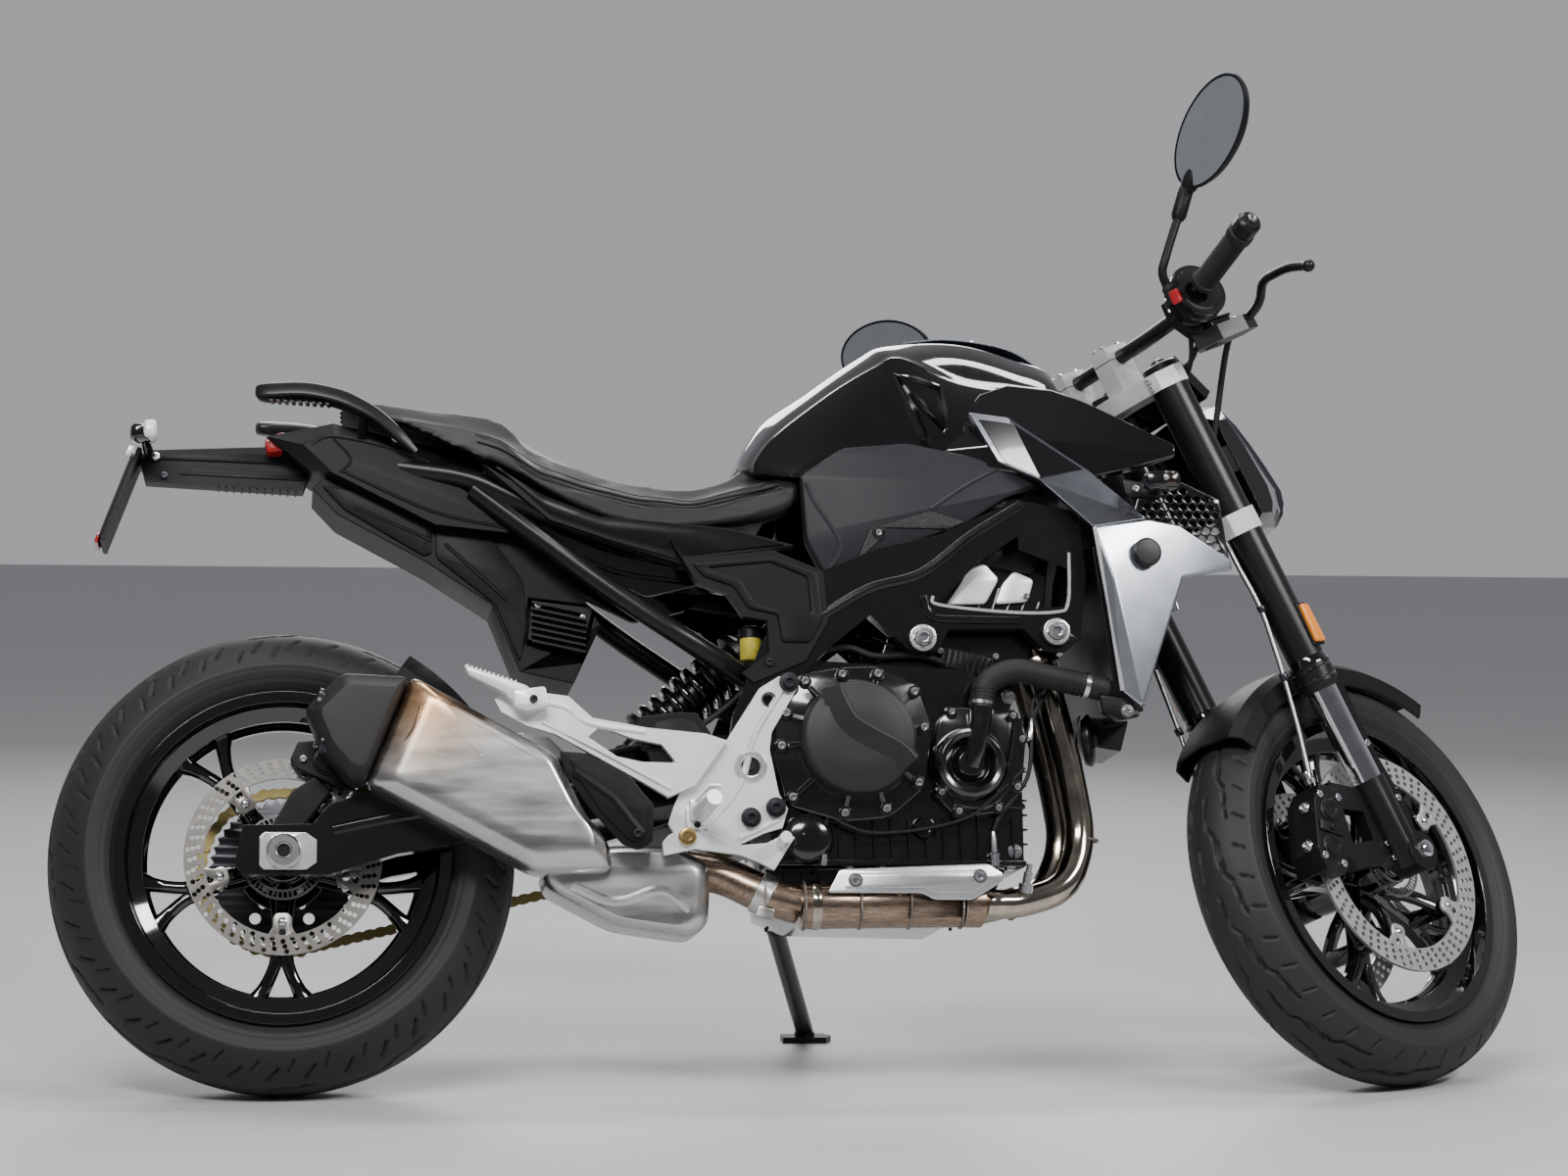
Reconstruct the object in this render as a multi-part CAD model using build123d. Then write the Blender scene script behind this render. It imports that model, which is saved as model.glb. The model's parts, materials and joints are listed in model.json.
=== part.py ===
from build123d import *
import math
import os

# A naked road motorcycle, leaning on its side stand with the steering on its left stop.
# It is drawn upright and straight ahead: X forward from the rear axle, Y to the rider's left,
# Z up from the ground, all in millimetres. Steered pieces are drawn in the fork's own frame:
# X ahead of the steering axis, Z up along it, with the front axle at height zero. At the end
# the steered pieces are turned to the stop, and the whole machine is leaned until both tyres
# and the stand's foot are on the ground.

# ---------------------------------------------------------------- driving dimensions
WHEELBASE = 1518.0
RAKE = 25.13              # steering axis from the vertical, degrees
AXLE_AHEAD = 28.4         # front axle ahead of the steering axis
LEGS_AHEAD = 15.8         # fork legs ahead of the steering axis
LEG_Y = 109.0             # fork legs from the centre plane
STEER_STOP = 33.0         # steering travel to each side, degrees
LEAN = 13.74              # lean on the side stand, degrees
RUN = 0.05                # running clearance between a shaft and its bore
SEAT_GAP = 0.3            # gap where a piece lies on its neighbour
MOVING_GAP = 6.0          # least room left round a moving piece

FRONT_TYRE_R = 300.0
FRONT_TYRE_W = 120.0
REAR_TYRE_R = 315.0
REAR_TYRE_W = 180.0
RIM_R = 216.0             # bead seat of a 17 inch rim
FRONT_RIM_W = 106.0
REAR_RIM_W = 158.0
TYRE_WALL = 9.0
RIM_WALL = 6.0
RIM_WELL = 22.0           # depth of the drop centre
RIM_FLANGE = 9.0          # height of the rim's edge over the bead seat
SPOKES = 5
FRONT_AXLE_R = 11.0
FRONT_AXLE_BORE_R = 8.0
REAR_AXLE_R = 14.0
REAR_AXLE_BORE_R = 9.0

FRONT_DISC_R = 160.0
FRONT_DISC_Y = 77.0       # from the centre plane to the disc's middle
FRONT_DISC_T = 4.5
FRONT_RING_W = 33.0       # width of the swept ring
REAR_DISC_R = 132.5
REAR_DISC_Y = 73.5
REAR_DISC_T = 5.0
REAR_RING_W = 27.0

CHAIN_Y = 107.0
CHAIN_W = 16.0
CHAIN_H = 15.0
SPROCKET_T = 6.0
REAR_SPROCKET_R = 102.0
FRONT_SPROCKET_R = 41.0

FORK_TUBE_R = 27.0
FORK_INNER_R = 21.5
FORK_BOTTOM_TOP = 120.0   # heights along the fork, from the axle
FORK_TUBE_LOW = 272.0
FORK_TUBE_TOP = 776.0
LOWER_CLAMP_S = 527.0
UPPER_CLAMP_S = 755.0
CLAMP_T = 26.0
STEM_R = 15.0
HEAD_TUBE_R = 32.0
BAR_R = 11.0
GRIP_R = 16.5
BAR_END_Y = 392.0
CONTROL_R = 41.0          # round housings beside the grips

PIVOT = (622.0, 428.0)    # swingarm pivot
SHAFT = (700.0, 415.0)    # gearbox output shaft
CLUTCH = (768.0, 466.0)
PUMP = (923.0, 434.0)
ALTERNATOR = (880.0, 420.0)
CASE_Y = 140.0            # half width of the crankcase
PLATE_T = 6.0             # number plate holder
PLATE_BOLT_R = 3.0
SHOCK_TOP = (664.0, 636.0)   # cross tube that holds the shock
CLUTCH_R = 78.0
SUMP_Y = 95.0             # half width of the sump
FRAME_TUBE_R = 15.0

STAND_PIVOT = (690.0, 122.0, 250.0)
STAND_FOOT = (775.0, 415.0)   # on the ground
STAND_FOLDED = (-0.97, 0.22, -0.10)
STAND_TILT = 35.0             # how far the pivot leans into the leg's plane, degrees
STAND_R = 13.0

front_axle = Vector(WHEELBASE, 0, FRONT_TYRE_R)
rear_axle = Vector(0, 0, REAR_TYRE_R)
rake = math.radians(RAKE)
steer_up = Vector(-math.sin(rake), 0, math.cos(rake))
steer_ahead = Vector(math.cos(rake), 0, math.sin(rake))
fork_foot = front_axle - steer_ahead * AXLE_AHEAD


# ---------------------------------------------------------------- helpers
def prism(points, y0, y1):
    """An outline in the side plane, from y0 to y1."""
    top = max(y0, y1)
    face = Face(Wire.make_polygon([Vector(x, top, z) for x, z in points], close=True))
    return extrude(face, amount=abs(y1 - y0), dir=(0, -1, 0))


def slab(points, z0, z1):
    """An outline seen from above, from z0 to z1."""
    face = Face(Wire.make_polygon([Vector(x, y, z0) for x, y in points], close=True))
    return extrude(face, amount=z1 - z0, dir=(0, 0, 1))


def drum(x, z, radius, y0, y1):
    """A round boss whose axis runs across the machine."""
    middle = Location((x, (y0 + y1) / 2, z), (90, 0, 0))
    return middle * Cylinder(radius, abs(y1 - y0))


def rod(start, end, radius):
    """A round bar between two points."""
    start, end = Vector(*start), Vector(*end)
    plane = Plane(origin=start, z_dir=end - start)
    return extrude(plane * Circle(radius), amount=(end - start).length)


def pipe(points, radius, roundness=0.45):
    """A bar bent along its points, each bend as large as its runs allow."""
    spots = [Vector(*p) for p in points]
    bends = []
    for before, here, after in zip(spots, spots[1:], spots[2:]):
        run = min((here - before).length, (after - here).length)
        turn = math.radians((here - before).get_angle(after - here))
        bends.append(roundness * run / math.tan(turn / 2))
    path = FilletPolyline(*spots, radius=bends)
    start = Plane(origin=path @ 0, z_dir=path % 0)
    return sweep(start * Circle(radius), path=path)


def skin(sections):
    """A faceted body through outlines with the same number of corners."""
    wires = [Wire.make_polygon([Vector(*p) for p in s], close=True) for s in sections]
    return Solid.make_loft(wires, True)


def side_skin(outlines):
    """A faceted body through side outlines, given as y: points."""
    return skin([[(x, y, z) for x, z in points] for y, points in outlines])


def other_side(shape):
    return mirror(shape, about=Plane.XZ)


def pair(shape):
    return [shape, other_side(shape)]


def spin(profile, start=0.0, sweep_angle=360.0):
    """A profile of (y, r) corners turned about the Y axis, from an angle above +X."""
    face = Face(Wire.make_polygon([Vector(r, y, 0) for y, r in profile], close=True))
    body = revolve(face, Axis.Y, sweep_angle)
    return Rot(0, -sweep_angle - start, 0) * body if sweep_angle < 360 else body


def group(*shapes):
    """Solids that share a node without touching."""
    solids = []
    for shape in shapes:
        for item in (shape if isinstance(shape, list) else [shape]):
            solids.extend(item.solids())
    return Compound(solids)


def seated(shape, *others):
    """A piece cut back where its neighbours are."""
    for other in others:
        for tool in other.solids():
            shape = shape - tool
    return shape


def largest(shape):
    return shape.solids().sort_by(SortBy.VOLUME)[-1]


def seated_pair(shape, *others):
    """A right-hand piece and its mirror image, each cut back to its neighbours."""
    return group(*[largest(seated(piece, *others)) for piece in pair(shape)])


# ---------------------------------------------------------------- wheels
def make_tyre(radius, width, rim_w):
    half = width / 2
    bead = rim_w / 2 - 8 - SEAT_GAP
    shoulder = radius - 0.6 * half
    low = RIM_R + 0.5

    def ring(wide, top, foot):
        left, right = Vector(low, -foot, 0), Vector(low, foot, 0)
        over = RIM_R + RIM_FLANGE + 1
        up_left, up_right = Vector(over, -foot, 0), Vector(over, foot, 0)
        a, b = Vector(shoulder, -wide, 0), Vector(shoulder, wide, 0)
        bulge = (over + shoulder) / 2
        side = (foot + wide) / 2 + 4
        return [
            Line(left, up_left),
            ThreePointArc(up_left, Vector(bulge, -side, 0), a),
            ThreePointArc(a, Vector(top, 0, 0), b),
            ThreePointArc(b, Vector(bulge, side, 0), up_right),
            Line(up_right, right),
            Line(right, left),
        ]

    outer = revolve(make_face(ring(half, radius, bead)), Axis.Y, 360)
    inner = revolve(make_face(ring(half - TYRE_WALL, radius - TYRE_WALL, bead - TYRE_WALL)), Axis.Y, 360)
    return outer - inner


def make_rim(rim_w, axle_r, hub_r, hub_left, hub_right, boss_ring, bosses, first_spoke):
    edge = rim_w / 2
    seat, well = RIM_R, RIM_R - RIM_WELL
    flange = RIM_R + RIM_FLANGE
    half = [(edge, seat - RIM_WALL), (edge, flange), (edge - 6, flange), (edge - 8, seat),
            (edge - 27, seat - 2), (edge - 36, well)]
    under = [(edge - 33, well - RIM_WALL), (edge - 24, seat - 2 - RIM_WALL)]
    profile = half + [(-y, r) for y, r in reversed(half)]
    profile += [(-y, r) for y, r in reversed(under)] + under
    body = spin(profile)
    inside = well - RIM_WALL
    body += drum(0, 0, hub_r, hub_left, hub_right)
    spoke_t = 17.0
    outline = [(-24, hub_r - 8), (-15, 112), (-18, 140), (-38, inside + 3), (38, inside + 3),
               (18, 140), (15, 112), (24, hub_r - 8)]
    window = [(0, 148), (-20, inside - 4), (20, inside - 4)]
    spoke = prism([(r, w) for w, r in outline], -spoke_t, spoke_t)
    spoke -= prism([(r, w) for w, r in window], -spoke_t - 1, spoke_t + 1)
    for y_end in bosses:
        arm = [(hub_r - 6, -9), (boss_ring, -9), (boss_ring, 9), (hub_r - 6, 9)]
        spoke += prism(arm, 0, y_end)
        spoke += drum(boss_ring, 0, 13, 0, y_end)
    for i in range(SPOKES):
        body += Rot(0, -(first_spoke + i * 360 / SPOKES), 0) * spoke
    return body - drum(0, 0, axle_r + RUN, hub_left - 1, hub_right + 1)


def make_disc(radius, ring_w, y, thick, boss_ring, first):
    inner = radius - ring_w
    body = drum(0, 0, radius, y - thick / 2, y + thick / 2) - drum(0, 0, inner, y - thick, y + thick)
    lug = drum(boss_ring, 0, 14, y - thick / 2, y + thick / 2)
    lug += prism([(boss_ring, -15), (inner + 6, -24), (inner + 6, 24), (boss_ring, 15)],
                 y - thick / 2, y + thick / 2)
    for i in range(SPOKES):
        body += Rot(0, -(first + i * 360 / SPOKES), 0) * lug
    return body


# ---------------------------------------------------------------- steered pieces, in the fork's frame
def in_fork(shape):
    """From the wheel's centre to the front axle's place in the fork's frame."""
    return Pos(AXLE_AHEAD, 0, 0) * shape


front_boss_ring = 108.0
front_hub_y = FRONT_DISC_Y - FRONT_DISC_T / 2
front_tyre = in_fork(make_tyre(FRONT_TYRE_R, FRONT_TYRE_W, FRONT_RIM_W))
front_rim = in_fork(make_rim(FRONT_RIM_W, FRONT_AXLE_R, 30, -front_hub_y, front_hub_y,
                             front_boss_ring, (-front_hub_y, front_hub_y), 306))
front_discs = group(*[
    in_fork(make_disc(FRONT_DISC_R, FRONT_RING_W, y, FRONT_DISC_T, front_boss_ring, 306))
    for y in (-FRONT_DISC_Y, FRONT_DISC_Y)])

leg_in = FRONT_DISC_Y + FRONT_DISC_T / 2 + 2 * MOVING_GAP - 3
leg_out = LEG_Y + 24
collar_y = front_hub_y + 0.5
front_axle_bar = drum(AXLE_AHEAD, 0, FRONT_AXLE_R, -leg_out - 6, leg_out + 6)
for side in (-1, 1):
    front_axle_bar += drum(AXLE_AHEAD, 0, 19, side * collar_y, side * leg_in)
front_axle_bar -= drum(AXLE_AHEAD, 0, FRONT_AXLE_BORE_R, -leg_out - 8, leg_out + 8)

caliper_angle = 148.0
caliper_r = FRONT_DISC_R - 3
caliper_at = Location((AXLE_AHEAD, 0, 0)) * Rot(0, -caliper_angle, 0)
slot_y = FRONT_DISC_T / 2 + MOVING_GAP - 0.5


def make_caliper(ring_r, disc_y, slot, length, depth, inner_y, outer_y):
    """A block across the disc's rim, drawn on +X at the wheel's centre."""
    block = [(ring_r - depth / 2, -length / 2 + 12), (ring_r - depth / 2 + 8, -length / 2),
             (ring_r + depth / 2 - 14, -length / 2), (ring_r + depth / 2, -length / 2 + 26),
             (ring_r + depth / 2, length / 2 - 26), (ring_r + depth / 2 - 14, length / 2),
             (ring_r - depth / 2 + 8, length / 2), (ring_r - depth / 2, length / 2 - 12)]
    body = prism(block, inner_y, outer_y)
    groove = [(ring_r - depth, -length), (ring_r + 8, -length), (ring_r + 8, length),
              (ring_r - depth, length)]
    return body - prism(groove, disc_y - slot, disc_y + slot)


caliper = caliper_at * make_caliper(caliper_r, -FRONT_DISC_Y, slot_y, 128, 56, -56, -leg_in - 22)
arm_points = [(-2, 112), (-62, 142), (-78, 118), (-96, 40), (-88, 16), (-20, 6), (28, -28),
              (56, -16), (54, 16), (36, 60)]
fork_bottom = Pos(LEGS_AHEAD, -LEG_Y, 0) * Pos(0, 0, FORK_BOTTOM_TOP / 2 - 6) * Cylinder(
    25, FORK_BOTTOM_TOP + 12)
fork_bottom += prism(arm_points, -leg_in, -leg_in - 20)
fork_bottom += drum(AXLE_AHEAD, 0, 28, -leg_in, -leg_out)
arm_window = [(-60, 100), (-74, 50), (-30, 42), (-22, 84)]
fork_bottom -= prism(arm_window, -leg_in + 1, -leg_in - 21)
fork_bottom -= drum(AXLE_AHEAD, 0, FRONT_AXLE_R + RUN, -leg_in + 1, -leg_out - 1)
fork_bottom -= Pos(0, -leg_in + 30, 0) * Box(400, 60, 400)
caliper = seated(caliper, fork_bottom)
front_calipers = group(*pair(caliper))
fork_inner = Pos(LEGS_AHEAD, -LEG_Y, (FORK_BOTTOM_TOP + FORK_TUBE_LOW) / 2) * Cylinder(
    FORK_INNER_R, FORK_TUBE_LOW - FORK_BOTTOM_TOP)
fork_inner_tubes = group(*pair(fork_inner))
tube_len = FORK_TUBE_TOP - FORK_TUBE_LOW
fork_outer = Pos(LEGS_AHEAD, -LEG_Y, FORK_TUBE_LOW + tube_len / 2) * Cylinder(FORK_TUBE_R, tube_len)
fork_outer += Pos(LEGS_AHEAD, -LEG_Y, FORK_TUBE_LOW + 14) * Cylinder(FORK_TUBE_R + 2.5, 28)
fork_legs = group(*pair(fork_outer), *pair(fork_bottom))

clamp_half = [(-36, 0), (-34, 40), (LEGS_AHEAD - 30, LEG_Y + 10), (LEGS_AHEAD - 8, LEG_Y + 30),
              (LEGS_AHEAD + 10, LEG_Y + 30), (LEGS_AHEAD + 36, LEG_Y + 6),
              (LEGS_AHEAD + 34, LEG_Y - 34), (30, 36), (30, 0)]
clamp_outline = clamp_half[1:-1] + [(x, -y) for x, y in reversed(clamp_half[1:-1])]
clamp_low = LOWER_CLAMP_S - CLAMP_T / 2
clamp_top = UPPER_CLAMP_S + CLAMP_T / 2
clamps = slab(clamp_outline, clamp_low - 6, LOWER_CLAMP_S + CLAMP_T / 2)
clamps += slab(clamp_outline, UPPER_CLAMP_S - CLAMP_T / 2, clamp_top)
stem_low, stem_high = LOWER_CLAMP_S + CLAMP_T / 2, UPPER_CLAMP_S - CLAMP_T / 2
clamps += Pos(0, 0, (stem_low + stem_high) / 2) * Cylinder(STEM_R, stem_high - stem_low)

bar_s = 817.0
bar_p = 6.0
bar_half = [(bar_p, 0, bar_s), (bar_p, -110, bar_s), (-8, -200, bar_s + 1), (-9, -243, bar_s + 16),
            (-37, -BAR_END_Y, bar_s + 51)]
bar_path = [(x, -y, z) for x, y, z in reversed(bar_half[1:])] + bar_half[1:]
handlebar = pipe(bar_path, BAR_R, 0.25)
riser = slab([(bar_p - 26, -62), (bar_p + 24, -62), (bar_p + 24, -30), (bar_p - 26, -30)],
             clamp_top - 0.5, bar_s + 20)
clamps += riser
clamps += other_side(riser)
for side in (-1, 1):
    clamps -= Pos(LEGS_AHEAD, side * LEG_Y, FORK_TUBE_TOP / 2) * Cylinder(FORK_TUBE_R, FORK_TUBE_TOP)
clamps -= drum(bar_p, bar_s, BAR_R, -80, 80)
triple_clamps = clamps

grip_dir = Vector(*bar_half[-1]) - Vector(*bar_half[-2])
grip_unit = grip_dir.normalized()
grip_start = Vector(*bar_half[-2]) + grip_unit * 24
bar_end = Vector(*bar_half[-1])
grip_end = bar_end + grip_unit * 14
grip = rod(grip_start, grip_end, GRIP_R) + rod(bar_end - grip_unit * 14, grip_end, GRIP_R + 2.5)
grip -= rod(grip_start - grip_unit, bar_end + grip_unit * SEAT_GAP, BAR_R + SEAT_GAP)
grips = group(*pair(grip))

control_c = Vector(-5, -228, 829)
control = rod(control_c - grip_unit * 22, control_c + grip_unit * 2, 30)
control += rod(control_c + grip_unit * 2, control_c + grip_unit * 26, CONTROL_R)
perch = prism([(-28, 842), (-32, 812), (-8, 786), (20, 760), (58, 764), (70, 780), (40, 806), (10, 842)],
              -194, -212)
perch += slab([(-10, -205), (20, -180), (58, -186), (88, -214), (92, -240), (62, -246), (20, -230)], 762, 784)
lever = pipe([(78, -222, 773), (90, -262, 788), (77, -292, 812), (62, -350, 806), (50, -392, 790)], 6.5, 0.4)
lever += Pos(50, -392, 790) * Sphere(9)
control_right = seated(control + perch + lever, handlebar, grips)
control_left = seated(other_side(control + perch + lever), handlebar, grips)
bar_controls = group(largest(control_right), largest(control_left))

mirror_c = Vector(33, -362, 1020)
mirror_plane = Plane(origin=mirror_c, x_dir=(0, -0.91, 0.41), z_dir=(-0.97, 0.1, 0.22))
mirror_face = mirror_plane * Ellipse(92, 54)
mirror_back = mirror_plane.offset(-26) * Ellipse(60, 34)
mirror_head = loft([mirror_face.face(), mirror_back.face()])
mirror_head += extrude(mirror_face, amount=5)
mirror_foot = Vector(-40, -230, 836)
stem = pipe([mirror_foot, (-46, -234, 872), (-34, -246, 896), (8, -268, 944), (24, -276, 960)], 6.5, 0.4)
boss = rod((4, -266, 939), (30, -284, 975), 11) + rod((26, -281, 968), (46, -312, 992), 13)
mirror_right = mirror_head + stem + boss
mirrors = seated_pair(mirror_right, bar_controls, handlebar, grips)

lamp_mid = [(104, 712), (196, 722), (222, 640), (239, 556), (226, 522), (197, 504), (104, 508)]
lamp_near = [(102, 706), (170, 706), (192, 636), (205, 560), (192, 528), (168, 512), (102, 512)]
lamp_far = [(100, 680), (124, 676), (134, 626), (140, 566), (134, 540), (122, 526), (100, 530)]
headlamp = side_skin([(-92, lamp_far), (-52, lamp_near), (0, lamp_mid), (52, lamp_near), (92, lamp_far)])
lamp_arm = prism([(LEGS_AHEAD + 20, 640), (102, 640), (102, 600), (LEGS_AHEAD + 20, 600)], -90, -78)
lamp_arms = seated(lamp_arm, fork_legs)
headlamp += lamp_arms
headlamp += other_side(lamp_arms)
display = skin([[(x, -y, z) for y, x, z in
                 ((84, 92, 792), (84, 130, 724), (-84, 130, 724), (-84, 92, 792))],
                [(x - 16, -y, z - 9) for y, x, z in
                 ((84, 92, 792), (84, 130, 724), (-84, 130, 724), (-84, 92, 792))]])
display_stay = prism([(24, 760), (84, 770), (88, 754), (30, 744)], -20, 20)
display = display + display_stay
display = seated(display, triple_clamps, headlamp)

mud_c = (AXLE_AHEAD, 0.0)
mud_r = FRONT_TYRE_R + 18.0
mud_half = FRONT_TYRE_W / 2 + 10
wall = 3.0
mud_outer = [(-mud_half, mud_r - 42), (-mud_half + 3, mud_r - 18), (-mud_half + 18, mud_r - 6), (0, mud_r),
             (mud_half - 18, mud_r - 6), (mud_half - 3, mud_r - 18), (mud_half, mud_r - 42)]
mud_inner = [(y * (1 - wall / mud_half), r - wall) for y, r in mud_outer]
mudguard = Pos(mud_c[0], 0, mud_c[1]) * spin(mud_outer + mud_inner[::-1], 38, 86)
strut = prism([(18, 34), (18, 104), (50, 130), (54, mud_r - 118), (48, mud_r - 56), (64, mud_r - 32),
               (96, mud_r - 36), (92, mud_r - 98), (78, 120), (64, 36)], -leg_in + 3.2, -leg_in + 0.2)
strut_pad = prism([(56, mud_r - 54), (92, mud_r - 54), (92, mud_r - 32), (60, mud_r - 32)],
                  -mud_half + 2, -leg_in + 3.2)
front_mudguard = mudguard
for piece in pair(strut + strut_pad):
    front_mudguard += piece
front_mudguard = seated(front_mudguard, fork_legs, front_axle_bar)

# ---------------------------------------------------------------- rear wheel
rear_boss_ring = 88.0
rear_hub_right = -(REAR_DISC_Y - REAR_DISC_T / 2)
rear_hub_left = CHAIN_Y - SPROCKET_T / 2


def on_rear_axle(shape):
    return Pos(*rear_axle) * shape


rear_tyre = on_rear_axle(make_tyre(REAR_TYRE_R, REAR_TYRE_W, REAR_RIM_W))
rear_rim = make_rim(REAR_RIM_W, REAR_AXLE_R, 38, rear_hub_right, 76, rear_boss_ring,
                    (rear_hub_right,), 270)
rear_rim += drum(0, 0, 62, 20, 76) - drum(0, 0, REAR_AXLE_R + RUN, 19, 77)
rear_rim = on_rear_axle(rear_rim)
rear_disc = on_rear_axle(make_disc(REAR_DISC_R, REAR_RING_W, -REAR_DISC_Y, REAR_DISC_T, rear_boss_ring, 270))
sprocket = drum(0, 0, REAR_SPROCKET_R, rear_hub_left, rear_hub_left + SPROCKET_T)
sprocket += drum(0, 0, 52, 76, rear_hub_left)
for i in range(6):
    sprocket -= Rot(0, i * 60, 0) * drum(74, 0, 16, rear_hub_left - 1, rear_hub_left + SPROCKET_T + 1)
sprocket -= drum(0, 0, REAR_AXLE_R + RUN, 70, rear_hub_left + SPROCKET_T + 1)
rear_sprocket = on_rear_axle(sprocket)

# ---------------------------------------------------------------- swingarm and rear axle
arm_in = REAR_TYRE_W / 2 + 12
axle_z = REAR_TYRE_R
arm_right = [(-64, axle_z - 17), (-54, axle_z + 35), (38, axle_z + 37), (60, axle_z + 63), (143, axle_z + 93),
             (330, 436), (560, 476), (622, 476), (652, 428), (622, 384), (560, 388), (330, 344),
             (150, axle_z - 3), (60, axle_z - 31), (-52, axle_z - 31)]
arm_left_in = CHAIN_Y + CHAIN_W / 2 + MOVING_GAP
swingarm = prism(arm_right, -arm_in, -arm_in - 30)
swingarm += prism(arm_right, arm_left_in, arm_left_in + 22)
swingarm += prism([(380, 360), (380, 440), (560, 470), (560, 392)], -arm_in, 88)
swingarm += prism([(430, 424), (430, 352), (560, 392), (560, 432)], 84, arm_left_in + 2)
swingarm -= drum(rear_axle.X, rear_axle.Z, REAR_AXLE_R + RUN, -200, 200)
plate_t = 5.0
arm_out = arm_in + 30
axle_bar = drum(rear_axle.X, rear_axle.Z, REAR_AXLE_R, -arm_out - 12, arm_left_in + 34)
axle_bar += drum(rear_axle.X, rear_axle.Z, 22, rear_hub_right - 0.6, -arm_in)
axle_bar += drum(rear_axle.X, rear_axle.Z, 22, rear_hub_left + SPROCKET_T + 0.6, arm_left_in)
axle_plate = [(-26, axle_z - 25), (-32, axle_z - 19), (-32, axle_z + 19), (-26, axle_z + 25), (30, axle_z + 25),
              (44, axle_z + 15), (44, axle_z - 15), (30, axle_z - 25)]
axle_bar += prism(axle_plate, -arm_out, -arm_out - plate_t)
axle_bar += drum(rear_axle.X, rear_axle.Z, 22, -arm_out - 12, -arm_out)
axle_bar += drum(rear_axle.X, rear_axle.Z, 22, arm_left_in + 22, arm_left_in + 34)
axle_bar -= drum(rear_axle.X, rear_axle.Z, REAR_AXLE_BORE_R, -300, 300)
rear_axle_bar = axle_bar

rear_slot = REAR_DISC_T / 2 + MOVING_GAP - 0.5
rear_caliper = Rot(0, -66, 0) * make_caliper(REAR_DISC_R + 4, -REAR_DISC_Y, rear_slot, 92, 48, -50, -98)
rear_caliper = on_rear_axle(rear_caliper)
caliper_stay = prism([(-20, axle_z + 30), (20, axle_z + 30), (62, axle_z + 85), (40, axle_z + 105), (10, axle_z + 85)],
                     -REAR_DISC_Y - rear_slot, -arm_in)
rear_caliper = rear_caliper + caliper_stay
rear_caliper = seated(rear_caliper, swingarm, rear_axle_bar)

hug_r = REAR_TYRE_R + 14
hug_half = REAR_TYRE_W / 2 + 6
hug_outer = [(-hug_half, hug_r - 52), (-hug_half + 6, hug_r - 26), (-hug_half + 34, hug_r - 4), (0, hug_r),
             (hug_half - 34, hug_r - 4), (hug_half - 6, hug_r - 26), (hug_half, hug_r - 52)]
hug_inner = [(y * (1 - wall / hug_half), r - wall) for y, r in hug_outer]
hugger = on_rear_axle(spin(hug_outer + hug_inner[::-1], 12, 47))
tab_points = [(hug_r - 67, axle_z + 57), (hug_r - 29, axle_z + 57), (hug_r - 29, axle_z + 87), (hug_r - 67, axle_z + 87)]
hugger += prism(tab_points, -hug_half + 1, -arm_in)
hugger += prism(tab_points, hug_half - 1, arm_left_in)
hugger = seated(hugger, swingarm)

# ---------------------------------------------------------------- chain
def ring_outline(grow):
    """Half-round ends about both sprockets, joined by the two runs."""
    rear_c, front_c = Vector(0, REAR_TYRE_R), Vector(*SHAFT)
    big, small = REAR_SPROCKET_R + grow, FRONT_SPROCKET_R + grow
    along = front_c - rear_c
    base = math.atan2(along.Y, along.X)
    turn = math.acos((big - small) / along.length)
    spots = []
    for centre, radius, first, last in ((rear_c, big, base + turn, base + 2 * math.pi - turn),
                                        (front_c, small, base - turn, base + turn)):
        steps = 28 if radius == big else 14
        for i in range(steps + 1):
            angle = first + (last - first) * i / steps
            spots.append((centre.X + radius * math.cos(angle), centre.Y + radius * math.sin(angle)))
    return spots


chain_low = 1.5
chain = prism(ring_outline(chain_low + CHAIN_H), CHAIN_Y - CHAIN_W / 2, CHAIN_Y + CHAIN_W / 2)
chain -= prism(ring_outline(chain_low), CHAIN_Y - CHAIN_W, CHAIN_Y + CHAIN_W)

# ---------------------------------------------------------------- engine
case_points = [(650, 300), (1000, 300), (1000, 440), (985, 520), (930, 568), (700, 580), (655, 545),
               (655, 480), (655, 380)]
sump_points = [(650, 302), (655, 245), (700, 226), (900, 222), (962, 256), (985, 302)]
engine_case = prism(case_points, -CASE_Y, CASE_Y) + prism(sump_points, -SUMP_Y, SUMP_Y)
head_points = [(800, 560), (985, 505), (1040, 640), (1052, 740), (1000, 790), (880, 800), (850, 700)]
cylinder_head = prism(head_points, -118, 118)
cylinder_head = seated(cylinder_head, engine_case)
cover_points = [(698, 556), (749, 566), (798, 568), (850, 545), (872, 486), (862, 404), (810, 362),
                (748, 356), (675, 378), (664, 420), (661, 520)]
clutch_cover = prism(cover_points, -CASE_Y, -CASE_Y - 24)
clutch_cover += drum(*CLUTCH, CLUTCH_R, -CASE_Y - 24, -CASE_Y - 58)
wedge = prism([(690, 540), (790, 470), (846, 430), (838, 410), (760, 450), (730, 500)],
              -CASE_Y - 50, -CASE_Y - 70)
clutch_cover += wedge & drum(*CLUTCH, CLUTCH_R, -CASE_Y, -CASE_Y - 80)
pump_points = [(888, 500), (905, 512), (985, 505), (998, 470), (990, 400), (965, 372), (905, 366),
               (882, 392), (878, 450)]
pump_cover = prism(pump_points, -CASE_Y, -CASE_Y - 22)
pump_cover += drum(*PUMP, 44, -CASE_Y - 22, -CASE_Y - 46)
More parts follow.
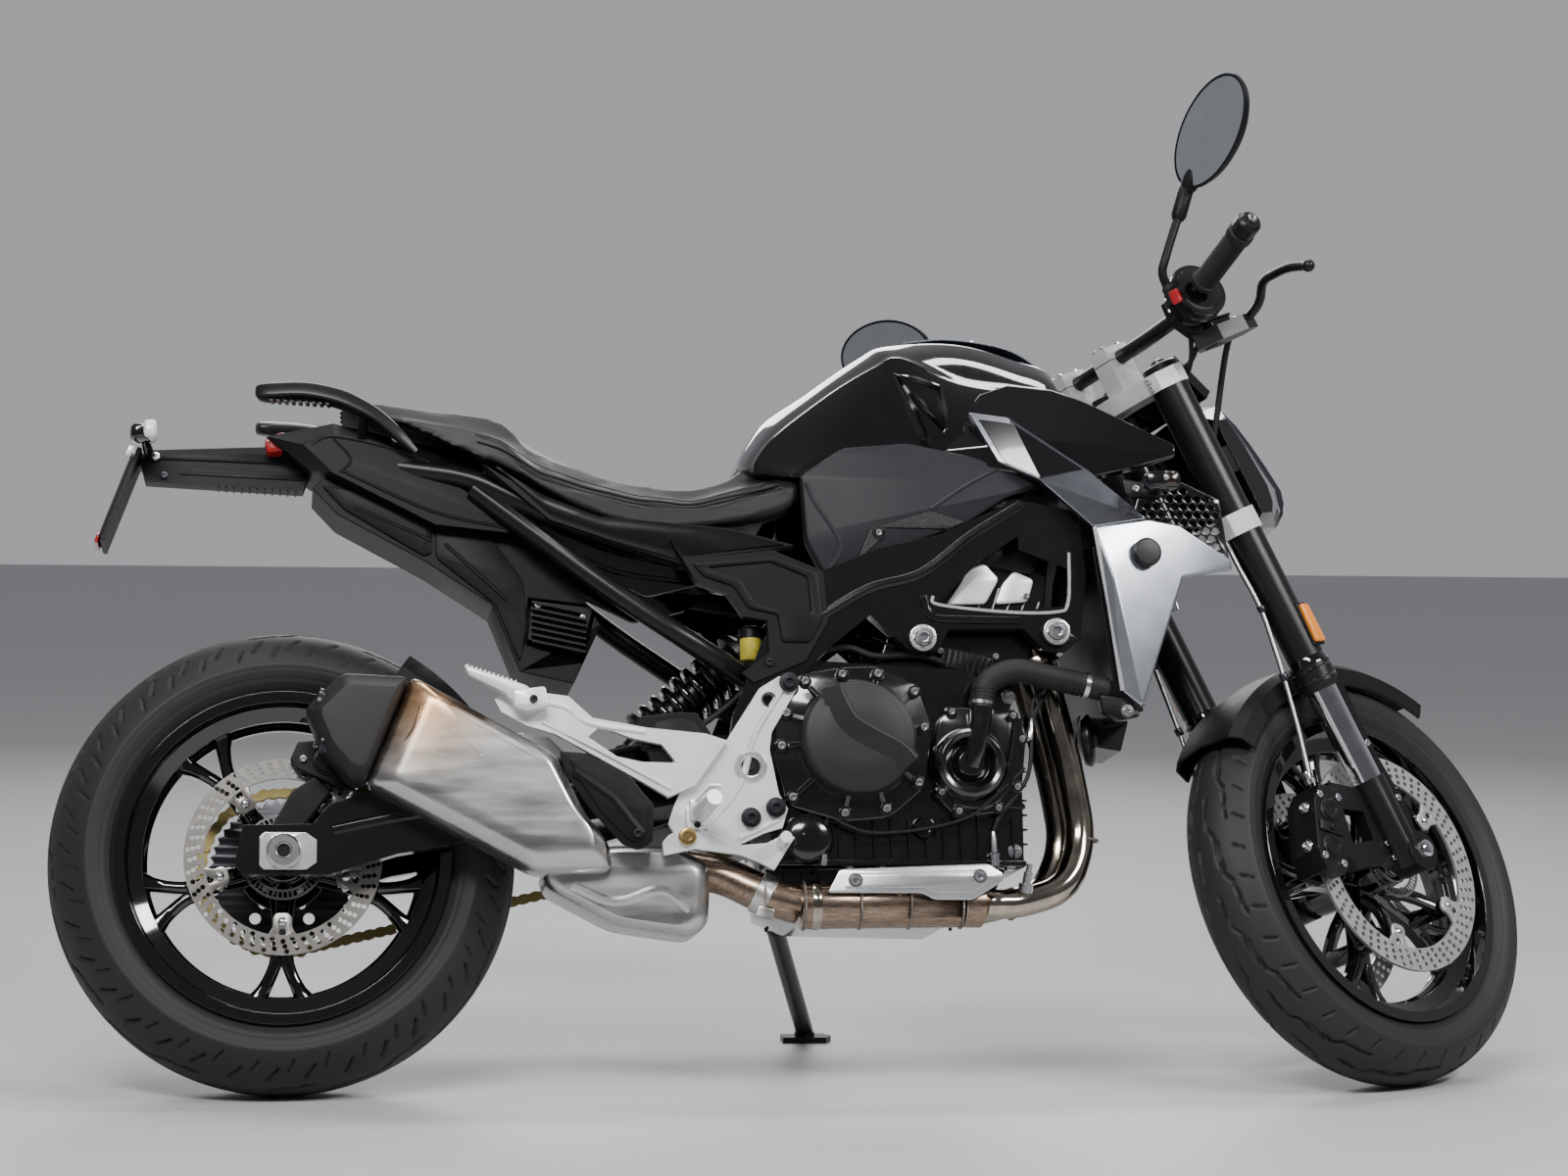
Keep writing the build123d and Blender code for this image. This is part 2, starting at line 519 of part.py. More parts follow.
spout = rod((PUMP[0] + 4, -CASE_Y - 32, PUMP[1]), (PUMP[0] + 16, -CASE_Y - 32, PUMP[1] + 74), 15)
water_pump_cover = seated(pump_cover + spout, engine_case, clutch_cover)
alt_points = [(800, 470), (830, 530), (900, 540), (965, 500), (980, 420), (950, 345), (870, 320),
              (800, 350), (780, 410)]
left_covers = prism(alt_points, CASE_Y, CASE_Y + 22) + drum(*ALTERNATOR, 70, CASE_Y, CASE_Y + 52)
left_covers += prism([(648, 470), (700, 495), (764, 480), (772, 380), (740, 345), (660, 350), (640, 400)],
                     CASE_Y, CASE_Y + 16)
oil_filter = drum(700, 333, 33, -CASE_Y, -CASE_Y - 16)
engine_case += oil_filter
engine_case -= prism([(640, 482), (768, 482), (768, 345), (640, 345)], CHAIN_Y - CHAIN_W / 2 - MOVING_GAP,
                     CHAIN_Y + CHAIN_W / 2 + MOVING_GAP)
front_sprocket = drum(*SHAFT, FRONT_SPROCKET_R, CHAIN_Y - SPROCKET_T / 2, CHAIN_Y + SPROCKET_T / 2)
front_sprocket += drum(*SHAFT, 14, CHAIN_Y - CHAIN_W / 2 - MOVING_GAP, CHAIN_Y)
engine_case += front_sprocket
cylinder_head = seated(cylinder_head, water_pump_cover)

# ---------------------------------------------------------------- bridge frame
def fork_to_machine(p, s):
    """A side-view place from the fork's frame, before steering."""
    spot = fork_foot + steer_ahead * p + steer_up * s
    return spot.X, spot.Z


head_low, head_high = LOWER_CLAMP_S + CLAMP_T / 2 + MOVING_GAP, UPPER_CLAMP_S - CLAMP_T / 2 - MOVING_GAP
low_x, low_z = fork_to_machine(0, head_low)
high_x, high_z = fork_to_machine(0, head_high)
head_tube = rod((low_x, 0, low_z), (high_x, 0, high_z), HEAD_TUBE_R)
frame_out = 158.0
web_x, web_z = fork_to_machine(-30, (head_low + head_high) / 2)
beam_outer = [(700, 560), (640, 600), (700, 690), (800, 733), (891, 755), (1000, 806), (1085, 790),
              (1094, 700), (1084, 610), (1060, 590), (1030, 598), (1004, 624), (900, 622), (884, 592),
              (845, 592), (790, 640), (740, 600)]
beam_window = [(882, 655), (946, 719), (1024, 770), (1071, 734), (1069, 657), (980, 648)]
beam = prism(beam_outer, -frame_out + 26, -frame_out) - prism(beam_window, -frame_out + 27, -frame_out - 1)
neck_r = [(1000, 800), (1085, 790), (1100, 700), (1088, 660)]
gusset = skin([
    [(1000, -frame_out, 800), (1085, -frame_out, 790), (1092, -frame_out, 700), (1000, -frame_out, 735)],
    [(web_x - 40, -14, web_z + 70), (web_x - 4, -14, web_z + 60), (web_x + 40, -14, web_z - 60),
     (web_x - 20, -14, web_z - 60)]])
pivot_plate = prism([(640, 600), (700, 680), (740, 600), (700, 560), (668, 480), (655, 400), (610, 380),
                     (588, 420), (600, 500)], -frame_out + 16, -frame_out)
main_frame = head_tube
for piece in pair(beam + gusset + pivot_plate):
    main_frame += piece
main_frame += rod((860, -frame_out, 700), (860, frame_out, 700), 16)
main_frame += drum(*SHOCK_TOP, 14, -frame_out, frame_out)
main_frame += drum(*PIVOT, 14, -frame_out, frame_out)
main_frame -= rod(Vector(low_x, 0, low_z) - steer_up * 5, Vector(high_x, 0, high_z) + steer_up * 5, STEM_R + RUN)
for bolt in ((1049, 619), (862, 608)):
    for side in (-1, 1):
        main_frame += drum(*bolt, 20, side * (frame_out - 30), side * (frame_out + 6))
main_frame = seated(main_frame, engine_case, cylinder_head, clutch_cover, left_covers, water_pump_cover)
left_covers = seated(left_covers, swingarm)
swingarm = seated(swingarm, drum(*PIVOT, 14, -frame_out - 1, frame_out + 1))
swingarm = seated(swingarm, main_frame)

# ---------------------------------------------------------------- subframe and tail
sub_y = 122.0
lower_rail = pipe([(645, -sub_y - 10, 540), (450, -sub_y, 668), (252, -sub_y + 30, 822)], FRAME_TUBE_R, 0.3)
upper_rail = pipe([(690, -sub_y, 690), (541, -sub_y, 722), (353, -sub_y, 782), (250, -sub_y + 30, 838),
                   (60, -sub_y + 62, 868)], FRAME_TUBE_R, 0.3)
subframe = Part() + lower_rail + upper_rail
subframe += other_side(lower_rail + upper_rail)
for x, z, y in ((541, 722, sub_y), (262, 828, sub_y - 28), (80, 862, sub_y - 58)):
    subframe += rod((x, -y, z), (x, y, z), 10)
subframe = seated(subframe, main_frame)

# ---------------------------------------------------------------- bodywork
def facet(*corners):
    return Face(Wire.make_polygon(list(corners), close=True))


def panel(points, triangles, push):
    """A creased panel: triangles over numbered points, made solid by a push."""
    outer = [Vector(*p) for p in points]
    inner = [p + Vector(*push) for p in outer]
    faces, rim = [], {}
    for i, j, k in triangles:
        faces += [facet(outer[i], outer[j], outer[k]), facet(inner[k], inner[j], inner[i])]
        for a, b in ((i, j), (j, k), (k, i)):
            rim.setdefault((min(a, b), max(a, b)), []).append((a, b))
    for uses in rim.values():
        if len(uses) == 1:
            a, b = uses[0]
            faces.append(facet(outer[a], outer[b], inner[b], inner[a]))
    return Solid(Shell(faces))


tank_side = [
    (0, [(640, 850), (654, 931), (727, 986), (795, 1034), (832, 1051), (932, 1062), (1015, 1048),
         (1072, 1012), (1072, 900), (860, 850)]),
    (62, [(640, 850), (650, 915), (727, 978), (800, 1030), (836, 1046), (935, 1052), (1020, 1030),
          (1078, 1000), (1078, 890), (860, 850)]),
    (105, [(660, 840), (652, 880), (735, 955), (810, 1000), (845, 1012), (930, 985), (1015, 972),
           (1078, 955), (1078, 870), (860, 850)]),
    (138, [(700, 836), (706, 846), (755, 880), (800, 892), (850, 900), (930, 900), (1000, 890),
           (1060, 860), (1052, 830), (870, 855)])]
tank_cover = side_skin([(-y, o) for y, o in reversed(tank_side)] + tank_side[1:])
wing_y = 146.0
wing = skin([
    [(930, -138, 856), (930, -152, 860), (930, -150, 900), (930, -138, 900)],
    [(1000, -142, 842), (1000, -158, 846), (1000, -141, 954), (1000, -128, 954)],
    [(1100, -146, 836), (1100, -158, 840), (1100, -145, 950), (1100, -133, 950)],
    [(1160, -148, 852), (1160, -160, 856), (1160, -154, 922), (1160, -145, 922)],
    [(1226, -150, 872), (1226, -160, 874), (1226, -157, 890), (1226, -149, 890)]])
wing += prism([(960, 860), (980, 900), (1060, 900), (1052, 840)], -130, -wing_y)
for piece in pair(wing):
    tank_cover += piece

seat_side = [
    (0, [(640, 880), (606, 850), (550, 833), (440, 850), (335, 898), (284, 933), (83, 960), (83, 930),
         (300, 860), (420, 790), (523, 775), (640, 790)]),
    (70, [(650, 872), (610, 845), (550, 829), (440, 845), (335, 892), (284, 928), (86, 950), (86, 928),
          (300, 858), (420, 786), (523, 768), (650, 786)]),
    (112, [(700, 848), (650, 832), (550, 806), (440, 822), (332, 858), (286, 892), (150, 918), (150, 905),
           (300, 846), (415, 780), (523, 758), (682, 782)]),
    (136, [(704, 826), (660, 812), (550, 790), (440, 796), (335, 822), (300, 846), (230, 872), (230, 866),
           (305, 830), (410, 776), (523, 757), (676, 786)])]
seat = side_skin([(-y, o) for y, o in reversed(seat_side)] + seat_side[1:])
seat = seated(seat, tank_cover, subframe)

knee_points = [(699, 838), (758, 876), (850, 884), (980, 858), (1046, 830), (985, 810), (931, 774),
               (850, 742), (773, 714), (729, 697), (706, 745)]
knee = prism(knee_points, -108, -frame_out + 6)
tank_side_panels = seated_pair(knee, tank_cover, main_frame, seat, subframe, cylinder_head)

shroud_pts = [(1099, -196, 761), (1182, -180, 777), (1227, -168, 772), (1302, -154, 727), (1306, -152, 712),
              (1229, -172, 697), (1161, -190, 511), (1134, -186, 533), (1140, -216, 700)]
shroud_tri = [(0, 1, 8), (1, 2, 8), (2, 5, 8), (2, 3, 5), (3, 4, 5), (5, 6, 8), (6, 7, 8), (7, 0, 8)]
shroud = panel(shroud_pts, shroud_tri, (0, 8, 0))
strip_pts = [(935, -152, 931), (990, -158, 923), (1099, -172, 847), (1180, -178, 777.4), (1099, -193, 761.4),
             (1029, -174, 831), (974, -160, 858)]
strip_tri = [(0, 1, 6), (1, 5, 6), (1, 2, 5), (2, 3, 5), (3, 4, 5)]
strip = panel(strip_pts, strip_tri, (0, 14, 0))
shroud_strips = seated_pair(strip, tank_cover, tank_side_panels)
shrouds = seated_pair(shroud, shroud_strips, main_frame)
grille_pts = [(1165, 770), (1165, 795), (1185, 850), (1226, 842), (1290, 812), (1302, 722), (1228, 760)]
grille = prism(grille_pts, -wing_y - 2, -wing_y - 8)
air_grilles = seated_pair(grille, shrouds, shroud_strips, tank_cover)

radiator_points = [(1106, 742), (1142, 748), (1172, 512), (1136, 505)]
radiator = prism(radiator_points, -150, 150)
radiator += prism([(1100, 520), (1172, 512), (1160, 470), (1095, 480)], -60, 60)
radiator = seated(radiator, main_frame, shrouds)

cover_pts = [(535, 713), (656, 728), (726, 700), (732, 631), (700, 575), (628, 544), (612, 557), (650, 585),
             (648, 630), (616, 635), (593, 668), (552, 681), (516, 741)]
side_cover = prism(cover_pts, -139.5, -frame_out - 4)
gloss_pts = [(262, 846), (340, 800), (420, 776), (600, 762), (690, 740), (535, 716), (440, 742), (353, 770)]
gloss = prism(gloss_pts, -116.5, -141)
side_covers = seated_pair(side_cover + gloss, main_frame, subframe, tank_cover, tank_side_panels, seat,
                          engine_case)

tail_side = [
    (0, [(-34, 900), (60, 922), (250, 884), (300, 820), (200, 790), (30, 851)]),
    (62, [(-30, 898), (60, 918), (245, 878), (310, 790), (195, 776), (30, 851)]),
    (90, [(20, 880), (60, 896), (171, 872), (320, 760), (200, 772), (60, 842)])]
tail_cowl = side_skin([(-y, o) for y, o in reversed(tail_side)] + tail_side[1:])
tail_cowl = seated(tail_cowl, subframe, seat, side_covers)
under_pts = [(32, 826), (66, 790), (188, 725), (280, 666), (318, 573), (392, 557), (430, 640), (353, 760),
             (240, 800), (150, 810), (60, 852)]
undertail = prism(under_pts, -62, 62)
undertail -= prism([(330, 676), (324, 612), (404, 588), (424, 666)], -40, -70)
undertail = seated(undertail, subframe, tail_cowl)
undertail = largest(undertail)
regulator = prism([(334, 672), (329, 618), (400, 596), (418, 662)], -40, -66)
for i in range(7):
    z0 = 610 + i * 9
    regulator += prism([(333, z0 + 3), (408, z0 - 12), (409, z0 - 9), (334, z0 + 6)], -66, -76)
regulator = seated(regulator, undertail)

grab_line = [(172, -112, 868), (120, -117, 914), (70, -117, 938), (20, -113, 950), (-44, -100, 949)]
grab_high, grab_deep = 8.0, 15.0
grab = skin([[(x, y - grab_deep, z - grab_high + 2), (x, y + 6, z - grab_high), (x, y + 12, z + grab_high - 3),
              (x, y - grab_deep + 5, z + grab_high)] for x, y, z in grab_line])
grab += rod((146, -112, 886), (146, -80, 886), 8)
grab_handles = seated_pair(grab, seat, tail_cowl, subframe)

carrier = prism([(40, 888), (-2, 895), (-147, 888), (-190, 886), (-205, 878), (-196, 842), (-110, 838),
                 (20, 832)], -17, 17)
plate_top, plate_down = Vector(-206, 0, 884), Vector(-0.342, 0, -0.94).normalized()
plate_ahead = Vector(-plate_down.Z, 0, plate_down.X)
plate_corners = [plate_top, plate_top + plate_down * 140, plate_top + plate_down * 140 + plate_ahead * PLATE_T,
                 plate_top + plate_ahead * PLATE_T]
carrier += prism([(spot.X, spot.Z) for spot in plate_corners], -45, 45)
plate_bolts = [plate_top + plate_down * 88 + plate_ahead * PLATE_T / 2 + Vector(0, side * 32, 0) for side in (-1, 1)]
for spot in plate_bolts:
    carrier -= rod(spot - plate_ahead * 20, spot + plate_ahead * 20, PLATE_BOLT_R)
carrier = seated(carrier, tail_cowl, undertail)
plate_carrier = largest(carrier)
blinker_body = Pos(-196, -92, 893) * Rot(0, 0, 0) * Box(38, 44, 26)
blinker_body += rod((-192, -17.0, 876), (-196, -76, 890), 7)
rear_indicators = seated_pair(blinker_body, plate_carrier)
front_blinker = rod((1196, -wing_y - 8, 822), (1196, -200, 822), 7) + Pos(1190, -218, 822) * Box(52, 40, 26)
front_indicators = seated_pair(front_blinker, tank_cover, shroud_strips, air_grilles)

# ---------------------------------------------------------------- exhaust
header = [(1030, 605), (1052, 540), (1078, 430), (1092, 340), (1062, 268), (990, 247), (937, 246)]
header_r = 20.0
cat_y = -142.0
port_y = (-98.0, -38.0)
exhaust_headers = Part()
right_pipe = [(x, port_y[0] if z > 300 else (port_y[0] + cat_y) / 2 - 5, z) for x, z in header]
right_pipe[-1] = (937, cat_y, 246)
left_pipe = [(x - 14, port_y[1], z) for x, z in header[:4]] + [(1046, port_y[1] - 14, 270), (985, -88, 252),
                                                              (937, -112, 240)]
exhaust_headers = pipe(right_pipe, header_r) + pipe(left_pipe, header_r)
collector = rod((937, cat_y + 4, 246), (910, cat_y, 246), 32) + rod((910, cat_y, 246), (690, cat_y, 243), 32)
collector += pipe([(690, cat_y, 243), (640, cat_y, 258), (590, cat_y + 20, 286), (540, cat_y + 30, 296)], 26)
exhaust_headers = seated(exhaust_headers, cylinder_head, engine_case)
exhaust_headers = seated(exhaust_headers, collector)
catalyst_pipe = seated(collector, engine_case)
chamber_pts = [(340, 292), (350, 262), (441, 215), (545, 200), (568, 218), (572, 300), (520, 326), (430, 326)]
chamber = skin([[(x + (452 - x) * k, y, z + (265 - z) * k) for x, z in chamber_pts]
                for y, k in ((-158, 0.18), (-140, 0), (-40, 0), (-24, 0.15))])
can_pts = [(166, 548), (104, 398), (330, 279), (435, 282), (432, 322), (402, 358), (358, 444)]
can_mid = (300, 400)
can_in = REAR_TYRE_W / 2 + 16
can_sections = [(-can_in - 96, 0.2), (-can_in - 78, 0.03), (-can_in - 20, 0.0), (-can_in, 0.12)]
can = skin([[(x + (can_mid[0] - x) * k, y, z + (can_mid[1] - z) * k) for x, z in can_pts]
            for y, k in can_sections])
chamber = seated(chamber, catalyst_pipe)
muffler = seated(can + chamber, swingarm, rear_axle_bar)
end_pts = [(166, 548), (72, 551), (22, 500), (48, 440), (84, 400), (104, 398)]
end_mid = (100, 475)
end_cap = skin([[(x + (end_mid[0] - x) * k, y, z + (end_mid[1] - z) * k) for x, z in end_pts]
                for y, k in ((-can_in - 94, 0.24), (-can_in - 74, 0.03), (-can_in - 16, 0.0), (-can_in, 0.1))])
end_cap -= rod((0, -can_in - 66, 500), (90, -can_in - 66, 486), 16)
end_cap -= rod((20, -can_in - 66, 456), (100, -can_in - 66, 444), 13)
muffler_end_cap = seated(end_cap, muffler, swingarm)
muffler_end_cap = largest(muffler_end_cap)
shield = prism([(722, 256), (740, 288), (942, 296), (963, 282), (961, 272), (920, 248), (868, 248), (850, 256)],
               cat_y - 34, cat_y - 39)
shield += rod((760, cat_y - 20, 262), (760, cat_y - 36, 274), 7) + rod((920, cat_y - 20, 262), (920, cat_y - 36, 274), 7)
guard_edge = [(360, 440), (392, 438), (451, 411), (486, 369), (483, 319), (466, 309), (445, 316), (404, 360),
              (370, 410)]
guard = prism(guard_edge, -can_in - 97, -can_in - 101)
guard += rod((366, -can_in - 60, 384), (404, -can_in - 99, 392), 8)
shield = seated(shield, catalyst_pipe, engine_case, exhaust_headers)
guard = seated(guard, muffler)
heat_shields = group(shield, guard)

# ---------------------------------------------------------------- footrests and controls
foot_y = frame_out + SEAT_GAP
plate_pts = [(682, 552), (689, 539), (651, 475), (648, 451), (660, 391), (672, 371), (664, 345), (640, 338),
             (606, 322), (520, 333), (510, 350), (518, 375), (534, 409), (588, 461), (635, 535), (662, 552)]
rest = prism(plate_pts, -foot_y, -foot_y - 9)
rest -= drum(*PIVOT, 13, -foot_y + 1, -foot_y - 10) + drum(648, 520, 8, -foot_y + 1, -foot_y - 10)
hanger_y = -foot_y - 12
hanger = prism([(285, 497), (276, 514), (292, 522), (335, 524), (375, 519), (407, 490), (483, 477), (560, 470),
                (588, 461), (545, 400), (509, 384), (463, 410), (357, 468), (319, 479)],
               hanger_y + 2, hanger_y - 12)
hanger -= prism([(401, 464), (417, 479), (460, 463), (500, 455), (520, 430), (473, 431), (440, 438)],
                hanger_y + 3, hanger_y - 13)
rest += hanger
rest += prism([(588, 461), (545, 400), (509, 384), (500, 420), (560, 468)], -foot_y, hanger_y)
peg_boss = drum(545, 356, 14, -foot_y, -foot_y - 30)
rest += peg_boss
for spot in ((675, 543), (621, 358), (655, 372)):
    rest += drum(*spot, 11, -foot_y, -foot_y - 15)
footrest_plates = seated_pair(rest, main_frame, muffler, heat_shields, clutch_cover, left_covers,
                              engine_case, swingarm, rear_axle_bar, side_covers)
rider_peg = rod((545, -foot_y - 30, 356), (560, -foot_y - 112, 372), 13)
rear_peg = prism([(231, 555), (262, 545), (319, 528), (328, 509), (294, 509), (287, 522), (235, 545)],
                 hanger_y - 12 - SEAT_GAP, hanger_y - 40)
footrests = group(seated_pair(rider_peg, footrest_plates),
                  seated_pair(rear_peg, footrest_plates, muffler, muffler_end_cap))
pedal = prism([(500, 322), (508, 332), (535, 344), (604, 319), (640, 322), (668, 336), (678, 330), (650, 286),
               (630, 296), (604, 306), (544, 314), (502, 305)], -foot_y - 16, -foot_y - 27)
pedal += rod((660, -foot_y - 18, 322), (662, -foot_y - 62, 326), 8)
pedal += drum(533, 330, 13, -foot_y - 9, -foot_y - 30)
foot_controls = seated_pair(pedal, footrest_plates, footrests)
guard_pts = [(470, 495), (527, 502), (550, 501), (567, 476), (581, 443), (544, 413), (487, 433), (474, 462)]
cylinder_guard = prism(guard_pts, -foot_y + 4, -foot_y - 8)
cylinder_guard = seated(cylinder_guard, footrest_plates, main_frame, swingarm)
reservoir = rod((630, -120, 578), (630, -120, 628), 15) + rod((630, -120, 560), (630, -120, 580), 8)
brake_reservoir = largest(seated(reservoir, subframe, side_covers, main_frame))

shock_low, shock_high = Vector(462, -30, 462), Vector(SHOCK_TOP[0], -30, SHOCK_TOP[1])
shock = rod(shock_low, shock_high, 19)
shock_dir = (shock_high - shock_low).normalized()
for i in range(8):
    plane = Plane(origin=shock_low + shock_dir * (50 + i * 20), z_dir=shock_dir)
    shock += plane * Torus(32, 6)
    shock += plane * Cylinder(32, 4)
shock = largest(seated(shock, swingarm, main_frame, subframe, engine_case))

hose_y = -CASE_Y - 32
coolant_hose = pipe([(PUMP[0] + 17, hose_y, 509), (PUMP[0] + 20, hose_y, 545), (985, hose_y, 566),
                     (1050, hose_y + 6, 552), (1118, hose_y + 10, 540)], 16.5)
coolant_hose = largest(seated(coolant_hose, water_pump_cover, radiator, main_frame, exhaust_headers))

# ---------------------------------------------------------------- brake lines on the fork
line_r = 3.5
line_points = [(-16, -100, clamp_low - 6.5), (-22, -104, 470), (-27, -112, 400), (-46, -108, 300),
               (-66, -104, 220), (-84, -LEG_Y + 8, 164)]
brake_lines = seated_pair(pipe(line_points, line_r), fork_legs, front_calipers, triple_clamps)


# ---------------------------------------------------------------- leaning, steering and the stand
def lowest(centre, tilt_z, radius, width):
    """Height of a leaned tyre's lowest point."""
    drop = 0.6 * width / 2
    crown = ((width / 2) ** 2 + drop ** 2) / (2 * drop)
    return centre - (radius - crown) * math.sqrt(1 - tilt_z ** 2) - crown


def turned(point, pitch, rise=0.0):
    """A machine place after the pitch and the lean."""
    x, y, z = point
    a, b = math.radians(pitch), math.radians(-LEAN)
    x, z = x * math.cos(a) + z * math.sin(a), -x * math.sin(a) + z * math.cos(a)
    return Vector(x, y * math.cos(b) - z * math.sin(b), y * math.sin(b) + z * math.cos(b) + rise)


steer = math.radians(STEER_STOP)
steered_hub = fork_foot + steer_ahead * AXLE_AHEAD * math.cos(steer) + Vector(
    0, AXLE_AHEAD * math.sin(steer), 0)
steered_axle = steer_ahead * -math.sin(steer) + Vector(0, math.cos(steer), 0)
pitch = 0.0
for _ in range(4):
    rear_low = lowest(turned(rear_axle, pitch).Z, turned((0, 1, 0), pitch).Z, REAR_TYRE_R, REAR_TYRE_W)
    front_low = lowest(turned(steered_hub, pitch).Z, turned(steered_axle, pitch).Z,
                       FRONT_TYRE_R, FRONT_TYRE_W)
    pitch += math.degrees(math.atan2(front_low - rear_low, WHEELBASE))
rise = -rear_low


def leaned(shape):
    shape = shape.rotate(Axis.Y, pitch).rotate(Axis.X, -LEAN)
    return Pos(0, 0, rise) * shape


fork_plane = Plane(origin=fork_foot, x_dir=steer_ahead, z_dir=steer_up)


def steered(shape):
    return leaned(fork_plane.location * Rot(0, 0, STEER_STOP) * shape)


stand_pivot = turned(STAND_PIVOT, pitch, rise)
stand_foot = Vector(STAND_FOOT[0], STAND_FOOT[1], 16)
leg = (stand_foot - stand_pivot).normalized()
folded = turned(Vector(*STAND_FOLDED).normalized(), pitch)
square = leg.cross(folded).normalized()
middle = (leg + folded).normalized()
tilt = math.radians(STAND_TILT)
stand_axis = (square * math.cos(tilt) + middle * math.sin(tilt)).normalized()
flat_leg = (leg - stand_axis * leg.dot(stand_axis)).normalized()
flat_folded = (folded - stand_axis * folded.dot(stand_axis)).normalized()
stand_fold = math.degrees(math.acos(flat_leg.dot(flat_folded)))

pivot_plane = Plane(origin=stand_pivot, z_dir=stand_axis)
boss_r, boss_t, pin_r = 17.0, 18.0, 7.0
side_stand = pivot_plane * Cylinder(boss_r, boss_t)
side_stand += rod(stand_pivot + leg * 9, stand_foot, STAND_R)
foot_points = [(-34, -16), (30, -20), (40, 0), (30, 20), (-34, 16)]
side_stand += slab([(stand_foot.X + x, stand_foot.Y + y) for x, y in foot_points], 0, 9)
side_stand += Pos(stand_foot.X, stand_foot.Y, 11) * Cylinder(15, 8)
side_stand -= Pos(0, 0, -50) * Box(4000, 4000, 100)
side_stand -= pivot_plane * Cylinder(pin_r + RUN, boss_t + 60)
bracket = pivot_plane.offset(-4.5) * Cylinder(pin_r, boss_t + 11)
bracket += pivot_plane.offset(-boss_t / 2 - 5.5) * Cylinder(boss_r - 2, 9)
block = leaned(Pos(STAND_PIVOT[0] - 6, (SUMP_Y + STAND_PIVOT[1]) / 2 - 8, STAND_PIVOT[2] + 22) * Box(52, 44, 36))
room = pivot_plane * Cylinder(boss_r + 26, boss_t + 1.0)
along = leg.dot(stand_axis)
leg_up = flat_folded * math.sqrt(1 - along ** 2) + stand_axis * along
leg_room = [rod(stand_pivot, stand_pivot + way * 200, STAND_R + MOVING_GAP) for way in (leg, leg_up)]
bracket = bracket + seated(block, room, *leg_room)
stand_bracket = seated(bracket, leaned(engine_case))
stand_bracket = Compound([s for s in stand_bracket.solids() if s.volume > 200])

# ---------------------------------------------------------------- nodes
frame_nodes = {
    "engine_case": engine_case, "cylinder_head": cylinder_head,
    "engine_covers": group(clutch_cover, left_covers, water_pump_cover), "coolant_hose": coolant_hose,
    "main_frame": main_frame, "subframe": subframe, "swingarm": swingarm, "rear_axle": rear_axle_bar,
    "rear_caliper": rear_caliper, "hugger": hugger, "chain": chain, "shock": shock,
    "tank_cover": tank_cover, "tank_side_panels": tank_side_panels, "seat": seat,
    "shrouds": shrouds, "shroud_strips": shroud_strips, "air_grilles": air_grilles,
    "radiator": radiator, "side_covers": side_covers, "tail_cowl": tail_cowl,
    "undertail": undertail, "regulator": regulator, "grab_handles": grab_handles,
    "plate_carrier": plate_carrier, "indicators": group(front_indicators, rear_indicators),
    "exhaust_headers": exhaust_headers, "catalyst_pipe": catalyst_pipe,
    "muffler": muffler, "muffler_end_cap": muffler_end_cap,
    "heat_shields": heat_shields, "footrest_plates": footrest_plates, "footrests": footrests,
    "foot_controls": foot_controls, "cylinder_guard": cylinder_guard,
    "brake_reservoir": brake_reservoir}
rear_wheel_nodes = {"rear_tyre": rear_tyre, "rear_rim": rear_rim, "rear_disc": rear_disc,
                    "rear_sprocket": rear_sprocket}
steered_nodes = {
    "fork_legs": fork_legs, "fork_inner_tubes": fork_inner_tubes, "triple_clamps": triple_clamps,
    "handlebar": handlebar, "grips": grips, "bar_controls": bar_controls, "mirrors": mirrors,
    "headlamp": headlamp, "display": display, "front_mudguard": front_mudguard,
    "front_calipers": front_calipers, "front_axle": front_axle_bar, "brake_lines": brake_lines}
front_wheel_nodes = {"front_tyre": front_tyre, "front_rim": front_rim, "front_discs": front_discs}

model = {name: leaned(shape) for name, shape in (frame_nodes | rear_wheel_nodes).items()}
model |= {name: steered(shape) for name, shape in (steered_nodes | front_wheel_nodes).items()}
model |= {"side_stand": side_stand, "stand_bracket": stand_bracket}

boxes = [shape.bounding_box() for shape in model.values()]
middle_x = (min(b.min.X for b in boxes) + max(b.max.X for b in boxes)) / 2
middle_y = (min(b.min.Y for b in boxes) + max(b.max.Y for b in boxes)) / 2
ground = min(b.min.Z for b in boxes)
shift = Vector(-middle_x, -middle_y, -ground)

os.makedirs("parts", exist_ok=True)
for name, shape in model.items():
    export_step(Pos(*shift) * shape, f"parts/{name}.step")


def told(name, spot, axis=None):
    place = [round(v / 1000, 6) for v in spot + shift]
    line = f"{name} at {place}"
    if axis is not None:
        line += f" along {[round(v, 6) for v in axis]}"
    print(line)


up = turned(steer_up, pitch)
told("rear_wheel", turned(rear_axle, pitch, rise), turned((0, 1, 0), pitch))
told("steering", turned(fork_foot, pitch, rise), up)
told("front_wheel", turned(steered_hub, pitch, rise), turned(steered_axle, pitch))
told("side_stand", stand_pivot, stand_axis)
told("plate_bolt_right", turned(plate_bolts[0], pitch, rise), turned(plate_ahead * -1, pitch))
told("plate_bolt_left", turned(plate_bolts[1], pitch, rise), turned(plate_ahead * -1, pitch))
print("stand fold", round(stand_fold, 2), "pitch", round(pitch, 3), "rise", round(rise, 3), "ground", round(ground, 3))
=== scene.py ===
# %% [markdown]
# # A naked road motorcycle, dressed piece by piece
# The solids of the machine are already packed as a frame of named nodes, bodies and joints.
# This lesson lays the finished surfaces over them: what shows is modelled with its real edges,
# screws, grooves and castings, and every finish is a small tree of shader nodes.

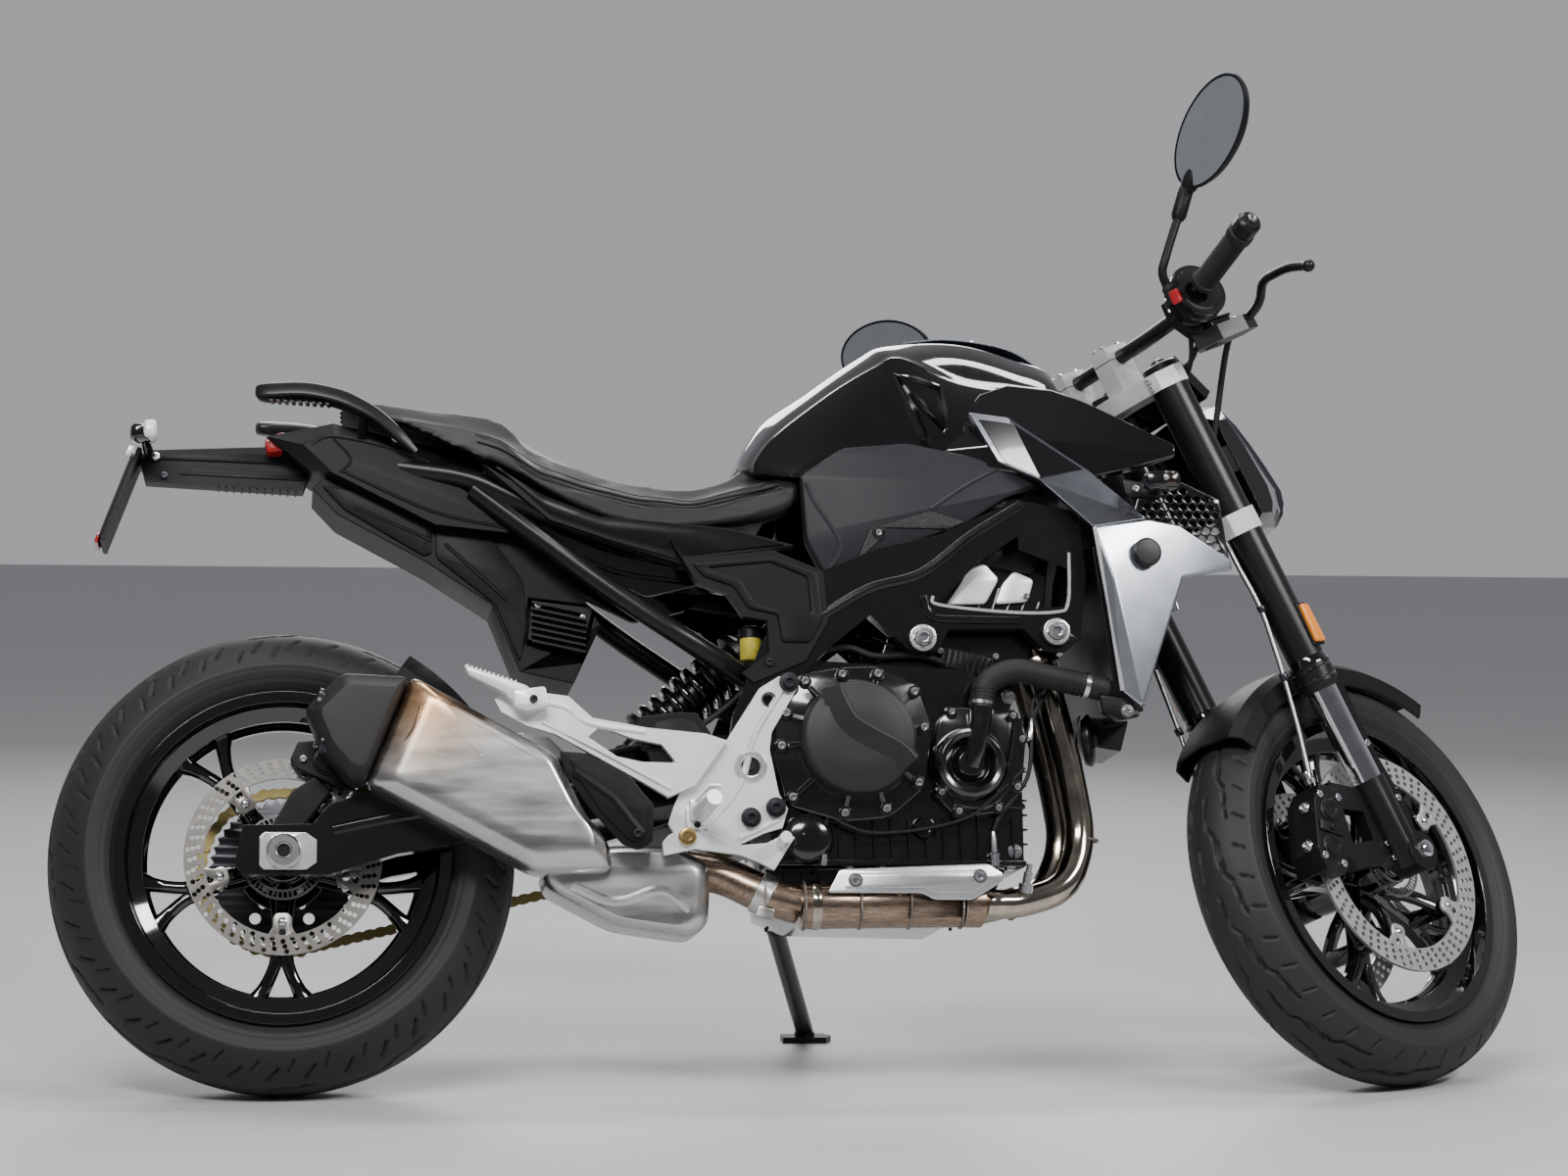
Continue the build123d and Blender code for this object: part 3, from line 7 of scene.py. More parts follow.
# %% Load the shared frame
import json
import math
import bmesh
import bpy
import numpy as np
from mathutils import Matrix, Vector


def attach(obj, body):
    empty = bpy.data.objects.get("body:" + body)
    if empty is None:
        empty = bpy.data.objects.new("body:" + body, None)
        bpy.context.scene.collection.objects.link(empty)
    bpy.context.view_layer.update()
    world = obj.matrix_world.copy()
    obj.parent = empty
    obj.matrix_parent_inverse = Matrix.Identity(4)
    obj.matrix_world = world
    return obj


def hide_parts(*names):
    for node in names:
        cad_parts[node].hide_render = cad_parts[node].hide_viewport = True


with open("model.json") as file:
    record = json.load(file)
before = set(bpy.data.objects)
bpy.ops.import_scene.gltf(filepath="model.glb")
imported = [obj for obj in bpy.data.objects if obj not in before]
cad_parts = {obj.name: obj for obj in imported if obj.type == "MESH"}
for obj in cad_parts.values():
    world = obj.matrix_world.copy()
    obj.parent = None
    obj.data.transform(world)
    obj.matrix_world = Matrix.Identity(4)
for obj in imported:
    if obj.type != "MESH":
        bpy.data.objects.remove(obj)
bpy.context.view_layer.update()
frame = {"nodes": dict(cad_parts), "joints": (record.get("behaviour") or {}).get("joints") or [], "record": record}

# %% [markdown]
# The machine leans on its side stand and its steering is on the left stop. Measuring on a
# leaning object is awkward, so each piece is drawn upright, in millimetres, in one of two
# frames: the machine's, which starts at the foot of the rear tyre, and the fork's, which
# follows the steering. Both are read from the joints, so they follow the solids if those change.

# %% The two drawing frames
RAKE = math.radians(25.13)
FRONT_AXLE_AHEAD = 28.4
joints = {j["name"]: j for j in frame["joints"]}


def axes(ahead, left, up, origin):
    """A drawing frame in millimetres, from three directions and a place in metres."""
    facing = Matrix((ahead, left, up)).transposed().to_4x4()
    return Matrix.Translation(origin) @ facing @ Matrix.Scale(0.001, 4)


steer_up = Vector(joints["steering_turn"]["axis"]).normalized()
across = Vector(joints["rear_wheel_spin"]["axis"]).normalized()
square = across.cross(steer_up).normalized()
machine_ahead = square * math.cos(RAKE) - steer_up * math.sin(RAKE)
machine_up = square * math.sin(RAKE) + steer_up * math.cos(RAKE)
rear_axle = Vector(joints["rear_wheel_spin"]["pos_m"])
BIKE = axes(machine_ahead, across, machine_up, rear_axle - machine_up * 0.315)
wheel_across = Vector(joints["front_wheel_spin"]["axis"]).normalized()
fork_ahead = wheel_across.cross(steer_up).normalized()
FORK = axes(fork_ahead, wheel_across, steer_up, Vector(joints["steering_turn"]["pos_m"]))
REAR_HUB = BIKE @ Matrix.Translation((0, 0, 315))
FRONT_HUB = FORK @ Matrix.Translation((FRONT_AXLE_AHEAD, 0, 0))
SHARED = Matrix.Identity(4)
print("machine up", [round(v, 4) for v in machine_up], "fork ahead", [round(v, 4) for v in fork_ahead])

# %% [markdown]
# Meshes start as plain lists of corners and faces. A loft joins rings of corners, a tube is
# a loft along a path, and a lathe spins a profile, which is how most turned metal is drawn.
# Sheet and cast plates are flat curves: Blender fills them, keeps their holes and rounds
# their rims in one go, which saves a lot of cutting.

# %% Lofts, tubes and lathes
RIGHT, LEFT, UP = (0, -1, 0), (0, 1, 0), (0, 0, 1)


def loft(rings, caps=True):
    """A surface through rings of corners, all with the same count."""
    n = len(rings[0])
    corners = [Vector(p) for ring in rings for p in ring]
    faces = []
    for i in range(len(rings) - 1):
        for k in range(n):
            a, b = i * n + k, i * n + (k + 1) % n
            faces.append((a, b, b + n, a + n))
    if caps:
        last = (len(rings) - 1) * n
        faces += [tuple(range(n))[::-1], tuple(range(last, last + n))]
    return corners, faces


def between(a, b, c, d, t):
    """A spot between b and c, on the smooth curve through four points."""
    return 0.5 * (2 * b + (c - a) * t + (2 * a - 5 * b + 4 * c - d) * t ** 2
                  + (3 * b - a - 3 * c + d) * t ** 3)


def smooth_path(points, steps=6):
    """A curve through the points, as a list of places."""
    spots = [Vector(p) for p in points]
    spots = [spots[0] * 2 - spots[1]] + spots + [spots[-1] * 2 - spots[-2]]
    path = [between(a, b, c, d, i / steps)
            for a, b, c, d in zip(spots, spots[1:], spots[2:], spots[3:]) for i in range(steps)]
    return path + [spots[-2]]


def along(path, section, level=None):
    """A section of (side, height) corners carried along a path. It may be a function of the way along."""
    spots = [Vector(p) for p in path]
    heading = (spots[1] - spots[0]).normalized()
    side = heading.cross(Vector(level) if level else Vector((0.31, 0.17, 0.93))).normalized()
    rings = []
    for i, spot in enumerate(spots):
        ahead = (spots[min(i + 1, len(spots) - 1)] - spots[max(i - 1, 0)]).normalized()
        side = (side - ahead * side.dot(ahead)).normalized()
        rise = side.cross(ahead)
        shape = section(i / (len(spots) - 1)) if callable(section) else section
        rings.append([spot + side * u + rise * v for u, v in shape])
    return loft(rings)


def disc(radius, sides=16):
    """Corners round a circle."""
    return [(radius * math.cos(i * math.tau / sides), radius * math.sin(i * math.tau / sides))
            for i in range(sides)]


def tube(path, radius, sides=14):
    """A round bar, whose radius may be a list of (share of the way, radius)."""
    if not isinstance(radius, list):
        return along(path, disc(radius, sides))
    ways, sizes = zip(*radius)
    return along(path, lambda way: disc(float(np.interp(way, ways, sizes)), sides))


def lathe(profile, steps=48, closed=False):
    """A profile of (radius, across) corners spun about the cross axis."""
    n = len(profile)
    corners, faces = [], []
    for i in range(steps):
        c, s = math.cos(i * math.tau / steps), math.sin(i * math.tau / steps)
        corners += [Vector((r * c, y, r * s)) for r, y in profile]
        for k in range(n if closed else n - 1):
            a, b, step = i * n + k, i * n + (k + 1) % n, ((i + 1) % steps - i) * n
            faces.append((a, b, b + step, a + step))
    return corners, faces


print("a tube of", len(tube([(0, 0, 0), (1, 0, 0)], 1.0)[0]), "corners")

# %% Plates, rounded corners and moving shapes about
def rounded(points, radius, steps=4):
    """The outline with each corner rounded."""
    spots = [Vector(p) for p in points]
    out = []
    for i, here in enumerate(spots):
        before, after = spots[i - 1] - here, spots[(i + 1) % len(spots)] - here
        reach = min(radius, 0.45 * before.length, 0.45 * after.length)
        a, b = here + before.normalized() * reach, here + after.normalized() * reach
        for k in range(steps + 1):
            t = k / steps
            out.append(tuple(a * (1 - t) ** 2 + here * 2 * t * (1 - t) + b * t ** 2))
    return out


def circle(x, z, radius, sides=20):
    """A round outline or hole."""
    return [(x + u, z + v) for u, v in disc(radius, sides)]


def plate(outline, y0, y1, holes=(), bevel=0.8):
    """A plate between two widths, with holes and rounded rims."""
    curve = bpy.data.curves.new("outline", "CURVE")
    curve.dimensions, curve.fill_mode = "2D", "BOTH"
    for loop in (outline, *holes):
        spline = curve.splines.new("POLY")
        spline.points.add(len(loop) - 1)
        for point, (x, z) in zip(spline.points, loop):
            point.co = (x, z, 0, 1)
        spline.use_cyclic_u = True
    curve.extrude = abs(y1 - y0) / 2 - bevel
    curve.bevel_depth, curve.offset, curve.bevel_resolution = bevel, -bevel, 1
    holder = bpy.data.objects.new("outline", curve)
    mesh = bpy.data.meshes.new_from_object(holder)
    middle = (y0 + y1) / 2
    corners = [Vector((v.co.x, middle + v.co.z, v.co.y)) for v in mesh.vertices]
    faces = [tuple(p.vertices) for p in mesh.polygons]
    bpy.data.objects.remove(holder)
    bpy.data.curves.remove(curve)
    bpy.data.meshes.remove(mesh)
    return corners, faces


def panel(outline, radius, y0, y1, holes=(), bevel=0.8):
    """A plate whose corners are rounded."""
    return plate(rounded(outline, radius), y0, y1, holes, bevel)


def moved(shape, matrix):
    return [matrix @ v for v in shape[0]], shape[1]


def shifted(shape, way):
    return moved(shape, Matrix.Translation(way))


def both_sides(shape):
    """The shape and its mirror image across the machine."""
    return merged(shape, ([Vector((v.x, -v.y, v.z)) for v in shape[0]], [f[::-1] for f in shape[1]]))


def merged(*shapes):
    corners, faces = [], []
    for points, sides in shapes:
        start = len(corners)
        corners += points
        faces += [tuple(i + start for i in f) for f in sides]
    return corners, faces


def turn(degrees):
    """A turn about the cross axis, as a wheel turns."""
    return Matrix.Rotation(math.radians(degrees), 4, "Y")


print("a washer has", len(plate(circle(0, 0, 9), 0, 2, [circle(0, 0, 5)])[1]), "faces")

# %% [markdown]
# A finished piece is a mesh in the shared frame, at the origin. Real edges are never razor
# sharp: cast, pressed and moulded parts all have a small radius that catches the light. The
# Bevel modifier adds it where two faces meet at an angle, and the shading is smooth between.

# %% From a shape to a finished piece
slot_of = {s["node"]: s["material_slot"] for s in frame["record"]["subparts"]}
body_of = {n: b for b, names in frame["record"]["behaviour"]["bodies"].items() for n in names}
finishes = {}


def keep(name, mesh, finish, body, replaces=(), bevel=0.0, angle=32, subdivide=0):
    """Puts a mesh in metres in place as a piece of the machine."""
    mesh.materials.clear()
    mesh.materials.append(finishes[finish])
    mesh.shade_smooth()
    mesh.set_sharp_from_angle(angle=math.radians(angle))
    piece = bpy.data.objects.new(name, mesh)
    bpy.context.scene.collection.objects.link(piece)
    if bevel:
        rim = piece.modifiers.new("rim", "BEVEL")
        rim.width, rim.segments, rim.limit_method = bevel / 1000, 2, "ANGLE"
        rim.angle_limit, rim.use_clamp_overlap, rim.harden_normals = math.radians(angle), True, True
    if subdivide:
        soft = piece.modifiers.new("soft", "SUBSURF")
        soft.levels = soft.render_levels = subdivide
    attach(piece, body)
    if replaces:
        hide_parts(*replaces)
    return piece


def make(name, shape, place, finish, body, slot, replaces=(), bevel=0.0, angle=32, merge=0.01):
    """Makes a piece from a shape drawn in a frame, merged and with its faces outwards."""
    mesh = bpy.data.meshes.new(name)
    mesh.from_pydata([tuple(place @ v) for v in shape[0]], [], shape[1])
    mesh.validate()
    work = bmesh.new()
    work.from_mesh(mesh)
    bmesh.ops.remove_doubles(work, verts=work.verts, dist=merge / 1000)
    bmesh.ops.dissolve_degenerate(work, dist=1e-6, edges=work.edges)
    bmesh.ops.recalc_face_normals(work, faces=work.faces)
    work.to_mesh(mesh)
    work.free()
    return keep(name, mesh, finish, body, replaces, bevel, angle)


def fixed(name, shape, finish, slot, *rest, **named):
    """A piece of the machine that stays still, given in the bike's own places."""
    return make(name, shape, BIKE, finish, "frame", slot, *rest, **named)


def steered(name, shape, finish, slot, *rest, **named):
    """A piece that turns with the fork, given in the fork's own places."""
    return make(name, shape, FORK, finish, "steering", slot, *rest, **named)


def dress(name, finish, bevel, angle=32):
    """A copy of a solid's mesh, merged and given real edges, stands for the solid."""
    work = bmesh.new()
    work.from_mesh(frame["nodes"][name].data)
    work.transform(frame["nodes"][name].matrix_world)
    bmesh.ops.remove_doubles(work, verts=work.verts, dist=2e-6)
    bmesh.ops.dissolve_limit(work, angle_limit=math.radians(0.6), verts=work.verts, edges=work.edges)
    mesh = bpy.data.meshes.new(name)
    work.to_mesh(mesh)
    work.free()
    return keep(name + "_dressed", mesh, finish, body_of[name], (name,), bevel, angle)


# %% [markdown]
# Every finish is a tree on the piece's own coordinates. Noise moves the gloss and the tone a
# little, because no real paint, casting or rubber is even, and a fine bump gives the grain.
# Brushed metal is the same noise, stretched along the way the brush went.

# %% A finish with grain, tone and gloss
def node(tree, kind, spot, **values):
    made = tree.nodes.new(kind)
    made.location = spot
    for key, value in values.items():
        setattr(made, key, value)
    return made


def new_finish(name, colour, metal=0.0, rough=0.5, coat=0.0, grain=400.0, depth=0.0, vary=0.012, tone=0.03,
               stretch=(1, 1, 1), cells=False, coat_rough=0.04, specular=0.5):
    """A finish from a colour, a gloss, and a grain of so many bumps a metre."""
    made = bpy.data.materials.new(name)
    made.use_nodes = True
    tree = made.node_tree
    shader = tree.nodes["Principled BSDF"]
    shader.inputs["Metallic"].default_value = metal
    shader.inputs["Coat Weight"].default_value = coat
    shader.inputs["Coat Roughness"].default_value = coat_rough
    shader.inputs["Specular IOR Level"].default_value = specular
    place = node(tree, "ShaderNodeTexCoord", (-1200, 0))
    frame_it = node(tree, "ShaderNodeMapping", (-1000, 0))
    frame_it.inputs["Scale"].default_value = stretch
    tree.links.new(place.outputs["Object"], frame_it.inputs["Vector"])
    wander = node(tree, "ShaderNodeTexNoise", (-800, 200))
    wander.inputs["Scale"].default_value = 38.0 if stretch == (1, 1, 1) else 60.0
    wander.inputs["Detail"].default_value = 2.0
    tree.links.new(frame_it.outputs["Vector"], wander.inputs["Vector"])
    gloss = node(tree, "ShaderNodeMapRange", (-500, 200))
    for key, value in zip(("From Min", "From Max", "To Min", "To Max"),
                          (0.3, 0.7, max(0.02, rough - vary), rough + vary)):
        gloss.inputs[key].default_value = value
    tree.links.new(wander.outputs["Fac"], gloss.inputs["Value"])
    tree.links.new(gloss.outputs["Result"], shader.inputs["Roughness"])
    ramp = node(tree, "ShaderNodeValToRGB", (-500, -100))
    ramp.color_ramp.elements[0].position, ramp.color_ramp.elements[1].position = 0.3, 0.7
    ramp.color_ramp.elements[0].color = (*[c * (1 - tone) for c in colour], 1)
    ramp.color_ramp.elements[1].color = (*[min(1, c * (1 + tone)) for c in colour], 1)
    tree.links.new(wander.outputs["Fac"], ramp.inputs["Fac"])
    tree.links.new(ramp.outputs["Color"], shader.inputs["Base Color"])
    if depth:
        if cells:
            pits = node(tree, "ShaderNodeTexVoronoi", (-800, -300))
            height = pits.outputs["Distance"]
        else:
            pits = node(tree, "ShaderNodeTexNoise", (-800, -300))
            pits.inputs["Detail"].default_value = 3.0
            height = pits.outputs["Fac"]
        pits.inputs["Scale"].default_value = grain
        tree.links.new(frame_it.outputs["Vector"], pits.inputs["Vector"])
        bump = node(tree, "ShaderNodeBump", (-300, -300))
        bump.inputs["Strength"].default_value = 0.6
        bump.inputs["Distance"].default_value = depth / 1000
        tree.links.new(height, bump.inputs["Height"])
        tree.links.new(bump.outputs["Normal"], shader.inputs["Normal"])
    finishes[name] = made
    return made


new_finish("gloss_black", (0.003, 0.003, 0.0035), rough=0.07, coat=1.0, vary=0.02, grain=220, depth=0.012,
           specular=0.5)
new_finish("satin_black", (0.006, 0.006, 0.007), rough=0.34, coat=0.08, grain=1500, depth=0.03,
           coat_rough=0.25, specular=0.24)
new_finish("black_casting", (0.0065, 0.0065, 0.007), rough=0.38, grain=1300, depth=0.1, vary=0.04,
           specular=0.24)
new_finish("matt_plastic", (0.0048, 0.005, 0.0058), rough=0.46, grain=2200, depth=0.06, specular=0.17)
new_finish("gloss_plastic", (0.004, 0.004, 0.005), rough=0.16, coat=0.6, grain=900, depth=0.01)
new_finish("panel_grey", (0.014, 0.0148, 0.0172), rough=0.44, grain=2600, depth=0.05, specular=0.2)
new_finish("knee_grain", (0.0045, 0.0048, 0.006), rough=0.5, grain=330, depth=1.1, cells=True, specular=0.32)
new_finish("slate_insert", (0.022, 0.028, 0.042), rough=0.36, coat=0.3, grain=1800, depth=0.03,
           coat_rough=0.2)
new_finish("graphite_paint", (0.11, 0.115, 0.13), metal=0.85, rough=0.25, coat=0.7, grain=2500, depth=0.003)
new_finish("silver_paint", (0.33, 0.35, 0.38), metal=0.85, rough=0.26, coat=0.5, grain=3000, depth=0.003)
new_finish("silver_casting", (0.74, 0.74, 0.75), metal=0.5, rough=0.36, grain=1100, depth=0.03)
new_finish("bright_aluminium", (0.66, 0.66, 0.67), metal=0.85, rough=0.27, grain=900, depth=0.006)
new_finish("screw_steel", (0.58, 0.58, 0.60), metal=1.0, rough=0.22, grain=1500, depth=0.004)
new_finish("dark_screw", (0.04, 0.04, 0.045), metal=0.8, rough=0.3, grain=1500, depth=0.02)
new_finish("chrome", (0.66, 0.66, 0.68), metal=1.0, rough=0.06, vary=0.02, tone=0.04, grain=600, depth=0.005)
new_finish("steel", (0.36, 0.36, 0.37), metal=1.0, rough=0.32, grain=1200, depth=0.008)
new_finish("rubber", (0.0075, 0.0075, 0.008), rough=0.62, grain=1500, depth=0.1, specular=0.3)
new_finish("tyre_rubber", (0.017, 0.017, 0.0175), rough=0.58, grain=1500, depth=0.1, specular=0.3)
new_finish("seat_cover", (0.009, 0.0096, 0.0112), rough=0.5, grain=900, depth=0.25, cells=True, specular=0.28)
new_finish("chain_gold", (0.36, 0.29, 0.12), metal=1.0, rough=0.36, grain=800, depth=0.04)
new_finish("brushed_steel", (0.52, 0.51, 0.495), metal=1.0, rough=0.3, vary=0.05, tone=0.1,
           stretch=(0.15, 1, 1), grain=700, depth=0.006)
new_finish("tinted_header", (0.42, 0.37, 0.31), metal=1.0, rough=0.13, tone=0.2, grain=900, depth=0.01)
new_finish("bronze_cat", (0.27, 0.20, 0.15), metal=1.0, rough=0.27, grain=300, depth=0.03, stretch=(1, 6, 6),
           tone=0.3)
new_finish("weld", (0.22, 0.19, 0.17), metal=1.0, rough=0.35, tone=0.3, grain=1500, depth=0.04)
new_finish("gold_bolt", (0.55, 0.40, 0.16), metal=1.0, rough=0.25)
new_finish("mirror_glass", (0.5, 0.52, 0.55), metal=1.0, rough=0.03, vary=0.01, tone=0.03)
new_finish("dark_glass", (0.004, 0.005, 0.007), rough=0.06, coat=1.0, vary=0.02)
new_finish("amber_lens", (0.75, 0.22, 0.015), rough=0.2, coat=0.8, grain=900, depth=0.25, cells=True)
new_finish("clear_lens", (0.7, 0.7, 0.72), rough=0.15, coat=0.8, grain=700, depth=0.2, cells=True)
new_finish("smoked_lens", (0.012, 0.006, 0.003), rough=0.12, coat=0.8, grain=900, depth=0.2, cells=True)
new_finish("red_lens", (0.32, 0.006, 0.006), rough=0.15, coat=0.8, grain=900, depth=0.2, cells=True)
new_finish("red_switch", (0.35, 0.01, 0.015), rough=0.35, coat=0.3)
new_finish("brake_fluid", (0.50, 0.43, 0.05), rough=0.25, coat=0.6, tone=0.3)
print(len(finishes), "finishes")

# %% [markdown]
# A brake disc is ground as it turns, so its fine lines are rings round the axle. A Mapping node
# moves the piece's coordinates to the hub, and the noise then reads only the distance from it.

# %% Rings round an axle
def ground_rings(name, hub_frame, colour):
    made = new_finish(name, colour, metal=0.85, rough=0.34, tone=0.08)
    tree, shader = made.node_tree, made.node_tree.nodes["Principled BSDF"]
    place = [n for n in tree.nodes if n.type == "TEX_COORD"][0]
    hub = node(tree, "ShaderNodeMapping", (-1000, -600), vector_type="TEXTURE")
    hub.inputs["Location"].default_value = hub_frame.to_translation()
    hub.inputs["Rotation"].default_value = hub_frame.to_3x3().normalized().to_euler()
    split = node(tree, "ShaderNodeSeparateXYZ", (-800, -600))
    flat = node(tree, "ShaderNodeCombineXYZ", (-650, -600))
    reach = node(tree, "ShaderNodeVectorMath", (-500, -600), operation="LENGTH")
    lines = node(tree, "ShaderNodeTexNoise", (-350, -600), noise_dimensions="1D")
    lines.inputs["Scale"].default_value = 900.0
    bump = node(tree, "ShaderNodeBump", (-150, -600))
    bump.inputs["Strength"].default_value, bump.inputs["Distance"].default_value = 0.5, 0.00008
    for a, b in ((place.outputs["Object"], hub.inputs["Vector"]), (hub.outputs["Vector"], split.inputs[0]),
                 (split.outputs["X"], flat.inputs["X"]), (split.outputs["Z"], flat.inputs["Z"]),
                 (flat.outputs[0], reach.inputs[0]), (reach.outputs["Value"], lines.inputs["W"]),
                 (lines.outputs["Fac"], bump.inputs["Height"]),
                 (bump.outputs["Normal"], shader.inputs["Normal"])):
        tree.links.new(a, b)


ground_rings("disc_ground_front", FRONT_HUB, (0.66, 0.65, 0.63))
ground_rings("disc_ground_rear", REAR_HUB, (0.27, 0.255, 0.235))
print("ground rings read the distance from each hub")

# %% [markdown]
# Screws, links, fins and drilled holes repeat. Geometry Nodes place one small piece many times:
# the tree takes spots or a path, puts the piece on each, makes the copies real and paints them.
# The result is read back as a plain mesh, so nothing of the tree is left on the machine.

# %% A tree that puts a piece on each spot
def new_tree(name, *wanted):
    """A tree with a geometry in, a geometry out and named inputs."""
    tree = bpy.data.node_groups.new(name, "GeometryNodeTree")
    tree.interface.new_socket("Geometry", in_out="INPUT", socket_type="NodeSocketGeometry")
    for label, kind in wanted:
        tree.interface.new_socket(label, in_out="INPUT", socket_type="NodeSocket" + kind)
    tree.interface.new_socket("Geometry", in_out="OUTPUT", socket_type="NodeSocketGeometry")
    return tree, node(tree, "NodeGroupInput", (-900, 0)), node(tree, "NodeGroupOutput", (900, 0))


def join(tree, *pairs):
    for start, end in pairs:
        tree.links.new(start, end)


def close_tree(tree, start, end, made):
    """Ends a tree in real, painted geometry."""
    real = node(tree, "GeometryNodeRealizeInstances", (500, 0))
    paint = node(tree, "GeometryNodeSetMaterial", (700, 0))
    join(tree, (made, real.inputs[0]), (real.outputs[0], paint.inputs["Geometry"]),
         (start.outputs["Finish"], paint.inputs["Material"]), (paint.outputs[0], end.inputs[0]))
    return tree


def spots_tree():
    tree, start, end = new_tree("piece on each spot", ("Piece", "Object"), ("Size", "Float"),
                                ("Finish", "Material"))
    piece = node(tree, "GeometryNodeObjectInfo", (-600, -200))
    aim = node(tree, "GeometryNodeInputNamedAttribute", (-600, -400), data_type="FLOAT_VECTOR")
    aim.inputs["Name"].default_value = "aim"
    size = node(tree, "GeometryNodeInputNamedAttribute", (-600, -600), data_type="FLOAT")
    size.inputs["Name"].default_value = "size"
    face = node(tree, "FunctionNodeAlignRotationToVector", (-300, -400), axis="Z")
    times = node(tree, "ShaderNodeMath", (-300, -600), operation="MULTIPLY")
    put = node(tree, "GeometryNodeInstanceOnPoints", (0, 0))
    join(tree, (start.outputs["Geometry"], put.inputs["Points"]),
         (start.outputs["Piece"], piece.inputs["Object"]),
         (piece.outputs["Geometry"], put.inputs["Instance"]),
         (aim.outputs["Attribute"], face.inputs["Vector"]),
         (face.outputs["Rotation"], put.inputs["Rotation"]), (size.outputs["Attribute"], times.inputs[0]),
         (start.outputs["Size"], times.inputs[1]), (times.outputs[0], put.inputs["Scale"]))
    return close_tree(tree, start, end, put.outputs["Instances"])


# %% A tree that repeats a piece along a path
def path_tree():
    tree, start, end = new_tree("piece along a path", ("Piece", "Object"), ("Count", "Int"), ("Up", "Vector"),
                                ("Finish", "Material"))
    piece = node(tree, "GeometryNodeObjectInfo", (-600, -200))
    line = node(tree, "GeometryNodeMeshToCurve", (-600, 0))
    spots = node(tree, "GeometryNodeCurveToPoints", (-400, 0), mode="COUNT")
    ahead = node(tree, "FunctionNodeAlignRotationToVector", (-200, -300), axis="X")
    level = node(tree, "FunctionNodeAlignRotationToVector", (0, -300), axis="Z", pivot_axis="X")
    put = node(tree, "GeometryNodeInstanceOnPoints", (200, 0))
    join(tree, (start.outputs["Geometry"], line.inputs[0]), (line.outputs[0], spots.inputs["Curve"]),
         (start.outputs["Count"], spots.inputs["Count"]), (spots.outputs["Points"], put.inputs["Points"]),
         (start.outputs["Piece"], piece.inputs["Object"]),
         (piece.outputs["Geometry"], put.inputs["Instance"]),
         (spots.outputs["Tangent"], ahead.inputs["Vector"]),
         (ahead.outputs["Rotation"], level.inputs["Rotation"]), (start.outputs["Up"], level.inputs["Vector"]),
         (level.outputs["Rotation"], put.inputs["Rotation"]))
    return close_tree(tree, start, end, put.outputs["Instances"])


# %% A tree that drills a disc
def drilled_tree():
    tree, start, end = new_tree("drilled disc", ("Outer", "Float"), ("Inner", "Float"), ("Hole", "Float"),
                                ("Thick", "Float"), ("Finish", "Material"))
    rims = []
    for label, corners, spot in (("Outer", 160, 200), ("Inner", 128, 0), ("Hole", 10, -200)):
        rim = node(tree, "GeometryNodeCurvePrimitiveCircle", (-700, spot))
        rim.inputs["Resolution"].default_value = corners
        tree.links.new(start.outputs[label], rim.inputs["Radius"])
        rims.append(rim.outputs[0])
    put = node(tree, "GeometryNodeInstanceOnPoints", (-500, -200))
    every = node(tree, "GeometryNodeJoinGeometry", (-300, 0))
    real = node(tree, "GeometryNodeRealizeInstances", (-200, 0))
    fill = node(tree, "GeometryNodeFillCurve", (-100, 0))
    push = node(tree, "GeometryNodeExtrudeMesh", (100, 0))
    back = node(tree, "GeometryNodeFlipFaces", (100, -200))
    both = node(tree, "GeometryNodeJoinGeometry", (300, 0))
    join(tree, (start.outputs["Geometry"], put.inputs["Points"]), (rims[2], put.inputs["Instance"]),
         (put.outputs[0], every.inputs[0]), (rims[0], every.inputs[0]), (rims[1], every.inputs[0]),
         (every.outputs[0], real.inputs[0]), (real.outputs[0], fill.inputs[0]),
         (fill.outputs[0], push.inputs["Mesh"]), (start.outputs["Thick"], push.inputs["Offset Scale"]),
         (fill.outputs[0], back.inputs[0]), (push.outputs["Mesh"], both.inputs[0]),
         (back.outputs[0], both.inputs[0]))
    push.inputs["Individual"].default_value = False
    return close_tree(tree, start, end, both.outputs[0])


SPOTS, PATH, DRILLED = spots_tree(), path_tree(), drilled_tree()
print("trees", [t.name for t in (SPOTS, PATH, DRILLED)])

# %% Running a tree
def grow(tree, base, **values):
    """Runs a tree over a mesh and gives back what it made as a plain shape."""
    holder = bpy.data.objects.new("holder", base)
    bpy.context.scene.collection.objects.link(holder)
    run = holder.modifiers.new("grow", "NODES")
    run.node_group = tree
    for socket in tree.interface.items_tree:
        if socket.in_out == "INPUT" and socket.name in values:
            run[socket.identifier] = values[socket.name]
    depsgraph = bpy.context.evaluated_depsgraph_get()
    mesh = bpy.data.meshes.new_from_object(holder.evaluated_get(depsgraph), depsgraph=depsgraph)
    shape = [v.co.copy() for v in mesh.vertices], [tuple(p.vertices) for p in mesh.polygons]
    bpy.data.objects.remove(holder)
    bpy.data.meshes.remove(mesh)
    return shape


def stock(shape):
    """A piece that the trees can repeat. It isn't part of the scene."""
    mesh = bpy.data.meshes.new("stock")
    mesh.from_pydata([tuple(v) for v in shape[0]], [], shape[1])
    return bpy.data.objects.new("stock", mesh)


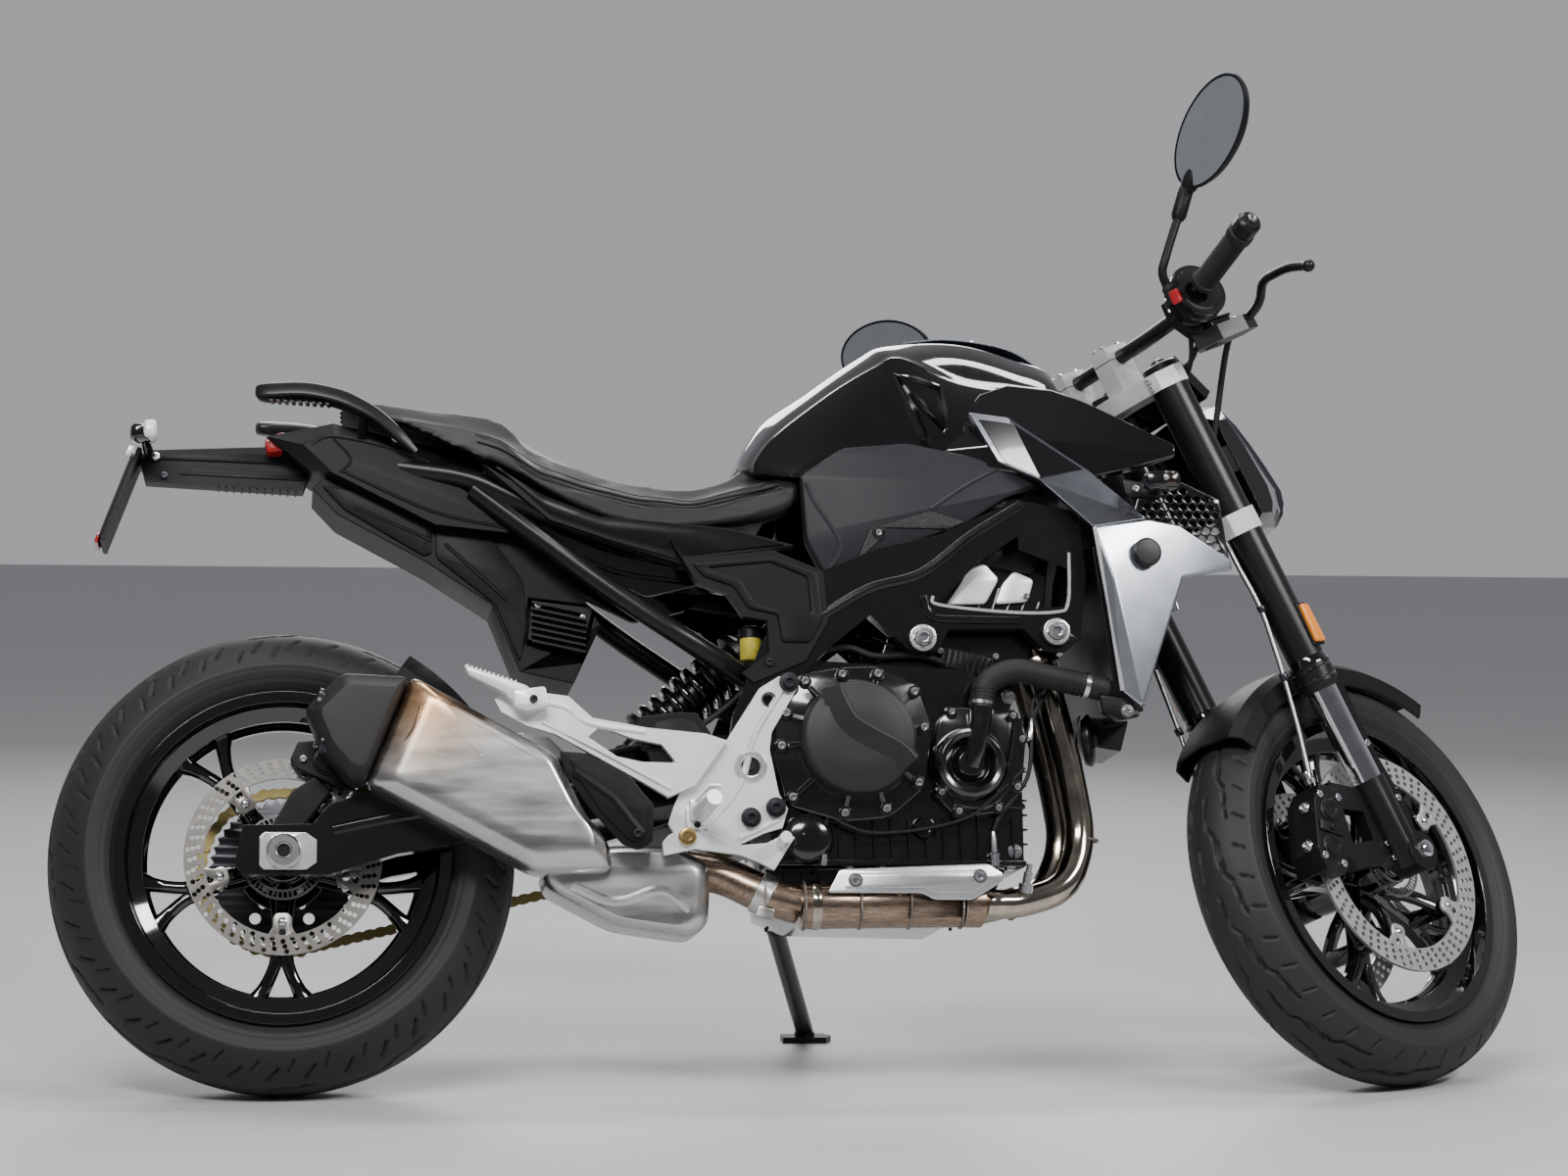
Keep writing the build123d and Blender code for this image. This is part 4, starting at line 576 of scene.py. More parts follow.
def repeated(piece, path, count, up=LEFT, closed=False):
    """A piece repeated along a path: its X ahead, its Z towards up."""
    holder, line = stock(piece), bpy.data.meshes.new("path")
    edges = [(i, i + 1) for i in range(len(path) - 1)] + ([(len(path) - 1, 0)] if closed else [])
    line.from_pydata([tuple(p) for p in path], edges, [])
    shape = grow(PATH, line, Piece=holder, Count=count, Up=up, Finish=finishes["steel"])
    bpy.data.objects.remove(holder)
    return shape


def drilled(outer, inner, hole, thick, spots):
    """A flat ring with drilled holes, across the machine, from zero to its thickness."""
    points = bpy.data.meshes.new("holes")
    points.from_pydata([(x, z, 0) for x, z in spots], [], [])
    shape = grow(DRILLED, points, Outer=outer, Inner=inner, Hole=hole, Thick=thick, Finish=finishes["steel"])
    return moved(shape, Matrix(((1, 0, 0, 0), (0, 0, 1, 0), (0, 1, 0, 0), (0, 0, 0, 1))))


# %% [markdown]
# A socket screw has a round head with a chamfer, a recess for the key and often a washer.
# Each screw is only noted down here with its place, its aim and its size. They are all made at
# the end, in a mesh for each body, kind and finish, because a screw on the wheel turns with it.

# %% Noting down the screws
UPRIGHT = Matrix.Rotation(math.radians(90), 4, "X")
SCREW = moved(lathe([(0, 0.35), (0.5, 0.35), (0.52, 0.85), (0.6, 0.92), (0.9, 0.9), (1.0, 0.78), (1.0, 0.0)],
                    12), UPRIGHT)
WASHERED = merged(SCREW, moved(lathe([(1.0, 0.2), (1.5, 0.16), (1.55, 0.0)], 18), UPRIGHT))
DOME = moved(lathe([(0, 0.62), (0.45, 0.56), (0.8, 0.36), (1.0, 0.0)], 12), UPRIGHT)
HEX = moved(lathe([(0, 0.8), (0.95, 0.8), (1.1, 0.66), (1.1, 0.1), (1.4, 0.1), (1.45, 0.0)], 6), UPRIGHT)
noted = {}


def screw(body, place, spot, aim, size, kind="SCREW", finish="screw_steel"):
    noted.setdefault((body, kind, finish),
                     []).append((place @ Vector(spot), (place.to_3x3() @ Vector(aim)).normalized(), size))


def frame_screw(spot, aim, size, *rest, **named):
    screw("frame", BIKE, spot, aim, size, *rest, **named)


def fork_screw(spot, aim, size, *rest, **named):
    screw("steering", FORK, spot, aim, size, *rest, **named)


def screw_pair(x, y, z, size, *rest, **named):
    """The same screw on both sides of the machine, with its head outwards."""
    for side in (-1, 1):
        frame_screw((x, side * y, z), (0, side, 0), size, *rest, **named)


def set_screws():
    kinds = {"SCREW": SCREW, "WASHERED": WASHERED, "DOME": DOME, "HEX": HEX}
    for (body, kind, finish), spots in noted.items():
        points = bpy.data.meshes.new("spots")
        points.from_pydata([tuple(s) for s, _, _ in spots], [], [])
        points.attributes.new("aim", "FLOAT_VECTOR", "POINT").data.foreach_set("vector",
                [v for _, a, _ in spots for v in a])
        points.attributes.new("size", "FLOAT", "POINT").data.foreach_set("value", [s for _, _, s in spots])
        holder = stock(kinds[kind])
        shape = grow(SPOTS, points, Piece=holder, Size=0.001, Finish=finishes[finish])
        bpy.data.objects.remove(holder)
        make(f"{body}_{kind.lower()}_{finish}", shape, SHARED, finish, body, "stainless", angle=25,
             merge=0.001)
        print(len(spots), "of", kind, "on", body)


# %% [markdown]
# ## Tyres
# A road tyre has a round crown, cut by long bent grooves that drain water and by short slanted
# ones at the shoulder, and a smooth side with a few moulded rings. The tread could be a bump,
# but then its edge stays smooth and a bare mesh has none of it. So the crown is a fine grid,
# and its corners sink wherever a groove of the repeating pattern passes.

# %% Tyres with a cut tread
def tyre(radius, width, foot, pitches, grooves, steps, lanes):
    """A tyre on its hub, with grooves given in millimetres (round the tyre, across it)."""
    half = width / 2
    drop = 0.6 * half
    crown = (half ** 2 + drop ** 2) / (2 * drop)
    edge = math.asin(half / crown)
    low, over, shoulder = 216.5, 226.0, radius - drop
    side = []
    for t in np.linspace(0, 1, 15)[:-1]:
        r = over + (shoulder - over) * t
        y = foot * (1 - t) * (1 - 2 * t) + ((foot + half) / 2 + 4) * 4 * t * (1 - t) + half * t * (2 * t - 1)
        rib = 1.1 if 0.28 < t < 0.36 or 0.5 < t < 0.58 or 0.68 < t < 0.74 else 0.0
        side.append((r, y + rib))
    sweep = np.linspace(-edge, edge, lanes)
    around = np.arange(steps) * math.tau / steps
    pitch = math.tau * radius / pitches
    a, v = np.meshgrid(around, sweep * crown, indexing="ij")
    u = (a * radius + np.where(v < 0, pitch / 2, 0)) % pitch
    v = np.abs(v)
    sunk = np.zeros_like(u)
    for (u0, v0), (u1, v1), wide, deep in grooves:
        for shift in (-pitch, 0, pitch):
            du, dv = u1 - u0, v1 - v0
            t = np.clip(((u - u0 - shift) * du + (v - v0) * dv) / (du * du + dv * dv), 0, 1)
            away = np.hypot(u - u0 - shift - t * du, v - v0 - t * dv)
            sunk = np.maximum(sunk, deep * np.clip((wide / 2 - away) / 1.2 + 0.5, 0, 1))
    r = (radius - crown) + (crown - sunk) * np.cos(sweep)
    y = (crown - sunk) * np.sin(sweep)
    foot_side = [(low, -foot)] + [(p, -q) for p, q in side]
    left = [(p, q) for p, q in reversed(side)] + [(low, foot)]
    r = np.hstack([np.tile([p for p, _ in foot_side], (steps, 1)), r,
                   np.tile([p for p, _ in left], (steps, 1))])
    y = np.hstack([np.tile([q for _, q in foot_side], (steps, 1)), y,
                   np.tile([q for _, q in left], (steps, 1))])
    n = r.shape[1]
    spots = np.stack([r * np.cos(around)[:, None], y, r * np.sin(around)[:, None]], 2).reshape(-1, 3)
    i, k = np.meshgrid(np.arange(steps), np.arange(n), indexing="ij")
    j, m = (i + 1) % steps, (k + 1) % n
    faces = np.stack([i * n + k, i * n + m, j * n + m, j * n + k], 2).reshape(-1, 4)
    return [Vector(p) for p in spots.tolist()], [tuple(f) for f in faces.tolist()]


FRONT_GROOVES = [((4, 24), (52, 27), 4.2, 4.5), ((52, 27), (64, 36), 4.2, 4.5),
                 ((64, 36), (114, 40), 4.2, 4.2), ((80, 8), (126, 10), 4.2, 4.5),
                 ((126, 10), (137, 19), 4.2, 4.5), ((137, 19), (186, 22), 4.2, 4.2),
                 ((12, 46), (20, 62), 3.8, 3.6), ((60, 48), (68, 64), 3.8, 3.6),
                 ((108, 50), (116, 66), 3.8, 3.6)]
REAR_GROOVES = [((6, 22), (66, 27), 4.6, 5.0), ((66, 27), (80, 40), 4.6, 5.0),
                ((80, 40), (134, 46), 4.6, 4.6), ((92, 8), (146, 11), 4.6, 5.0),
                ((146, 11), (160, 22), 4.6, 5.0), ((160, 22), (216, 26), 4.6, 4.6),
                ((10, 58), (26, 80), 4.2, 4.2), ((64, 60), (80, 82), 4.2, 4.2),
                ((118, 62), (134, 84), 4.2, 4.2), ((40, 74), (50, 94), 3.6, 3.2),
                ((94, 76), (104, 96), 3.6, 3.2), ((148, 78), (158, 98), 3.6, 3.2)]
front_tyre = tyre(radius=300, width=120, foot=44.7, pitches=13, grooves=FRONT_GROOVES, steps=900, lanes=66)
make("front_tyre_cut", front_tyre, FRONT_HUB, "tyre_rubber", "front_wheel", "tyre", ("front_tyre",), angle=60)
rear_tyre = tyre(radius=315, width=180, foot=70.7, pitches=12, grooves=REAR_GROOVES, steps=840, lanes=80)
make("rear_tyre_cut", rear_tyre, REAR_HUB, "tyre_rubber", "rear_wheel", "tyre", ("rear_tyre",), angle=60)
print("tyre corners", len(front_tyre[0]), len(rear_tyre[0]))

# %% [markdown]
# ## Wheels
# The cast wheels have five spokes that fork into a Y before they meet the rim. The rim is a
# turned profile. Each spoke is a loft with a ridge down both faces, as cast spokes have, and
# one spoke is drawn and then turned round the hub.

# %% Cast wheels
def ridged(wide, deep):
    """A spoke's section: chamfered, with a ridge down both faces."""
    w, d, c = wide / 2, deep / 2, min(wide, deep) * 0.22
    return [(-w, -d + c), (-w + c, -d), (0, -d - 1.2), (w - c, -d), (w, -d + c),
            (w, d - c), (w - c, d), (0, d + 1.2), (-w + c, d), (-w, d - c)]


def spoke_beam(path, wides, deeps):
    ways = np.linspace(0, 1, len(wides))
    return along(path,
                 lambda t: [(v, u)
                            for u, v in ridged(float(np.interp(t, ways, wides)),
                                               float(np.interp(t, ways, deeps)))], UP)


def cast_wheel(rim_w, hub, boss_ring, bosses, first):
    edge, seat, well = rim_w / 2, 216.0, 194.0
    half = [(seat - 6, edge), (seat + 9, edge), (seat + 9, edge - 4), (seat + 6, edge - 6), (seat, edge - 8),
            (seat - 2, edge - 27), (well, edge - 36)]
    under = [(well - 6, edge - 33), (seat - 9, edge - 24), (seat - 8, edge - 10)]
    profile = half + [(r, -y) for r, y in reversed(half)] + [(r, -y) for r, y in reversed(under)] + under
    shapes = [lathe(profile, 144, closed=True), lathe(hub, 64, closed=True)]
    shapes.append(lathe([(well - 6, -9), (well - 12, -4), (well - 12, 4), (well - 6, 9)], 144, closed=True))
    trunk = smooth_path([(24, 0, 0), (66, 0, 0), (104, 0, 0), (134, 0, 0)], 3)
    spoke = [spoke_beam(trunk, [50, 32, 26, 26, 34], [44, 36, 31, 29, 28])]
    for side in (-1, 1):
        branch = smooth_path([(112, 0, side * 3), (140, 0, side * 9), (166, 0, side * 20),
                              (190, 0, side * 33)], 3)
        spoke.append(spoke_beam(branch, [14, 18, 17, 19, 30], [24, 27, 26, 27, 33]))
    for end in bosses:
        arm = [(26, 0, 0), (60, end * 0.55, 0), (boss_ring, end * 0.86, 0)]
        spoke.append(spoke_beam(smooth_path(arm, 3), [26, 18, 18], [20, 16, 14]))
        spoke.append(shifted(lathe([(0, end), (11, end), (13, end * 0.9), (13, 0), (0, 0)], 20),
                             (boss_ring, 0, 0)))
    spoke = merged(*spoke)
    for i in range(5):
        shapes.append(moved(spoke, turn(-(first + i * 72))))
    return merged(*shapes)


FRONT_HUB_Y = 74.75
front_hub = [(11.05, -FRONT_HUB_Y), (26, -FRONT_HUB_Y), (29, -FRONT_HUB_Y + 3), (30, -40), (27, -20),
             (27, 20), (30, 40), (29, FRONT_HUB_Y - 3), (26, FRONT_HUB_Y), (11.05, FRONT_HUB_Y)]
rim = cast_wheel(106, front_hub, 108, (-FRONT_HUB_Y, FRONT_HUB_Y), 306)
make("front_wheel_casting", rim, FRONT_HUB, "gloss_black", "front_wheel", "gloss_black_paint", ("front_rim",),
     bevel=0.9)
rear_hub = [(14.05, -71), (32, -71), (36, -67), (38, -50), (36, 10), (58, 22), (62, 28), (62, 72), (58, 76),
            (14.05, 76)]
rim = cast_wheel(158, rear_hub, 88, (-71.0,), 270)
make("rear_wheel_casting", rim, REAR_HUB, "gloss_black", "rear_wheel", "gloss_black_paint", ("rear_rim",),
     bevel=0.9)
print("wheel corners", len(rim[0]))

# %% [markdown]
# ## Brake discs, sensor rings and sprocket
# A disc is drilled in curved rows to clear water and dust, and it hangs on five lugs. Drilling
# is a rule, so a tree makes it: circles stand on the hole spots, and a filled curve keeps them
# open. A slotted ring inside each disc tells the brakes how fast the wheel turns.

# %% Drilled discs
def hole_rows(rows, inner, outer, count, lean):
    """Spots of curved rows of holes."""
    spots = []
    for i in range(count):
        for k in range(rows):
            r = inner + (outer - inner) * (k + 0.5 * (i % 2)) / (rows - 0.5)
            a = math.tau * i / count + lean * (k + 0.5 * (i % 2))
            spots.append((r * math.cos(a), r * math.sin(a)))
    return spots


def brake_disc(radius, ring_w, y, thick, lug_ring, first, count):
    inner = radius - ring_w
    ring = drilled(radius, inner, hole=3.5, thick=thick,
                   spots=hole_rows(rows=3, inner=inner + 5, outer=radius - 5, count=count, lean=0.02))
    shapes = [shifted(ring, (0, y - thick / 2, 0))]
    lug = [(lug_ring - 12, -8), (lug_ring - 6, -13), (lug_ring + 6, -12), (inner + 3, -21), (inner + 3, 21),
           (lug_ring + 6, 12), (lug_ring - 6, 13), (lug_ring - 12, 8)]
    for i in range(5):
        lug_plate = panel(lug, 5, y - thick / 2 + 0.2, y + thick / 2 - 0.2, [circle(lug_ring + 14, 0, 5, 12)],
                          0.6)
        shapes.append(moved(lug_plate, turn(-(first + i * 72))))
    return merged(*shapes)


def disc_screws(body, place, lug_ring, y, outside, first):
    for i in range(5):
        a = math.radians(first + i * 72)
        screw(body, place, (lug_ring * math.cos(a), y + outside, lug_ring * math.sin(a)), (0, outside, 0),
              6.5, "DOME")


discs = [brake_disc(160, ring_w=33, y=y, thick=4.5, lug_ring=108, first=306, count=60) for y in (-77.0, 77.0)]
make("front_discs_drilled", merged(*discs), FRONT_HUB, "disc_ground_front", "front_wheel", "disc_steel",
     ("front_discs",), angle=40)
make("rear_disc_drilled", brake_disc(132.5, ring_w=27, y=-73.5, thick=5.0, lug_ring=88, first=270, count=52),
     REAR_HUB, "disc_ground_rear", "rear_wheel", "disc_steel", ("rear_disc",), angle=40)
disc_screws("front_wheel", FRONT_HUB, 108, -77 - 1.5, -1, 306)
disc_screws("front_wheel", FRONT_HUB, 108, 77 + 1.5, 1, 306)
disc_screws("rear_wheel", REAR_HUB, 88, -73.5 - 1.5, -1, 270)


def sensor_ring(inner, outer, y, count):
    """Two thin hoops with bars between them."""
    hoops = [drilled(inner + 3, inner, 0.5, 1.6, []), drilled(outer, outer - 3, 0.5, 1.6, [])]
    middle, reach = (inner + outer) / 2, (outer - inner) / 2
    bar = loft([[(-0.9, -reach, 0), (0.9, -reach, 0), (0.9, reach, 0), (-0.9, reach, 0)],
                [(-0.9, -reach, 1.6), (0.9, -reach, 1.6), (0.9, reach, 1.6), (-0.9, reach, 1.6)]])
    ring = [(middle * math.cos(a), 0, middle * math.sin(a)) for a in np.linspace(0, math.tau, 97)[:-1]]
    bars = repeated(bar, ring, count, up=LEFT, closed=True)
    return shifted(merged(*hoops, bars), (0, y, 0))


make("rear_sensor_ring", sensor_ring(inner=44, outer=58, y=-70.5, count=48), REAR_HUB, "screw_steel",
     "rear_wheel", "steel", angle=30)
make("front_sensor_ring", sensor_ring(inner=36, outer=50, y=-73.5, count=48), FRONT_HUB, "steel",
     "front_wheel", "steel", angle=30)
print("disc corners", len(discs[0][0]))

# %% Sprocket and chain
TEETH = 45
tooth_line = []
for i in range(TEETH * 4):
    a, r = math.tau * i / (TEETH * 4), (102.0, 98.5, 96.0, 98.5)[i % 4]
    tooth_line.append((r * math.cos(a), r * math.sin(a)))
windows = [circle(74 * math.cos(a), 74 * math.sin(a), 8, 16) for a in np.arange(6) * math.tau / 6]
sprocket = merged(plate(tooth_line, 104, 110, windows + [circle(0, 0, 14.2, 24)], 0.7),
                  lathe([(14.2, 76), (50, 76), (52, 80), (52, 104), (14.2, 104)], 48, closed=True))
make("rear_sprocket_cut", sprocket, REAR_HUB, "dark_screw", "rear_wheel", "steel", ("rear_sprocket",),
     angle=30)
for i in range(6):
    a = math.tau * (i + 0.5) / 6
    screw("rear_wheel", REAR_HUB, (60 * math.cos(a), 110, 60 * math.sin(a)), LEFT, 6, "HEX")


def link_plate(y, thick, high):
    """Half of a link: a waisted plate between two pins."""
    waist = [(-7.9, high), (-4, high * 0.94), (0, high * 0.72), (4, high * 0.94), (7.9, high),
             (12.6, high * 0.6), (14.2, 0)]
    edge = waist + [(x, -z) for x, z in reversed(waist[:-1])] + [(-12.6, -high * 0.6), (-14.2, 0),
                                                                 (-12.6, high * 0.6)]
    return loft([[(x, z, y) for x, z in edge], [(x, z, y + thick) for x, z in edge]])


def chain_pair():
    pieces = [link_plate(y, 1.6, 6.8) for y in (-7.6, 6.0)]
    pieces += [shifted(link_plate(y, 1.6, 7.2), (15.8, 0, 0)) for y in (-5.6, 4.0)]
    for x in (-7.9, 7.9):
        pieces.append(loft([[(x + u, v, -7.9) for u, v in disc(2.6, 8)],
                            [(x + u, v, 7.9) for u, v in disc(2.6, 8)]]))
        pieces.append(loft([[(x + u, v, -3.9) for u, v in disc(5.0, 8)],
                            [(x + u, v, 3.9) for u, v in disc(5.0, 8)]]))
    return merged(*pieces)


def chain_path(big=111.0, small=50.0, front=(700.0, 100.0)):
    """The pitch line round both sprockets, seen from the rear hub."""
    reach, base = math.hypot(*front), math.atan2(front[1], front[0])
    lean = math.acos((big - small) / reach)
    spots = [(big * math.cos(a), 107, big * math.sin(a))
             for a in np.linspace(base + lean, base + math.tau - lean, 60)]
    return spots + [(front[0] + small * math.cos(a), 107, front[1] + small * math.sin(a))
                    for a in np.linspace(base - lean, base + lean, 30)]


CHAIN_PAIRS = 61
chain = repeated(chain_pair(), chain_path(), CHAIN_PAIRS, up=LEFT, closed=True)
make("drive_chain", chain, REAR_HUB, "chain_gold", "frame", "chain_gold", ("chain",), angle=30)
print("chain of", CHAIN_PAIRS * 2, "links")

# %% [markdown]
# ## Fork, brakes and steering
# An upside-down fork has thick black tubes on top and bright thin ones below, with a dust seal
# where they meet. The castings keep the shape of their solids. What gives them life is added:
# seals, rings, clamp screws, caps over the brake pistons, a reflector on a bracket.

# %% Small shared pieces
def pin(start, end, profile, sides=24):
    """A turned piece from start to end, from (share of the way, radius) pairs."""
    start, end = Vector(start), Vector(end)
    across = (end - start).orthogonal().normalized()
    other = (end - start).normalized().cross(across)
    return loft([[start.lerp(end, way) + (across * u + other * v) * radius for u, v in disc(1.0, sides)]
                 for way, radius in profile])


def slab_on(spot, normal, along_it, outline, thick, bevel):
    """A plate that lies on a face: its outline is drawn along and across the given way."""
    z, x = Vector(normal).normalized(), Vector(along_it).normalized()
    lie = Matrix.Translation(spot) @ Matrix((x, -z, x.cross(-z))).transposed().to_4x4()
    return moved(plate(outline, -thick, 0.0, bevel=bevel), lie)


def box_outline(wide, high, radius=3.0):
    w, h = wide / 2, high / 2
    return rounded([(-w, -h), (w, -h), (w, h), (-w, h)], radius)


def ribbed(start, end, radius, ribs, deep=0.8):
    """A ribbed round sleeve."""
    ways = [(0, radius - deep)]
    for i in range(ribs):
        for share, r in ((0.15, radius), (0.6, radius), (0.75, radius - deep), (1.0, radius - deep)):
            ways.append(((i + share) / ribs, r))
    return pin(start, end, ways, 28)


LEG, LEG_SIDE = 15.8, 109.0
print("a ribbed sleeve has", len(ribbed((0, 0, 0), UP, 1, 8)[0]), "corners")

# %% Fork tubes
dress("fork_legs", "satin_black", 1.4)
dress("fork_inner_tubes", "chrome", 0.4)
seal = pin((LEG, -LEG_SIDE, 262), (LEG, -LEG_SIDE, 274),
           [(0, 22.4), (0.1, 25), (0.55, 26.5), (0.7, 28.3), (1, 28.6)], 36)
steered("dust_seals", both_sides(seal), "rubber", "rubber", angle=30)
rings = [pin((LEG, -LEG_SIDE, s), (LEG, -LEG_SIDE, s + 3), [(0, 29.4), (0.25, 30.2), (0.75, 30.2), (1, 29.4)],
             40) for s in (276, 292)]
rings.append(pin((LEG, -LEG_SIDE, 300), (LEG, -LEG_SIDE, 312), [(0, 29.5), (0.6, 28.6), (1, 27.0)], 40))
steered("fork_rings", both_sides(merged(*rings)), "gloss_black", "gloss_black_paint", angle=30)
cap = pin((LEG, -LEG_SIDE, 770), (LEG, -LEG_SIDE, 784),
          [(0, 26.5), (0.5, 26.5), (0.62, 24), (0.68, 22), (0.7, 12), (1, 11.2), (1, 4)], 36)
steered("fork_caps", both_sides(cap), "dark_screw", "satin_black_paint", angle=30)
for side in (-1, 1):
    fork_screw((LEG, side * LEG_SIDE, 782), UP, 6.5, "HEX")
    for s in (519, 535):
        fork_screw((LEG + 37, side * (LEG_SIDE - 16), s), (1, 0, 0), 4.5)
    for s in (749, 761):
        fork_screw((LEG - 36, side * (LEG_SIDE - 2), s), (-1, 0.25 * side, 0), 4.2)
    for p, s in ((LEG - 14, 8), (LEG - 14, 30)):
        fork_screw((p - 12, side * 109.5, s), (0, side, 0), 4.5)
    for p, s in ((74, 272), (66, 120), (46, 62)):
        fork_screw((p, side * 88.2, s), (0, side, 0), 5.0, "WASHERED")

# %% Reflectors and brake lines
bracket = panel([(10, 322), (34, 318), (34, 384), (14, 388)], 4, -138.5, -136.2)
steered("reflector_brackets", both_sides(bracket), "satin_black", "satin_black_paint", bevel=0.3)
lens = panel([(12, 326), (32, 322), (32, 380), (16, 384)], 5, -144.5, -138.3, bevel=1.6)
steered("reflectors", both_sides(lens), "amber_lens", "gloss_plastic", angle=50)
dress("brake_lines", "steel", 0.0)
clips = [pin((-27, -112, s - 5), (-27 - 1.0, -112, s + 5), [(0, 5.2), (0.2, 6), (0.8, 6), (1, 5.2)], 14)
         for s in (400,)]
clips.append(pin((-46, -108, 294), (-46.4, -108, 306), [(0, 5.2), (0.2, 6), (0.8, 6), (1, 5.2)], 14))
steered("line_clips", both_sides(merged(*clips)), "dark_screw", "rubber")

# %% Front calipers
CALIPER = FRONT_HUB @ turn(-148)
dress("front_calipers", "black_casting", 2.2, angle=25)
caps = []
for z in (-27, 27):
    caps.append(pin((157, -109.5, z), (157, -115, z),
                    [(0, 19), (0.4, 18.4), (0.5, 15.5), (1, 15), (1, 9), (0.7, 8.5), (0.7, 0.1)], 32))
caps.append(panel([(134, -8), (180, -8), (180, 8), (134, 8)], 3, -113.5, -109.5))
make("piston_caps", both_sides(merged(*caps)), CALIPER, "satin_black", "steering", "black_casting", angle=35,
     bevel=0.5)
for side in (-1, 1):
    for x, z in ((176, -46), (176, 46), (140, -50), (140, 50)):
        screw("steering", CALIPER, (x, side * 109.5, z), (0, side, 0), 5.5)
    screw("steering", CALIPER, (157, side * 113.5, 0), (0, side, 0), 4.0, finish="dark_screw")
    for z in (-52, 52):
        screw("steering", CALIPER, (188, side * 92, z * 0.55), (1, 0, 0), 6.0, "WASHERED")
banjo = pin((-88, -101, 168), (-88, -101, 150), [(0, 3.6), (0.2, 5), (0.5, 5), (0.6, 7.5), (1, 7.5)], 18)
steered("line_ends", both_sides(banjo), "screw_steel", "stainless", angle=30)
print("calipers at", CALIPER.to_translation())

# %% [markdown]
# The clamps that hold the fork are bright castings, and the handlebar lies in two risers with
# caps. Grips are moulded rubber with ribs, and a weight closes each bar end. The controls are
# round housings in two halves, so a ring and a seam show where they join.

# %% Clamps and handlebar
dress("triple_clamps", "silver_casting", 2.0, angle=25)
dress("handlebar", "satin_black", 0.0)
nut = pin((0, 0, 768), (0, 0, 780),
          [(0, 22), (0.25, 22), (0.3, 17), (0.9, 17), (1, 15.5), (1, 9), (0.6, 8.5), (0.6, 0.1)], 6)
steered("stem_nut", nut, "dark_screw", "satin_black_paint", bevel=0.8)
lock = pin((34, 0, 762), (34, 0, 790), [(0, 17), (0.8, 17), (0.88, 15.5), (0.9, 12), (1, 11.5), (1, 0.1)], 28)
steered("ignition_lock", lock, "satin_black", "satin_black_paint", angle=30)
for side in (-1, 1):
    for p in (-13, 23):
        for y in (38, 54):
            fork_screw((p, side * y, 837), UP, 4.0)
seam = plate(box_outline(51, 1.2, 0.4), -62.6, -29.4)
steered("riser_seams", shifted(both_sides(seam), (5, 0, 817)), "dark_screw", "satin_black_paint")

# %% Grips, bar ends and mirrors
BEND, BAR_END = Vector((-9, -243, 833)), Vector((-37, -392, 868))
GRIP = (BAR_END - BEND).normalized()
sleeve = merged(ribbed(BEND + GRIP * 32, BAR_END - GRIP * 26, 16.8, 26, 0.7),
                pin(BEND + GRIP * 24, BEND + GRIP * 33, [(0, 15), (0.1, 19), (0.8, 19), (1, 16)], 32),
                pin(BAR_END - GRIP * 27, BAR_END - GRIP * 12, [(0, 16), (0.15, 19), (0.85, 19), (1, 17)], 32))
steered("grip_sleeves", both_sides(sleeve), "rubber", "rubber", ("grips",), angle=28)
weight = pin(BAR_END - GRIP * 12, BAR_END + GRIP * 14,
             [(0, 14), (0.06, 17.4), (0.8, 17.4), (0.93, 15.2), (1, 12), (1, 0.1)], 32)
steered("bar_weights", both_sides(weight), "satin_black", "satin_black_paint", angle=28)
for side in (-1, 1):
    spot = BAR_END + GRIP * 14
    fork_screw((spot.x, side * -spot.y, spot.z), (GRIP.x, side * -GRIP.y, GRIP.z), 6.5)

MIRROR_LONG, MIRROR_FACE = Vector((0, -0.91, 0.41)).normalized(), Vector((-0.97, 0.1, 0.22)).normalized()
MIRROR_AXES = Matrix((MIRROR_LONG, MIRROR_FACE.cross(MIRROR_LONG).normalized(), MIRROR_FACE))
MIRROR = Matrix.Translation((33, -362, 1020)) @ MIRROR_AXES.transposed().to_4x4()


def oval(wide, high, level, sides=48):
    return [(wide * u, high * v, level) for u, v in disc(1.0, sides)]


SHELL = [(8, 5, -27), (34, 19, -26.4), (56, 33, -23), (74, 44, -16), (87, 51.5, -7), (92, 54, 0),
         (92, 54, 4.4), (91, 53, 5.0), (89, 51.2, 5.0), (88.4, 50.7, 3.4), (40, 23, 3.4)]
shell = moved(loft([oval(*ring) for ring in SHELL]), MIRROR)
stem = tube(smooth_path([(-40, -230, 836), (-46, -234, 872), (-34, -246, 896), (8, -268, 944),
                         (24, -276, 960)], 6), 6.3, 16)
boot = pin((-39.5, -229.5, 832), (-44, -232.5, 860),
           [(0, 12), (0.2, 12.5), (0.35, 11), (0.5, 11.8), (0.62, 10.2), (0.78, 10.8), (1, 7)], 24)
joint = merged(pin((2, -264, 936), (31, -285, 976), [(0, 8), (0.12, 10.8), (0.8, 11.2), (1, 8)], 24),
               pin((26, -281, 968), (46, -312, 994), [(0, 9), (0.2, 12.5), (0.7, 13.2), (1, 11)], 24))
steered("mirror_shells", both_sides(merged(shell, stem, joint)), "matt_plastic", "matt_plastic", ("mirrors",),
        angle=28)
steered("mirror_boots", both_sides(boot), "rubber", "rubber", angle=30)
glass = moved(loft([oval(88.2, 50.6, 3.5), oval(87.6, 50.1, 4.3), oval(60, 34, 4.3), oval(20, 11, 4.3)]),
              MIRROR)
steered("mirror_glasses", both_sides(glass), "mirror_glass", "chrome", angle=50)

